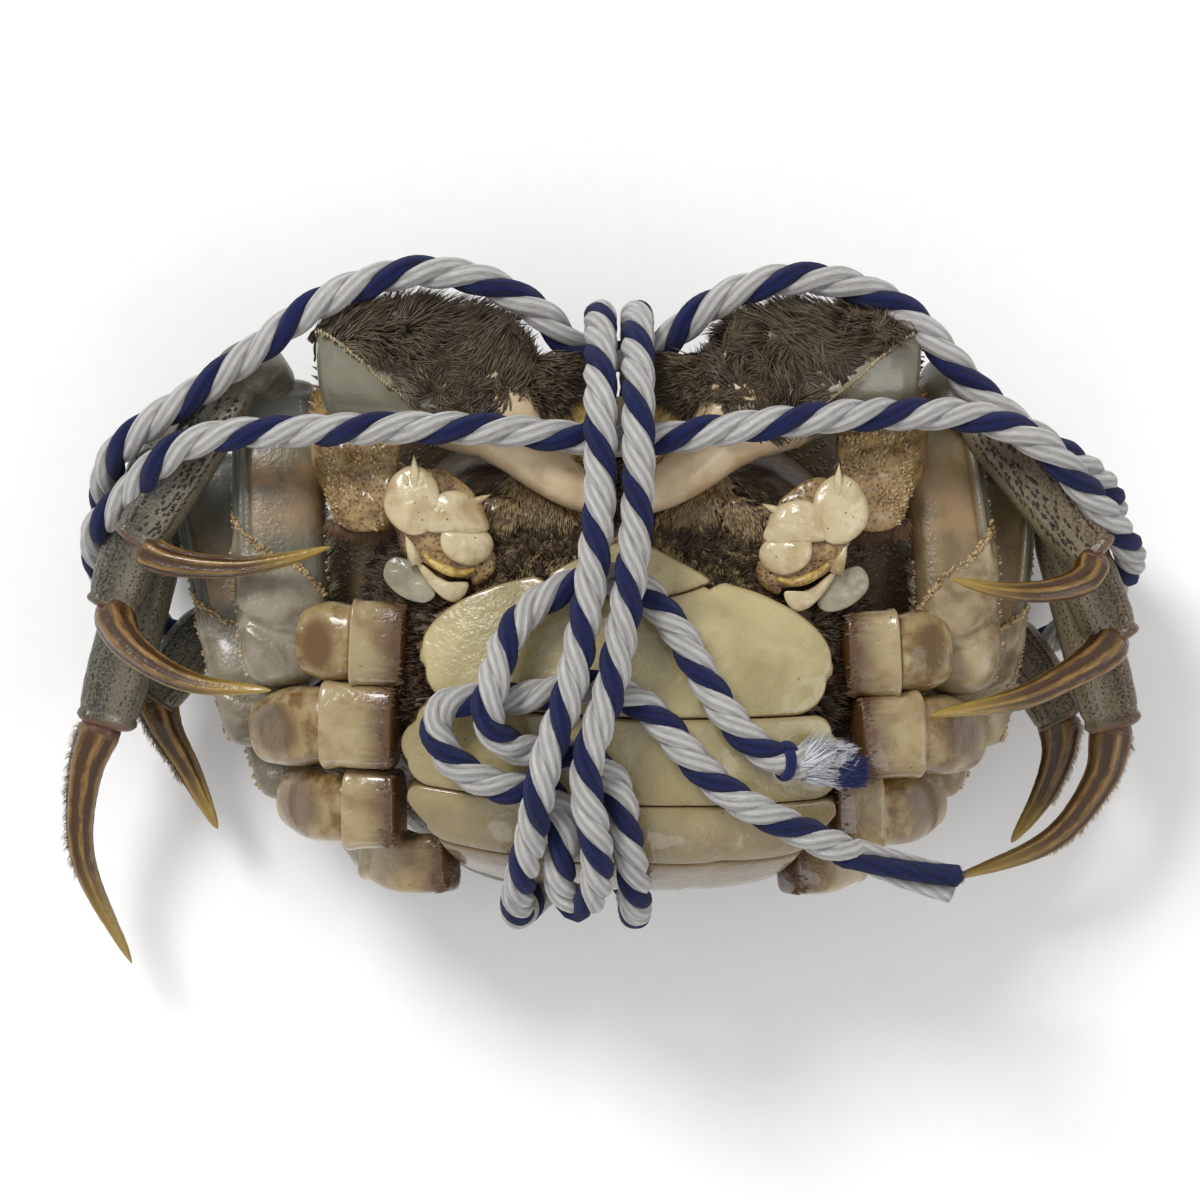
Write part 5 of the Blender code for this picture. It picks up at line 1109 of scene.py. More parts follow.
def make_looks():
    return {
        "white": cotton("rope_white", (0.27, 0.255, 0.235), (1.0, 0.985, 0.955), 0.35),
        "white_fibre": hair("white_fibre", (0.3, 0.3, 0.32), (0.8, 0.81, 0.85), 0.7, 0.0),
        "navy_fibre": hair("navy_fibre", (0.004, 0.006, 0.03), (0.02, 0.03, 0.16), 0.7, 0.0),
        "navy": cotton("rope_navy", (0.0015, 0.003, 0.02), (0.011, 0.022, 0.17), 0.1),
        "olive": olive_shell("olive_shell"),
        "olive_warm": olive_shell("olive_warm_shell", (0.03, 0.018, 0.007), (0.185, 0.13, 0.065)),
        "palm_olive": olive_shell("olive_smooth", rim=False),
        "merus": merus_shell("merus_shell"),
        "merus_warm": merus_shell("merus_warm_shell", (0.085, 0.056, 0.02), (0.36, 0.265, 0.13),
                                  (0.26, 0.19, 0.095),
                                  (0.2, 0.135, 0.06), (0.4, 0.32, 0.185)),
        "cream": cream_shell("cream_shell"),
        "ivory": cream_shell("ivory_shell", dark=(0.34, 0.235, 0.1), pale=(0.55, 0.45, 0.27), size=3.6),
        "grain": amber_shell("grain_shell", dark=(0.3, 0.19, 0.07), pale=(0.5, 0.38, 0.2)),
        "box": amber_shell("box_shell", dark=(0.035, 0.012, 0.004), pale=(0.12, 0.05, 0.015)),
        "ischium": ischium_shell("ischium_shell"),
        "abdomen": abdomen_shell("abdomen_shell"),
        # a darker copy of the plates' finish, painted shade for the rear plates that curve away from the light
        "abdomen_shaded": abdomen_shell("abdomen_shaded_shell", (0.11, 0.07, 0.024), (0.25, 0.185, 0.075), 0.0),
        "horn": dactyl_horn("dactyl_horn"),
        "claw": claw_shell("claw_shell"),
        "amber": amber_shell("amber_shell"),
        "jaw": amber_shell("jaw_shell", dark=(0.05, 0.02, 0.008), pale=(0.22, 0.125, 0.045)),
        "yellow": amber_shell("yellow_shell", dark=(0.3, 0.18, 0.035), pale=(0.56, 0.39, 0.1)),
        "glass": cream_shell("grey_shell", dark=(0.15, 0.14, 0.09), pale=(0.32, 0.29, 0.2), spots=False),
        "mitten": hair("mitten_hair", (0.013, 0.008, 0.004), (0.16, 0.115, 0.062)),
        "bristle": hair("dark_bristle", (0.014, 0.007, 0.003), (0.1, 0.058, 0.026)),
        "comb": hair("brown_comb", (0.05, 0.022, 0.008), (0.22, 0.12, 0.05)),
        "felt": hair("mouth_felt", (0.07, 0.047, 0.02), (0.56, 0.42, 0.21)),
        "pit": hair("black_pits", (0.006, 0.004, 0.003), (0.03, 0.02, 0.012)),
        "pale_hair": hair("pale_hair", (0.16, 0.12, 0.065), (0.5, 0.42, 0.28)),
        "back": back_shell("back_shell"),
        "thorax": thorax_shell("thorax_shell"),
        "eye": eye_black("eye_black"),
        "membrane": membrane_skin("joint_skin"),
    }


def floor_look():
    look = Look("floor_paper", roughness=0.9, Specular_IOR_Level=0.1)
    grain_of_paper = look.noise(3.0, detail=3.0)
    colour = look.mix(grain_of_paper, (0.93, 0.93, 0.93), (0.96, 0.96, 0.96))
    return look.finish(colour)


def make_stage():
    """A pale floor, soft light from all round, and the camera straight above."""
    half = 0.9
    mesh = bpy.data.meshes.new("floor")
    mesh.from_pydata([(-half, -half, 0), (half, -half, 0), (half, half, 0), (-half, half, 0)], [],
                     [[0, 1, 2, 3]])
    mesh.materials.append(floor_look())
    floor = bpy.data.objects.new("floor", mesh)
    bpy.context.scene.collection.objects.link(floor)
    world = bpy.data.worlds.new("studio")
    world.use_nodes = True
    world.node_tree.nodes["Background"].inputs["Color"].default_value = (1, 1, 1, 1)
    world.node_tree.nodes["Background"].inputs["Strength"].default_value = WORLD_LIGHT
    bpy.context.scene.world = world
    for name, place, size, power in LAMPS:
        light = bpy.data.lights.new(name, "AREA")
        light.shape = "DISK"
        light.size = size
        light.energy = power
        lamp = bpy.data.objects.new(name, light)
        lamp.location = place
        lamp.rotation_euler = (-Vector(place)).to_track_quat("-Z", "Y").to_euler()
        bpy.context.scene.collection.objects.link(lamp)
    camera = bpy.data.objects.new("camera", bpy.data.cameras.new("camera"))
    camera.location = (Vector((CAMERA_X, CAMERA_Y, CAMERA_Z)) + PLACE) * MM
    camera.data.sensor_width = SENSOR_WIDTH
    camera.data.lens = SENSOR_WIDTH * PIXELS_BY_DISTANCE / PICTURE_PIXELS
    camera.data.clip_start = 0.01
    bpy.context.scene.collection.objects.link(camera)
    bpy.context.scene.camera = camera
    bpy.context.scene.view_settings.view_transform = "Standard"


def resampled(dense, step, closed=False):
    """Evenly spaced points and the distance of each along the curve, as arrays."""
    points = np.array([tuple(p) for p in dense])
    gaps = np.linalg.norm(np.diff(points, axis=0), axis=1)
    along = np.concatenate([[0.0], np.cumsum(gaps)])
    count = max(int(along[-1] / step), 4)
    stations = np.linspace(0, along[-1], count + 1)
    if closed:
        stations = stations[:-1]
    spread = np.stack([np.interp(stations, along, points[:, k]) for k in range(3)], axis=1)
    return spread, stations, along[-1]


def unit(rows):
    return rows / np.maximum(np.linalg.norm(rows, axis=1, keepdims=True), 1e-12)


def slopes(points, closed=False):
    if closed:
        return unit(np.roll(points, -1, axis=0) - np.roll(points, 1, axis=0))
    return unit(np.gradient(points, axis=0))


def carried_sides(tangents, closed=False):
    """A side direction at each point, carried along without twist, and closed where the loop is."""
    side = np.cross(tangents[0], (0.0, 0.0, 1.0))
    sides = []
    for tangent in tangents:
        side = side - tangent * side.dot(tangent)
        side /= np.linalg.norm(side)
        sides.append(side.copy())
    sides = np.array(sides)
    if closed:
        last = sides[-1] - tangents[0] * sides[-1].dot(tangents[0])
        turn = math.atan2(np.cross(last, sides[0]).dot(tangents[0]), last.dot(sides[0]))
        turns = np.linspace(0, turn, len(sides), endpoint=False)[:, None]
        sides = sides * np.cos(turns) + np.cross(tangents, sides) * np.sin(turns)
    return sides


def laid_rope(name, centre, sides, stations, turns, looks, closed=False, opening=0.0, swell=(0, 0),
              white_to=-1):
    """Three strands laid round each other along the centre points, as one mesh.

    Turns is the angle of the first strand at each point. Opening is how far the lay has come loose
    there, from 0 to 1; swell says by how much the strands then part and thicken. The first strand
    is navy, but for the first stretch up to white_to.
    """
    tangents = slopes(centre, closed)
    ups = np.cross(sides, tangents)
    steps = len(centre)
    opening = np.zeros(steps) + opening
    apart, thick = 1 + swell[0] * opening, 1 + swell[1] * opening
    points, faces, slots, fibre, yarn_gap_shade, groove = [], [], [], [], [], []
    around = np.arange(STRAND_SIDES) * 2 * math.pi / STRAND_SIDES
    for strand in range(3):
        angle = turns + 2 * math.pi * strand / 3
        radial = sides * np.cos(angle)[:, None] + ups * np.sin(angle)[:, None]
        middle = centre + radial * (STRAND_OFFSET * apart)[:, None]
        forward = slopes(middle, closed)
        across = unit(np.cross(forward, radial))
        radial = np.cross(across, forward)
        wave = np.cos(YARNS * (around[None] - YARN_TURN * stations[:, None] - 2 * math.pi * strand / 3))
        radius = STRAND_RADIUS * (1 + YARN_RIDGE * wave) * thick[:, None]
        ring = (middle[:, None] + radial[:, None] * (np.cos(around) * radius)[..., None]
                + across[:, None] * (np.sin(around) * radius)[..., None])
        start = len(points)
        points += ring.reshape(-1, 3).tolist()
        # the hollows between the yarns, for the painted shade in the cotton
        yarn_gap_shade += (0.5 - 0.5 * wave).ravel().tolist()
        # the side of each strand that faces the rope's middle, darkened in the cotton as painted shade
        groove += np.repeat(0.5 - 0.5 * np.cos(around)[None], steps, axis=0).ravel().tolist()
        turn = (around[None] - YARN_TURN * stations[:, None]) * STRAND_RADIUS
        fibre += np.stack([
            np.cos(turn / STRAND_RADIUS) * STRAND_RADIUS, np.sin(turn / STRAND_RADIUS) * STRAND_RADIUS,
            np.repeat(stations[:, None] * 0.08 + strand * 9.0, STRAND_SIDES, axis=1),
        ], axis=-1).reshape(-1, 3).tolist()
        spans = steps if closed else steps - 1
        for r in range(spans):
            near, far = start + r * STRAND_SIDES, start + ((r + 1) % steps) * STRAND_SIDES
            for k in range(STRAND_SIDES):
                j = (k + 1) % STRAND_SIDES
                faces.append([near + k, near + j, far + j, far + k])
                slots.append(1 if strand == 0 and stations[r] > white_to else 0)
        if not closed:
            for row, flip in ((0, True), (steps - 1, False)):
                ids = [start + row * STRAND_SIDES + k for k in range(STRAND_SIDES)]
                faces.append(ids[::-1] if flip else ids)
                slots.append(1 if strand == 0 and stations[row] > white_to else 0)
    attributes = {"fibre": fibre, "yarn_gap_shade": yarn_gap_shade, "groove": groove}
    return outward(add_mesh(name, points, faces, looks, attributes, slots))


def wrap_centre(route):
    dense = smooth_points(route, closed=True, steps=14)
    for p in dense:
        p.z = max(p.z, ROPE_RADIUS + 0.07)
    return resampled(dense, ROPE_STEP, closed=True)


def fray(name, root, way, look, count, length, reach, seed, droop=(0, 0, 0), width=0.15, back=0.8, fan=0.35,
         per_tuft=16):
    """Loose yarn ends at a cut end: tufts that leave it along the rope's way and spread."""
    draw = random.Random(seed)
    way, root = Vector(way).normalized(), Vector(root)
    side = way.orthogonal().normalized()
    other = way.cross(side)
    seeds = []
    for _ in range(count):
        angle = draw.uniform(0, 2 * math.pi)
        out = side * math.cos(angle) + other * math.sin(angle)
        place = root + out * math.sqrt(draw.uniform(0.02, 1)) * reach - way * draw.uniform(0, 2) * back
        lie = way + Vector(droop) + out * draw.uniform(-0.1, 1) * fan
        seeds.append((tuple(place), tuple(out), tuple(lie), (draw.random(), draw.random()),
                      length * draw.uniform(0.6, 1.1), draw.uniform(0.0, 0.25)))
    return tufts(name, seeds, look, per_tuft, width, 0.3, clump=0.1, sink=0.3, seed=seed, curl=0.3)


def eased_turns(turns, stations, start, side, up, wanted):
    """The strands' angle where the lay dies out: they end with the first one facing the wanted way."""
    target = math.atan2(float(np.dot(up, wanted)), float(np.dot(side, wanted)))
    left = turns[np.searchsorted(stations, start)]
    travel = (target - left) % (2 * math.pi)
    share = np.clip((stations - start) / (stations[-1] - start), 0, 1)
    return np.where(stations < start, turns, left + travel * share ** LONG_TAIL_EASE)


def rope_ring(name, centre, way, look):
    """One turn of a single navy strand tied round the rope."""
    way = Vector(way).normalized()
    side = way.orthogonal().normalized()
    other = way.cross(side)
    route = []
    for k in range(13):
        angle = 2 * math.pi * k / 12
        out = side * math.cos(angle) + other * math.sin(angle)
        route.append(tuple(Vector(centre) + out * RING_RADIUS + way * (0.5 * k / 12 - 0.25)))
    ring = Limb(route, ((0, 0.62, 0.42), (1, 0.62, 0.42)), face=tuple(side), power=2.2)
    item = skin_limb(name, ring, look, 0, 1, (0.1, 0.1), sides=20, rings=60)
    flow = np.empty(3 * len(item.data.vertices), dtype=np.float32)
    item.data.attributes["flow"].data.foreach_get("vector", flow)
    item.data.attributes.new("fibre", "FLOAT_VECTOR", "POINT").data.foreach_set("vector", flow)
    return item


def make_ropes(looks):
    """Two turns round the crab, the long strand that ties them, and its two loose tails."""
    pair = [looks["white"], looks["navy"]]
    for name, route, nodes, phase in (
        ("rope_round_front", WRAP_FRONT, ("rope_wrap_front", "rope_under_front"), 0.4),
        ("rope_round_middle", WRAP_MIDDLE, ("rope_wrap_middle", "rope_under_rear"), 2.1),
    ):
        centre, stations, total = wrap_centre(route)
        sides = carried_sides(slopes(centre, True), True)
        rate = 2 * math.pi * round(total / WRAP_LAY) / total
        item = laid_rope(name, centre, sides, stations, phase + rate * stations, pair, closed=True)
        finish_piece(item, "rope", *nodes)
    routes = (TAIL_SHORT, BOW_AND_TURN_LEFT, TURN_RIGHT_AND_BAND, TAIL_LONG)
    whole = [p for route in routes for p in route]
    steps = 12
    centre, stations, total = resampled(smooth_points(whole, steps=steps), ROPE_STEP)
    places = [Vector(p) for p in centre]
    ends, done = [0], 0
    for route in routes[:-1]:
        done += len(route)
        middle = (Vector(whole[done - 1]) + Vector(whole[done])) / 2
        ends.append(min(range(len(places)), key=lambda k: (places[k] - middle).length))
    ends.append(len(centre) - 1)
    short = slice(ends[0], ends[1] + 1)
    held = slice(ends[1], ends[3] + 1)
    long = slice(ends[3], ends[4] + 1)
    rate = 2 * math.pi / STRAND_LAY
    sides = carried_sides(slopes(centre))
    turns = LONG_STRAND_PHASE + rate * stations
    loose = 1 - np.clip(stations[short] / SHORT_TAIL_LOOSE, 0, 1)
    end_loose = 1 - np.clip((total - stations[long]) / LONG_TAIL_LOOSE, 0, 1)
    end_side, end_up = sides[-1], np.cross(sides[-1], slopes(centre)[-1])
    end_turns = eased_turns(turns, stations, total - LONG_TAIL_LOOSE, end_side, end_up, NAVY_AT_END)
    for name, part, nodes, angles, opening, swell, white_to in (
        ("rope_short_tail", short, ("rope_tail_short",), turns, loose, (0.5, -0.3), SHORT_TAIL_LOOSE),
        ("rope_tied_strand", held, ("rope_turn_left", "rope_turn_right"), turns, 0.0, (0, 0), -1),
        ("rope_long_tail", long, ("rope_tail_long",), end_turns, end_loose ** 2, (0.55, 0.15), -1),
    ):
        item = laid_rope(name, centre[part], sides[part], stations[part], angles[part], pair,
                         opening=opening, swell=swell, white_to=white_to)
        finish_piece(item, "rope", *nodes)
    way, end_way = centre[0] - centre[4], centre[-1] - centre[-4]
    ring_at = int(SHORT_TAIL_LOOSE / ROPE_STEP) + 1
    end_angle = end_turns[-1]
    navy_side = end_side * math.cos(end_angle) + end_up * math.sin(end_angle)
    brushes = (
        ("white_yarns", centre[ring_at - 3], way, "white_fibre", 90, 4.6, 1.5, (0.0, 0.35, 0.1), 0.3, 0.7,
         0.7, 7),
        ("white_fluff", centre[5], way, "white_fibre", 110, 2.4, 2.1, (0.0, 0.5, 0.3), 0.2, 1.2, 0.9, 12),
        ("white_brush", centre[1], way, "white_fibre", 120, 1.9, 2.2, (0.0, 0.4, 0.3), 0.15, 0.8, 0.9, 14),
        ("navy_brush", centre[0] + NAVY_CLUMP, way, "navy_fibre", 150, 1.7, 1.7, (0.0, -0.2, 0.3), 0.16,
         1.1, 2.0, 14),
    )
    extras = [
        fray("rope_short_tail_" + label, root, lie, looks[look], count, length, reach, 31 + n, droop,
             width, back,
             fan, per_tuft)
        for n, (label, root, lie, look, count, length, reach, droop, width, back, fan,
                per_tuft) in enumerate(brushes)
    ]
    extras.append(rope_ring("rope_short_tail_ring", centre[ring_at], way, looks["navy"]))
    whisks = [
        fray("rope_long_tail_navy_whisk", centre[-1] + navy_side * 1.2, end_way, looks["navy_fibre"], 26,
             0.9, 1.0, 41),
        fray("rope_long_tail_white_whisk", centre[-1] - navy_side * 0.7, end_way, looks["white_fibre"],
             40, 0.8, 1.4,
             42),
    ]
    for item in extras:
        finish_piece(item, "rope", "rope_tail_short")
    for item in whisks:
        finish_piece(item, "rope", "rope_tail_long")


def carapace_outline(sides):
    half = [Vector((x, y, 0)) for x, y in OUTLINE_HALF]
    loop = half + [Vector((-p.x, p.y, 0)) for p in half[-2:0:-1]]
    dense = smooth_points(loop, closed=True)[:-1]
    middle = OUTLINE_MIDDLE.to_3d()
    angles = [math.atan2(p.y - middle.y, p.x) for p in dense]
    order = sorted(range(len(dense)), key=lambda i: angles[i])
    turn = [angles[i] for i in order]
    reach = [(dense[i] - middle).length for i in order]
    found = []
    for k in range(sides):
        angle = -math.pi + 2 * math.pi * k / sides
        radius = np.interp(angle, turn, reach, period=2 * math.pi)
        found.append(Vector((math.cos(angle), math.sin(angle), 0)) * float(radius))
    return found


def dome_height(scale):
    scale = min(scale, 1.0)
    return RIM_Z - (RIM_Z - APEX_Z) * (1 - scale**DOME_POWER) ** DOME_ROUND


def wall_top(y):
    return WALL_TOP_Z - WALL_TOP_SLOPE * max(0.0, y - WALL_TOP_FRONT_Y)


def sternum_height(x, y):
    fall = STERNUM_SIDE_FALL * x * x
    fall += STERNUM_FRONT_FALL * max(0.0, y - STERNUM_FRONT_Y)
    fall += STERNUM_REAR_FALL * max(0.0, STERNUM_REAR_Y - y) ** 2
    return STERNUM_Z - fall


def stacked_skin(name, rings, first, last, look, attributes):
    sides = len(rings[0])
    points = [p for ring in rings for p in ring] + [first, last]
    faces = []
    for r in range(len(rings) - 1):
        for k in range(sides):
            near, beside = r * sides + k, r * sides + (k + 1) % sides
            faces.append([near, beside, beside + sides, near + sides])
    low, high, top = len(points) - 2, len(points) - 1, (len(rings) - 1) * sides
    for k in range(sides):
        faces.append([low, (k + 1) % sides, k])
        faces.append([high, top + k, top + (k + 1) % sides])
    return outward(add_mesh(name, points, faces, look, attributes))


def make_carapace(looks):
    """The back: domed regions parted by grooves, a toothed rim and the walls below it."""
    sides = 160
    outline = carapace_outline(sides)
    middle = OUTLINE_MIDDLE.to_3d()
    rings, groove, wall = [], [], []
    scales = [0.05 + 0.95 * k / 40 for k in range(41)]
    for scale in scales:
        ring = []
        for p in outline:
            x, y = (middle + p * scale).xy
            side = abs(x)
            neck = bell(side - (6.5 + 0.035 * (y - 2) ** 2), 0, 1.3) * bell(y, 1.5, 10)
            cross = bell(y - (-3.5 + 0.02 * x * x), 0, 1.3) * bell(side, 0, 15)
            lines = clamp(neck + cross) * (1 - scale**6)
            swell = 0.55 * bell(side, 5.5, 4.5) * bell(y, 8.5, 6) + 0.45 * bell(side, 17, 7) * bell(y, -8, 9)
            swell += 0.4 * bell(side, 0, 5) * bell(y, -15, 6)
            lift = swell - 0.55 * lines + 0.1 * grain((x, y, 0), 1.6)
            z = max(dome_height(scale) - lift * (1 - scale**4), APEX_Z - 0.05)
            ring.append(Vector((x, y, z)))
            groove.append(lines)
            wall.append(0.0)
        rings.append(ring)
    for step in range(1, 15):
        t = step / 14
        share = np.interp(t, (0, 0.4, 0.75, 1.0), (1, *(s for _, s in WALL_STEPS)))
        share_z = np.interp(t, (0, 0.4, 0.75, 1.0), (0, *(s for s, _ in WALL_STEPS)))
        ring = []
        for p in outline:
            place = middle + p * float(share)
            z = RIM_Z + float(share_z) * (wall_top(p.y) - RIM_Z)
            ring.append(place + Vector((0, 0, z)))
            groove.append(0.0)
            wall.append(t)
        rings.append(ring)
    groove += [0.0, 0.0]
    wall += [0.0, 1.0]
    body = stacked_skin("carapace_back", rings, middle + Vector((0, 0, APEX_Z)),
                        middle + Vector((0, 0, WALL_TOP_Z)), looks["back"], {"groove": groove, "wall": wall})
    finish_piece(body, "back_shell", "carapace")
    seeds = []
    for side in (-1, 1):
        for x, y in SIDE_TEETH:
            root = Vector((side * (x - 1.2), y - 0.4, RIM_Z))
            tip = Vector((side * (x + 0.9), y + TOOTH_LENGTH * 0.9, RIM_Z + 0.2))
            seeds.append((root, tip - root, (tip - root).length, TOOTH_RADIUS, 0.2))
        for x in FRONT_TEETH:
            root = Vector((side * x, OUTLINE_HALF[0][1] - 1.0, RIM_Z - 0.3))
            seeds.append((root, (0, 1, -0.08), TOOTH_LENGTH + 0.9, TOOTH_RADIUS + 0.5, 0.25))
        for x, y in GASTRIC_LUMPS:
            share = (Vector((x, y)) - OUTLINE_MIDDLE).length / 30
            z = dome_height(min(share, 0.95))
            seeds.append(((side * x, y, z + 0.6), (0, 0, -1), 1.3, LUMP_RADIUS, 0.8))
    draw = random.Random(5)
    for _ in range(900):
        p = outline[draw.randrange(sides)]
        scale = math.sqrt(draw.uniform(0.16, 1.0))
        place = middle + p * scale
        z = dome_height(scale) + 0.15
        size = draw.uniform(0.16, 0.34) * (0.7 + 0.6 * scale)
        seeds.append(((place.x, place.y, z), (p.x * 0.02, p.y * 0.02, -1), size * 1.6, size, 0.9))
    teeth = studs("carapace_teeth_and_grains", seeds, looks["back"])
    finish_piece(teeth, "back_shell", "carapace")


def make_thorax(looks):
    sides = 140
    outline = carapace_outline(sides)
    middle = OUTLINE_MIDDLE.to_3d()
    rings, wall = [], []
    for step in range(13):
        t = step / 12
        scale = float(np.interp(t, (0, 0.4, 0.8, 1.0), (0.825, 0.8, 0.76, 0.72)))
        ring = []
        for p in outline:
            low = wall_top(p.y) + GAP
            inner = middle + p * THORAX_TOP_RING
            high = max(sternum_height(inner.x, inner.y), low + 1.2)
            ripple = 0.25 * grain((p.x, p.y, t * 5), 3.0)
            ring.append(middle + p * scale + Vector((0, 0, low + min(t, 0.94) * (high - low) + ripple * t)))
            wall.append(t)
        rings.append(ring)
    for step in range(24):
        scale = 0.7 * (1 - step / 24) + 0.02
        ring = []
        for p in outline:
            place = middle + p * scale
            z = max(sternum_height(place.x, place.y), wall_top(place.y) + GAP + 1.2)
            lines = sum(bell(place.y, y, 0.7) for y in (-0.5, -9.6, -18.6,
                                                        -26)) * clamp((abs(place.x) - 8) / 6)
            z += 0.2 * grain(place, 2.5) - 0.5 * lines
            ring.append(Vector((place.x, place.y, z)))
            wall.append(1.0)
        rings.append(ring)
    wall += [0.0, 1.0]
    low = wall_top(middle.y) + GAP
    body = stacked_skin("thorax_shell", rings, middle + Vector((0, 0, low)),
                        middle + Vector((0, 0, STERNUM_Z)), looks["thorax"], {"wall": wall})
    return finish_piece(body, "belly_shell", "thorax")


def abdomen_point(dense, along, x, distance, depth):
    middle = point_at(dense, along, clamp(distance, 0, along[-1]))
    ahead = (point_at(dense, along, clamp(distance + 0.5, 0, along[-1]))
             - point_at(dense, along, clamp(distance - 0.5, 0, along[-1])))
    normal = Vector((0, ahead.z, -ahead.y)).normalized()
    sag = ABDOMEN_SAG * abs(x / ABDOMEN_WIDE) ** 2.4
    point = middle + Vector((x, 0, 0)) - normal * (sag + depth)
    return Matrix.Rotation(-ABDOMEN_TURN, 3, "Z") @ (point - ABDOMEN_PIVOT) + ABDOMEN_PIVOT


def abdomen_plate(name, frame_of_line, front, back, half_width, look, node, thick=PLATE_THICK, rows=34):
    """A crowned plate between two lines, its edges rolled under and its face gently uneven."""
    dense, along = frame_of_line
    columns = 110
    reach = along[-1]
    points, lengths, rims = [], [], []
    for layer in (0, 1):
        for r in range(rows + 1):
            t = 0.5 - 0.5 * math.cos(math.pi * r / rows)
            for c in range(columns + 1):
                u = math.sin(math.pi / 2 * (-1 + 2 * c / columns))
                x = u * half_width(t)
                start, stop = front(x), back(x)
                distance = start + (stop - start) * t
                from_side = (1 - abs(u)) * half_width(t)
                from_end = min(distance - start, stop - distance)
                from_edge = max(min(from_side, from_end), 0.0)
                roll = PLATE_ROLL * (1 - math.sqrt(clamp(1 - (1 - clamp(from_edge / PLATE_ROLL)) ** 2)))
                depth = PLATE_CROWN * 0.3 * abs(u) ** 8 + roll
                hump = 0.16 * grain((x, distance, 3), 6.0) + 0.05 * grain((x, distance, 9), 1.7)
                dent = 0.22 * bell(abs(x), half_width(t) * 0.52, 1.4) if rows > 20 else 0.0
                depth = thick if layer else max(depth - hump + dent, 0.0)
                points.append(abdomen_point(dense, along, x, distance, depth))
                lengths.append(distance / reach)
                rims.append(1 - clamp(from_edge / 1.6))
    row = columns + 1
    size = row * (rows + 1)
    faces = []
    for r in range(rows):
        for c in range(columns):
            a = r * row + c
            faces.append([a, a + 1, a + row + 1, a + row])
            b = a + size
            faces.append([b, b + row, b + row + 1, b + 1])
    rim = list(range(row)) + [r * row + columns for r in range(1, rows + 1)]
    rim += [rows * row + c for c in range(columns - 1, -1, -1)] + [r * row for r in range(rows - 1, 0, -1)]
    for a, b in zip(rim, rim[1:] + rim[:1]):
        faces.append([a, a + size, b + size, b])
    item = outward(add_mesh(name, points, faces, look, {"along": lengths, "rim": rims}))
    return finish_piece(item, "belly_shell", node)


def make_abdomen(looks):
    dense = smooth_points([(0, y, z) for y, z in ABDOMEN_LINE])
    line = dense, lengths_along(dense)
    half_gap = 0.07
    line_65, line_54, line_43, line_end = 19.7, 29.3, 37.2, 53.0
    look = looks["abdomen"]

    def telson_front(x):
        return 0.2 + 4.0 * abs(x / 8.6) ** 1.3

    def telson_back(x):
        return 6.9 - 2.2 * (x / 8.6) ** 2

    def sixth_front(x):
        arc = 3.5 + 9.0 * (1 - math.sqrt(max(0.0, 1 - (x / 22.12) ** 2)))
        notch = telson_back(x) + 2 * half_gap
        if abs(x) < 8.6:
            return max(notch, arc)
        return arc + 1.2 * max(0.0, 1 - (abs(x) - 8.6) / 1.5)

    def curved(middle, bend):
        return lambda x: middle - bend * (x / ABDOMEN_WIDE) ** 2

    def width(low, middle, high):
        return lambda t: low + (high - low) * t + (middle - (low + high) / 2) * 4 * t * (1 - t)

    def rounded(edge, half, radius, way):
        def found(x):
            over = clamp((abs(x) - half + radius) / radius)
            return edge(x) + way * radius * (1 - math.sqrt(1 - over * over))
        return found

    return [
        abdomen_plate("telson_plate", line, telson_front, telson_back, width(8.5, 8.6, 8.5), look,
                      "abdomen_telson", 2.4),
        abdomen_plate("belly_plate_6", line, sixth_front,
                      rounded(lambda x: curved(line_65, 1.4)(x) - half_gap, 21.6, 3.4, -1),
                      width(22.1, 22.3, 21.6), look, "abdomen_segment_6"),
        abdomen_plate("belly_plate_5", line, rounded(lambda x: curved(line_65, 1.4)(x) + half_gap, 22.4,
                                                     2.2, 1),
                      rounded(lambda x: curved(line_54, 0.8)(x) - half_gap, 23.2, 2.6, -1),
                      width(22.4, 24.0, 23.2), look, "abdomen_segment_5"),
        abdomen_plate("belly_plate_4", line, rounded(lambda x: curved(line_54, 0.8)(x) + half_gap, 23.2,
                                                     1.6, 1),
                      rounded(lambda x: line_43 - half_gap, 21.0, 2.4, -1), width(23.2, 22.9, 21.0), look,
                      "abdomen_segment_4"),
        # the rear plates take the darker copy of the finish: painted shade
        abdomen_plate("belly_plates_1_to_3", line, lambda x: line_43 + half_gap, lambda x: line_end,
                      width(19.8, 16.6, 12.6), looks["abdomen_shaded"], "abdomen_segments_1_3", rows=40),
    ]


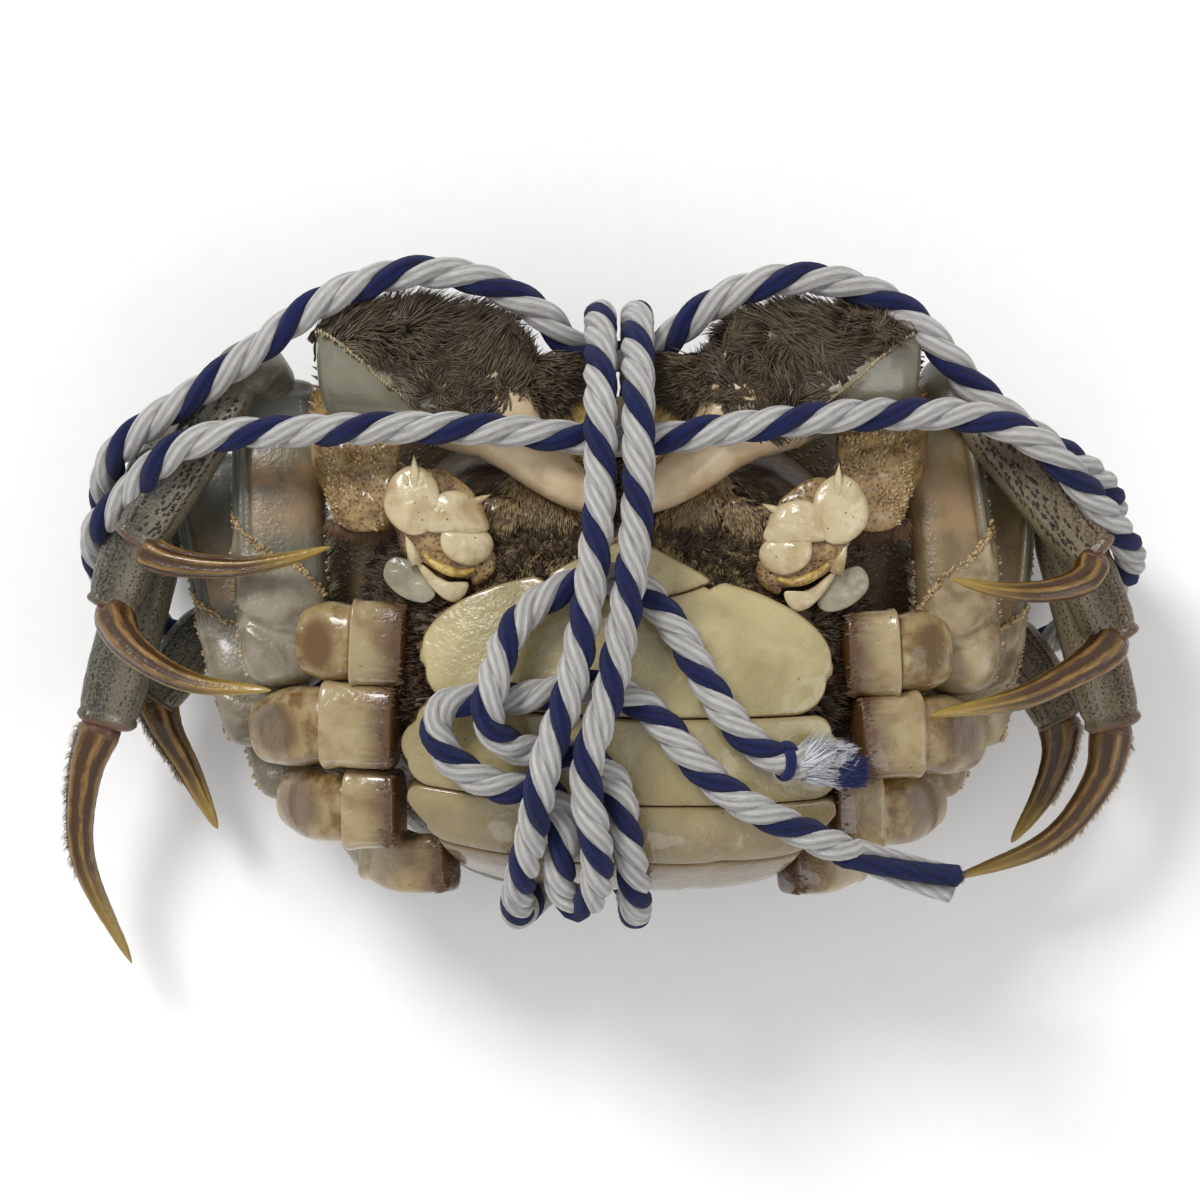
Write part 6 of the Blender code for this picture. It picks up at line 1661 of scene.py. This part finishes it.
def make_leg_base(name, leg, looks):
    """The square cream joint at the trunk, and the rounded glassy one tucked against it."""
    number = name[-1]
    wide, thick = BASE_HALF_WIDTH[number] + 0.4, BASE_HALF_THICK[number] + 0.2
    seam = COXA_END[name]

    def block_shape(share, angle):
        rim = 0.25 * bell(share, seam - 0.03, 0.04)
        dish = -0.22 * bell(share, seam * 0.5, seam * 0.3) * max(math.sin(angle), 0)
        return rim + dish + 0.07 * grain((share * 12, angle * 3, number_seed(name)), 2.0)

    block = Limb(leg["base"], ((0, wide * 0.97, thick), (seam * 0.5, wide, thick),
                               (seam, wide * 0.98, thick * 0.98),
                               (1, wide * 0.7, thick * 0.7)), power=4.6, shape=block_shape)
    item = skin_limb(f"leg_{name}_coxa", block, looks["cream"], -0.04, seam, (0.8, 0.5), sides=56, rings=28)
    # brown stain and painted shade, fading from the joint's inner edge where it meets the trunk
    add_values(item, "stain_and_shade", [clamp(1 - (value + 0.03) * block.length / STAIN_AND_SHADE_LENGTH) for value in read_values(item, "along")])
    finish_piece(item, "belly_shell", f"leg_{name}_base")

    def oval_dish(share, angle):
        return bell(share, seam + (1 - seam) * 0.42, (1 - seam) * 0.3) * bell(angle, math.pi / 2 + 0.1, 0.75)

    def oval_shape(share, angle):
        rim = 0.25 * bell(share, seam + (1 - seam) * 0.78, 0.06) * max(math.sin(angle), 0)
        return rim - 0.5 * oval_dish(share, angle) + 0.05 * grain((share * 10, angle * 2,
                                                                   number_seed(name)), 2.4)

    span = 1 - seam
    oval = Limb(leg["base"], ((0, wide * 0.9, thick * 0.9), (seam, wide * 0.88, thick * 0.9),
                              (seam + span * 0.35, wide * 0.94, thick * 1.0),
                              (seam + span * 0.75, wide * 0.8, thick * 0.92), (1, wide * 0.6, thick * 0.66)),
                power=2.5, shape=oval_shape)
    item = skin_limb(f"leg_{name}_ischium", oval, looks["ischium"], seam - 0.04, 1.04, (0.4, 2.2),
                     sides=48, rings=30)
    turns = np.arctan2(read_values(item, "round_sin"), read_values(item, "round_cos"))
    dishes = [oval_dish(float(share), float(turn)) for share, turn in zip(read_values(item, "along"), turns)]
    add_values(item, "dish", dishes)
    finish_piece(item, "belly_shell", f"leg_{name}_base")
    return block


def number_seed(name):
    return sum(ord(letter) for letter in name) % 17


def add_values(item, label, values):
    data = item.data.attributes.new(label, "FLOAT", "POINT").data
    data.foreach_set("value", np.asarray(values, dtype=np.float32))


def add_inner(item, name):
    """1 at the edge of the limb that is nearer to the crab's middle, -1 at the other."""
    sign = -1 if name.startswith("left") else 1
    add_values(item, "inner", sign * read_values(item, "round_cos"))


def make_merus(name, leg, looks):
    """The broad third joint: flat faces with a ridge along, a grained rim across and a lumpy root."""
    wide, thick = leg["merus_size"]
    sign = -1 if name.startswith("left") else 1
    sections = ((0, wide * 0.7, thick * 0.8), (0.08, wide * 0.9, thick), (0.35, wide, thick),
                (0.7, wide * 0.98, thick * 0.97), (0.9, wide * 0.92, thick * 0.92),
                (1, wide * 0.84, thick * 0.84))

    def shape(share, angle):
        inner = sign * math.cos(angle)
        upper = clamp(math.sin(angle) * 4)
        ridges = 0.3 * bell(inner, -0.66, 0.08) - 0.34 * bell(inner, -0.82, 0.06) - 0.3 * bell(inner,
                                                                                               -0.5, 0.05)
        root = clamp((RIM_OF_GRAINS - RIM_SLANT * inner - share) / 0.1)
        lumps = 0.55 * grain((share * leg_span, angle * 2.0, number_seed(name)), 4.5)
        fold = -0.8 * bell(share + 0.08 * inner, 0.17, 0.022)
        joint = -0.3 * bell(share, 0.95, 0.015)
        return upper * (ridges * (1 - root) + root * (lumps + fold)) + joint

    leg_span = (Vector(leg["merus"][-1]) - Vector(leg["merus"][0])).length
    limb = Limb(leg["merus"], sections, power=3.2, shape=shape, flip=True)
    look = looks["merus"] if name.startswith("left") else looks["merus_warm"]
    item = skin_limb(f"leg_{name}_long_joint", limb, look, 0, 1, (1.4, 1.2), sides=66, rings=76)
    add_inner(item, name)
    finish_piece(item, "limb_shell", f"leg_{name}_merus")
    draw = random.Random(number_seed(name) + 3)
    seeds = []
    for edge in (0.0, math.pi):
        for k in range(90):
            share = 0.05 + 0.9 * k / 90 + draw.uniform(-0.004, 0.004)
            angle = edge + draw.uniform(-0.3, 0.3)
            root = limb.point(share, angle)
            size = draw.uniform(0.1, 0.22) * (1.6 - share)
            seeds.append((root, limb.normal(share, angle) + Vector((0, 0.4, 0)), size * 1.5, size, 0.75))
    for k in range(110):
        inner = -0.95 + 1.9 * k / 110
        share = RIM_OF_GRAINS - RIM_SLANT * inner + draw.uniform(-0.012, 0.012)
        angle = math.acos(clamp(sign * inner, -1, 1))
        size = draw.uniform(0.16, 0.34)
        seeds.append((limb.point(share, angle), limb.normal(share, angle) + Vector((0, 0.3, 0)),
                      size * 1.5, size, 0.75))
    item = studs(f"leg_{name}_edge_grains", seeds, looks["grain"])
    finish_piece(item, "limb_shell", f"leg_{name}_merus")
    return limb


def make_shank(name, leg, looks):
    """Wrist and long flat joint in one: ribbed, pitted, with a swollen rim at the end."""
    wide, thick = leg["shank_size"]
    wrist = 1.02
    sections = ((0, wide * wrist * 0.8, thick * 0.86), (0.06, wide * wrist, thick),
                (0.14, wide * wrist, thick * 1.1),
                (0.24, wide * wrist, thick * 1.1), (0.31, wide * 1.1, thick),
                (0.36, wide * 0.92, thick * 0.93),
                (0.44, wide * 1.02, thick), (0.8, wide * 1.06, thick * 1.02),
                (0.95, wide * 0.98, thick * 0.98),
                (1, wide * 0.82, thick * 0.86))

    def shape(share, angle):
        ribs = 0.0
        if share > 0.36:
            blend = clamp((share - 0.36) / 0.08) * clamp((1 - share) / 0.05)
            c, s = math.cos(angle), math.sin(angle)
            ribs = blend * (0.22 * bell(c, 0.45, 0.16) + 0.22 * bell(c, -0.45, 0.16)
                            - 0.2 * bell(c, 0.0, 0.2)) * max(s, 0)
        rim = 0.3 * bell(share, 0.975, 0.012) - 0.2 * bell(share, 0.95, 0.01)
        return ribs + rim - 0.3 * bell(share, 0.355, 0.012) + 0.05 * grain((share * 50, angle * 4, 5), 1.4)

    limb = Limb(leg["shank"], sections, power=3.2, shape=shape, face_at_end=True)
    look = looks["olive"] if name.startswith("left") else looks["olive_warm"]
    item = skin_limb(f"leg_{name}_wrist_and_shin", limb, look, 0, 1.0, (1.4, 0.6), sides=52, rings=92)
    add_inner(item, name)
    finish_piece(item, "limb_shell", f"leg_{name}_shank")
    return limb


def dactyl_groove(angle):
    """1 in the three grooves of each face of the last joint, 0 on its ribs."""
    return 0.5 - 0.5 * math.cos(angle * DACTYL_RIBS)


def make_dactyl(name, leg, looks):
    number = name[-1]
    wide, thick = DACTYL_RADIUS[number]
    sections = ((0, wide * 0.84, thick * 0.86), (0.06, wide * 1.02, thick * 1.05), (0.16, wide * 0.9, thick),
                (0.3, wide * 0.74, thick * 0.84), (0.6, wide * 0.54, thick * 0.6),
                (0.88, wide * 0.28, thick * 0.31), (0.97, wide * 0.13, thick * 0.14), (1, 0.08, 0.08))

    def shape(share, angle):
        depth = DACTYL_GROOVE * eased(sections, share)[0] * clamp((0.93 - share) / 0.2) * clamp((share - 0.02) / 0.1)
        return -depth * dactyl_groove(angle) + 0.04 * grain((share * 60, angle * 3, 1), 1.5)

    limb = Limb(leg["dactyl"], sections, power=2.1, shape=shape)
    item = skin_limb(f"leg_{name}_tip_joint", limb, looks["horn"], 0, 1, (0.9, 0.12), sides=48, rings=72)
    turns = np.arctan2(read_values(item, "round_sin"), read_values(item, "round_cos"))
    add_values(item, "groove", 0.5 - 0.5 * np.cos(turns * DACTYL_RIBS))
    finish_piece(item, "horn", f"leg_{name}_dactyl")
    collar = Limb([tuple(limb.point_on_line(-0.02)), tuple(limb.point_on_line(0.035)),
                   tuple(limb.point_on_line(0.09))],
                  ((0, wide * 0.78, thick * 0.78), (0.5, wide * 0.96, thick * 1.0),
                   (1, wide * 0.8, thick * 0.85)),
                  power=2.0)
    item = skin_limb(f"leg_{name}_joint_skin", collar, looks["membrane"], 0, 0.75, (0.3, 0.4), sides=40,
                     rings=10)
    finish_piece(item, "horn", f"leg_{name}_dactyl")
    return limb


def read_values(item, label):
    values = np.empty(len(item.data.vertices), dtype=np.float32)
    item.data.attributes[label].data.foreach_get("value", values)
    return values


def mirrored(route, side):
    return [(-side * x, y, z) for x, y, z in route]


PALM_CURVE = smooth_points(PALM_LINE), lengths_along(smooth_points(PALM_LINE))


def fur_top(share):
    """The angle on the hand's skin at which its coat ends and the bare grey face begins."""
    dense, along = PALM_CURVE
    middle = point_at(dense, along, share * along[-1])
    (x_a, y_a), (x_b, y_b) = FUR_LINE
    line_y = y_a + (y_b - y_a) * (middle.x - x_a) / (x_b - x_a)
    wide = eased(PALM_SECTIONS, share)[0]
    return clamp(math.acos(clamp((line_y - middle.y) / wide, -0.99, 0.99)), *FUR_TOP_LIMITS)


def make_hand(side, prefix, looks):
    """The hand with its fixed finger, the toothed line beside the coat, and the free finger."""
    def hand_shape(share, angle):
        seam = angle - fur_top(share)
        ridge = 0.45 * bell(seam, 0.05, 0.09) * clamp((0.56 - share) / 0.06)
        sunk = -0.5 * clamp(-seam / 0.25) * clamp((0.6 - share) / 0.08) if angle < math.pi else 0.0
        crease = -0.2 * bell(share, 0.6, 0.03)
        swell = 1.5 * bell(share, 0.46, 0.16) * clamp(math.cos(angle) + 0.3) * clamp(-seam / 0.3)
        return ridge + sunk + crease + swell + 0.06 * grain((share * 30, angle * 3, side), 2.0)

    hand = Limb(mirrored(PALM_LINE, side), PALM_SECTIONS, power=2.25, shape=hand_shape, flip=side < 0)
    item = skin_limb(prefix + "_hand", hand, looks["claw"], 0, 1, (0.9, 0.4), sides=64, rings=90)
    finish_piece(item, "claw_shell", prefix + "_palm")
    draw = random.Random(11 + side)
    seeds = []
    for k in range(58):
        share = 0.015 + 0.5 * k / 58
        angle = fur_top(share) + 0.06
        way = hand.normal(share, angle) + hand.frame(share)[1] * 0.5
        size = draw.uniform(0.16, 0.26)
        seeds.append((hand.point(share, angle), way, size * 2.1, size, 0.45))
    for k in range(11):
        share = 0.66 + 0.3 * k / 11
        size = draw.uniform(0.24, 0.4) * (1.3 - 0.6 * k / 11)
        seeds.append((hand.point(share, 0.15), hand.normal(share, 0.15), size * 1.8, size, 0.7))
    item = studs(prefix + "_hand_teeth", seeds, looks["ivory"])
    finish_piece(item, "claw_shell", prefix + "_palm")

    finger = Limb(mirrored(THUMB_LINE, side), THUMB_SECTIONS, power=2.2, flip=side < 0,
                  shape=lambda share, angle: 0.08 * grain((share * 16, angle * 3, 4), 1.2))
    item = skin_limb(prefix + "_free_finger", finger, looks["yellow"], 0, 1, (1.0, 0.3), sides=40, rings=60)
    finish_piece(item, "claw_shell", prefix + "_thumb")
    seeds = []
    for k in range(9):
        share = 0.42 + 0.52 * k / 9
        for angle in (math.pi - 0.3, math.pi - 0.9):
            size = draw.uniform(0.26, 0.42) * (1.2 - 0.4 * k / 9)
            seeds.append((finger.point(share, angle), finger.normal(share, angle), size * 1.9, size, 0.6))
    item = studs(prefix + "_finger_teeth", seeds, looks["jaw"])
    finish_piece(item, "claw_shell", prefix + "_thumb")
    return hand, finger


def make_arm(side, prefix, looks):
    """The arm: a squarish rough plate with its grains and edge spines, on the joint's own shell."""
    sections = ((0, 3.4, 2.6), (0.2, 4.2, 2.9), (0.5, 4.4, 3.0), (0.75, 3.6, 3.0), (0.95, 3.4, 2.8),
                (1, 2.4, 2.0))
    arm = Limb(mirrored(CLAW_ARM, side), sections, power=2.6, flip=side < 0,
               shape=lambda share, angle: 0.25 * grain((share * 14, angle * 2.5, side), 2.2))
    item = skin_limb(prefix + "_arm_shell", arm, looks["amber"], 0, 1, (1.4, 1.0), sides=60, rings=70)
    finish_piece(item, "claw_shell", prefix + "_arm")
    outline = [(-side * x, y) for x, y in ARM_PLATE]
    plate = shield(prefix + "_arm_plate", outline, ARM_PLATE_TOP, (-0.3, -0.12), 1.5, looks["amber"],
                   lump=0.3,
                   under=3.0)
    finish_piece(plate, "claw_shell", prefix + "_arm")
    tree = tree_of([plate])
    draw = random.Random(23 + side)
    seeds = []
    for _ in range(900):
        x, y = draw.uniform(-32.6, -24.2), draw.uniform(7.6, 19)
        place, normal, _, _ = tree.ray_cast(Vector((-side * x, y, 60)), Vector((0, 0, -1)))
        if place is None or grain((x * 2.4, y * 0.6, 5), 2.0) < -0.05:
            continue
        size = draw.uniform(0.08, 0.24)
        seeds.append((place, normal + Vector((0, 0.5, 0)), size * 1.8, size, 0.6))
    for k in range(8):
        root = Vector((side * (33.3 - 0.05 * k), 18.4 + 1.0 * k, 29.6 - 0.1 * k))
        size = draw.uniform(0.34, 0.5)
        seeds.append((root, (side * 1.0, 0.5, 0.45), size * 3.2, size, 0.15))
    item = studs(prefix + "_arm_grains", seeds, looks["grain"])
    finish_piece(item, "claw_shell", prefix + "_arm")
    hairs = []
    for _ in range(110):
        x = draw.uniform(-32.0, -24.4)
        y = 7.4 + 0.6 * draw.random() + 0.25 * max(0.0, abs(x + 27.5) - 1.5)
        way = (draw.uniform(-0.4, 0.4), -1.0, 0.0)
        hairs.append(((-side * x, y, 33.6), (0, -0.4, 0.9), way, (draw.random(), 0.9),
                      draw.uniform(0.9, 2.0), 0.3))
    fringe = tufts(prefix + "_arm_fringe", hairs, looks["comb"], 6, 0.1, 0.2, clump=0.6, seed=90 + side)
    finish_piece(fringe, "bristle", prefix + "_arm")


def make_claw_base(side, prefix, looks):
    """The short joints that carry the claw: overlapping rounded plates, two of them spined."""
    node = prefix + "_base"
    shift_x, shift_y = RIGHT_CLAW_SHIFT if side > 0 else (0.0, 0.0)

    def placed(x, y):
        return -side * x + shift_x, y + shift_y

    core = Limb(mirrored(CLAW_BASE, side), ((0, 3.0, 2.2), (0.3, 3.6, 2.0), (0.65, 4.0, 2.0), (1, 3.2, 1.8)),
                power=2.6, flip=side < 0, shape=lambda share,
                angle: 0.25 * grain((share * 9, angle * 2, side), 1.5))
    item = skin_limb(prefix + "_base_core", core, looks["jaw"], 0, 1, (0.8, 0.9), sides=48, rings=36)
    finish_piece(item, "claw_shell", node)
    for label, outline, top, lean, height, look in CLAW_PLATES:
        middle = np.mean(outline, axis=0)
        outline = (np.array(outline) - middle) * CLAW_PLATE_GROWTH + middle
        item = shield(f"{prefix}_{label}", [placed(x, y) for x, y in outline],
                      top + height * CLAW_PLATE_SUNK, lean,
                      height * (1 - CLAW_PLATE_SUNK), looks[look], seed=len(label), lump=0.13)
        finish_piece(item, "claw_shell", node)
    route = [(*placed(x, y), z) for x, y, z in CLAW_CRESCENT]
    crescent = Limb(route, ((0, 0.3, 0.5), (0.5, 0.55, 0.8), (1, 0.3, 0.5)), power=2.2, flip=side < 0)
    item = skin_limb(prefix + "_yellow_fold", crescent, looks["yellow"], 0, 1, (0.3, 0.3), sides=24, rings=30)
    finish_piece(item, "claw_shell", node)
    seeds = []
    for (x, y, z), (dx, dy, dz), length, radius in CLAW_SPINES:
        seeds.append(((*placed(x, y), z), (-side * dx, dy, dz), length, radius, 0.1))
    item = studs(prefix + "_base_spines", seeds, looks["ivory"], sides=16)
    finish_piece(item, "claw_shell", node)


def make_mouth(looks):
    """The outer jaws: two plates and two feelers a side, and the dark box beside the claw's root."""
    for side, label in ((-1, "left"), (1, "right")):
        for part, route, sections in JAW_PARTS:
            limb = Limb([(side * x, y, z) for x, y, z in route], sections, power=3.0, flip=side < 0,
                        shape=lambda share, angle: 0.2 * grain((share * 8, angle * 2, 3), 1.3))
            item = skin_limb(f"jaw_{label}_{part}", limb, looks["jaw"], 0, 1, (0.6, 0.6), sides=40, rings=26)
            finish_piece(item, "claw_shell", "mouthparts")
        shift_x, shift_y = RIGHT_CLAW_SHIFT if side > 0 else (0.0, 0.0)
        outline = [(-side * x + shift_x, y + shift_y) for x, y in MOUTH_BOX]
        box = shield(f"jaw_{label}_box", outline, 36.3, (0.05, 0.05), 0.7, looks["box"], lump=0.03, under=1.4)
        finish_piece(box, "claw_shell", "mouthparts")


def make_eyes_and_feelers(looks):
    for side, label in ((-1, "left"), (1, "right")):
        stalk = Limb([(side * 10.8, 21.4, 20.2), (side * 13.4, 23.4, 20.4), (side * 16, 24.4, 20.6),
                      (side * 19, 25.6, 20.8)],
                     ((0, 1.3, 1.3), (0.3, 1.15, 1.15), (0.5, 1.3, 1.3), (0.62, 1.8, 1.8), (0.78, 2.1, 2.1),
                      (0.92, 1.6, 1.6), (1, 0.9, 0.9)), power=2.0)
        item = skin_limb(f"eye_{label}_ball", stalk, looks["eye"], 0, 1, (0.5, 0.8), sides=30, rings=36)
        finish_piece(item, "eye", f"eye_{label}")
        route = [(side * 7.6, 22, 21.4), (side * 9.4, 25, 21.6), (side * 13, 28, 21), (side * 18, 30, 19.6),
                 (side * 23, 30.6, 18)]
        feeler = Limb(route, ((0, 1.1, 1.1), (0.14, 1.1, 1.1), (0.2, 0.6, 0.6), (0.6, 0.42, 0.42),
                              (1, 0.2, 0.2)),
                      power=2.0, shape=lambda share,
                      angle: 0.05 * math.cos(share * 320) * clamp(share * 6 - 1))
        item = skin_limb(f"feeler_{label}", feeler, looks["palm_olive"], 0, 1, (0.4, 0.2), sides=14,
                         rings=120)
        finish_piece(item, "limb_shell", f"antenna_{label}")


def mitten_coat(side, prefix, hand, finger, looks):
    """The mitten: matted tufts all over the hand's outer face and the root of the free finger."""
    draw = random.Random(41 if side < 0 else 73)
    seeds = []
    rows, columns = 31, 27
    for row in range(rows):
        for column in range(columns):
            share = 0.012 + 0.6 * (column + draw.uniform(-0.5, 0.5)) / columns
            top = fur_top(share)
            low = -1.5
            angle = low + (top - 0.03 - low) * clamp((row + draw.uniform(-0.5, 0.5)) / (rows - 1))
            if share > COAT_END + COAT_END_ABOVE * max(math.cos(angle), 0) + draw.uniform(-0.03, 0.03):
                continue
            root = hand.point(share, angle)
            normal = hand.normal(share, angle)
            tangent, out, up = hand.frame(share)
            swirl = grain(root, 2.6, 3.0) * 2.4
            ahead = 0.6 + 1.2 * grain(root, 3.4, 8.0) - 0.9 * clamp((share - 0.4) / 0.1)
            lie = tangent * ahead + out * (0.3 + swirl) + up * grain(root, 3.0, 5.0) * 1.6
            edge = clamp(math.cos(angle))
            length = draw.uniform(2.2, 3.7) * (1.0 + 0.5 * edge) * (1.0 if share > 0.05 else 0.75)
            length *= 1 - 0.35 * clamp((share - 0.42) / 0.08)
            lift = 0.09 + 0.4 * edge + 0.2 * max(grain(root, 3.0, 11.0), 0) + 0.04 * draw.random()
            seeds.append((tuple(root), tuple(normal), tuple(lie), (share, angle / (2 * math.pi) + 0.5),
                          length, lift))
    item = tufts(prefix + "_mitten", seeds, looks["mitten"], MITTEN_WISPS, MITTEN_WIDTH, 1.0, clump=0.72,
                 seed=7 + side, curl=0.12)
    finish_piece(item, "bristle", prefix + "_palm")
    seeds = []
    for _ in range(230):
        share, angle = draw.uniform(0.0, 0.36), draw.uniform(-1.9, 2.6)
        root, normal = finger.point(share, angle), finger.normal(share, angle)
        tangent, out, up = finger.frame(share)
        lie = tangent * 0.8 + out * 0.35 + up * grain(root, 3.0)
        length = draw.uniform(2.6, 4.4) * (1 - 0.9 * share) * (1 + 0.3 * clamp(math.cos(angle)))
        seeds.append((tuple(root), tuple(normal), tuple(lie), (share, angle / (2 * math.pi) + 0.5),
                      length, draw.uniform(0.25, 0.6)))
    item = tufts(prefix + "_finger_coat", seeds, looks["mitten"], FINGER_WISPS, FINGER_WISP_WIDTH, 0.8,
                 clump=0.75, seed=17 + side)
    finish_piece(item, "bristle", prefix + "_thumb")


def coat_on(name, look, limb, spots, lie_of, per_tuft, width, spread, seed, slot, node, clump=0.4, curl=0.25,
            sink=0.15):
    """Tufts at (share, angle, length, lift) spots of a limb's skin."""
    seeds = []
    for share, angle, length, lift in spots:
        root, normal = limb.point(share, angle), limb.normal(share, angle)
        lie = lie_of(limb, share, angle)
        seeds.append((tuple(root), tuple(normal), tuple(lie), (share, angle / (2 * math.pi) + 0.5),
                      length, lift))
    item = tufts(name, seeds, look, per_tuft, width, spread, clump=clump, seed=seed, curl=curl, sink=sink)
    return finish_piece(item, slot, node)


def shank_bristles(name, limb, looks):
    """Short black bristles lying in their pits, in rows along the flats of the long joint."""
    draw = random.Random(number_seed(name) * 3 + 1)
    sign = -1 if name.startswith("left") else 1
    spots = []
    rows, count = (PIT_ROWS_FIRST, 24) if name[-1] == "1" else (PIT_ROWS_OTHERS, 34)
    for row, inner in enumerate(rows):
        for k in range(count):
            share = 0.4 + 0.54 * (k + 0.5 * (row % 2) + draw.uniform(-0.3, 0.3)) / count
            angle = math.acos(clamp(sign * (inner + draw.uniform(-0.05, 0.05)), -1, 1))
            spots.append((share, angle, draw.uniform(*PIT_LENGTHS[name[-1] == "1"]), 0.1))
    return coat_on(f"leg_{name}_rows_of_bristles", looks["pit"], limb, spots,
                   lambda body, share, angle: body.frame(share)[0] + body.frame(share)[1] * 0.25, 2,
                   0.29 if name[-1] == "1" else 0.15, 0.06,
                   number_seed(name), "bristle", f"leg_{name}_shank", sink=0.02)


def coxa_comb(name, block, looks):
    """Brown bristles that lie outwards over the trunk edge of the first joint."""
    draw = random.Random(number_seed(name) + 61)
    spots = []
    for k in range(40):
        angle = 0.25 + (math.pi - 0.5) * (k + draw.uniform(-0.4, 0.4)) / 40
        spots.append((draw.uniform(-0.03, 0.03), angle, draw.uniform(0.5, 1.1), draw.uniform(0.08, 0.2)))
    return coat_on(f"leg_{name}_coxa_comb", looks["comb"], block, spots,
                   lambda body, share, angle: body.frame(share)[0], 6, 0.09, 0.16, number_seed(name) + 5,
                   "bristle", f"leg_{name}_base", clump=0.5, curl=0.1)


def edge_hairs(name, limb, looks, node, start, end, edge, length, count, look, seed):
    """A sparse fringe of hair along one edge of a limb."""
    draw = random.Random(seed)
    spots = [(start + (end - start) * (k + draw.random()) / count, edge + draw.uniform(-0.25, 0.25),
              length * draw.uniform(0.6, 1.15), draw.uniform(0.45, 0.8)) for k in range(count)]
    return coat_on(name, looks[look], limb, spots, lambda body, share, angle: body.frame(share)[0],
                   7, 0.1, 0.45, seed, "bristle", node, clump=0.4, curl=0.15)


def seeds_from_above(tree, blockers, count, box, chosen, draw):
    """Places that are seen from the belly side, with their normals, inside a box of x and y."""
    found = []
    for _ in range(count):
        x, y = draw.uniform(box[0], box[1]), draw.uniform(box[2], box[3])
        if not chosen(x, y):
            continue
        place, normal, _, _ = tree.ray_cast(Vector((x, y, 60)), Vector((0, 0, -1)))
        if place is None:
            continue
        over = blockers.ray_cast(Vector((x, y, 60)), Vector((0, 0, -1))) if blockers else (None,)
        if over[0] is not None and over[0].z > place.z + 1.2:
            continue
        found.append((place, normal if normal.z > 0 else -normal))
    return found


def trunk_coats(thorax, jaws, abdomen, looks):
    """Felt between mouth and belly plates, and the dark fringe all round the plates."""
    draw = random.Random(19)
    plates = tree_of(abdomen)
    middle = OUTLINE_MIDDLE

    def place_on_unwrap(place):
        way = Vector((place.x, place.y)) - middle
        return (math.atan2(way.y, way.x) / (2 * math.pi) + 0.5, way.length / 34)

    ground = tree_of([thorax] + jaws)
    seeds = []
    spots = seeds_from_above(ground, plates, FELT_TRIES, (-20, 20, 2.0, 17.5),
                             lambda x, y: y < 17 - 0.02 * x * x, draw)
    for place, normal in spots:
        lie = Vector((place.x * 0.03 + 0.5 * grain(place, 4.0, 2.0), -1.0, 0.1))
        seeds.append((tuple(place), tuple(normal), tuple(lie), place_on_unwrap(place),
                      draw.uniform(0.8, 1.7), draw.uniform(0.15, 0.4)))
    felt = tufts("mouth_felt_tufts", seeds, looks["felt"], FELT_WISPS, FELT_WIDTH, 0.3, clump=0.6, seed=3,
                 curl=0.15)
    finish_piece(felt, "bristle", "thorax")
    rim_seeds = []
    spots = seeds_from_above(tree_of([thorax]), plates, FRINGE_TRIES, (-29, 29, -33, 9), lambda x,
                             y: True, draw)
    for place, normal in spots:
        way = Vector((place.x, (place.y + 8) * 0.7, 0))
        lie = way.normalized() + Vector((grain(place, 3.0, 1.0), grain(place, 3.0, 4.0), 0.2)) * 0.5
        rim_seeds.append((tuple(place), tuple(normal), tuple(lie), place_on_unwrap(place),
                          draw.uniform(1.2, 2.6), draw.uniform(0.3, 0.8)))
    fringe = tufts("belly_fringe_tufts", rim_seeds[:FRINGE_TUFTS], looks["bristle"], FRINGE_WISPS,
                   FRINGE_WIDTH, 0.35, clump=0.5, seed=5, curl=0.25)
    finish_piece(fringe, "bristle", "thorax")


def main():
    looks = make_looks()
    make_stage()
    make_ropes(looks)
    make_carapace(looks)
    thorax = make_thorax(looks)
    abdomen = make_abdomen(looks)
    for name, leg in LEGS.items():
        block = make_leg_base(name, leg, looks)
        coxa_comb(name, block, looks)
        merus = make_merus(name, leg, looks)
        shank = make_shank(name, leg, looks)
        shank_bristles(name, shank, looks)
        dactyl = make_dactyl(name, leg, looks)
        seed = number_seed(name) * 7
        edge_hairs(f"leg_{name}_long_joint_fringe", merus, looks, f"leg_{name}_merus", 0.1, 0.95,
                   math.pi if name.startswith("left") else 0.0, 1.6, 44, "pale_hair", seed)
        if name[-1] in "34":
            edge_hairs(f"leg_{name}_tip_fringe", dactyl, looks, f"leg_{name}_dactyl", 0.05, 0.6,
                       0.0 if name.startswith("left") else math.pi, 0.9, 46, "pale_hair", seed + 1)
    for side, prefix in ((-1, "claw_left"), (1, "claw_right")):
        make_claw_base(side, prefix, looks)
        make_arm(side, prefix, looks)
        hand, finger = make_hand(side, prefix, looks)
        mitten_coat(side, prefix, hand, finger, looks)
    make_mouth(looks)
    jaws = [item for item in bpy.data.objects if item.name.startswith("jaw_")]
    make_eyes_and_feelers(looks)
    trunk_coats(thorax, jaws, abdomen, looks)


main()
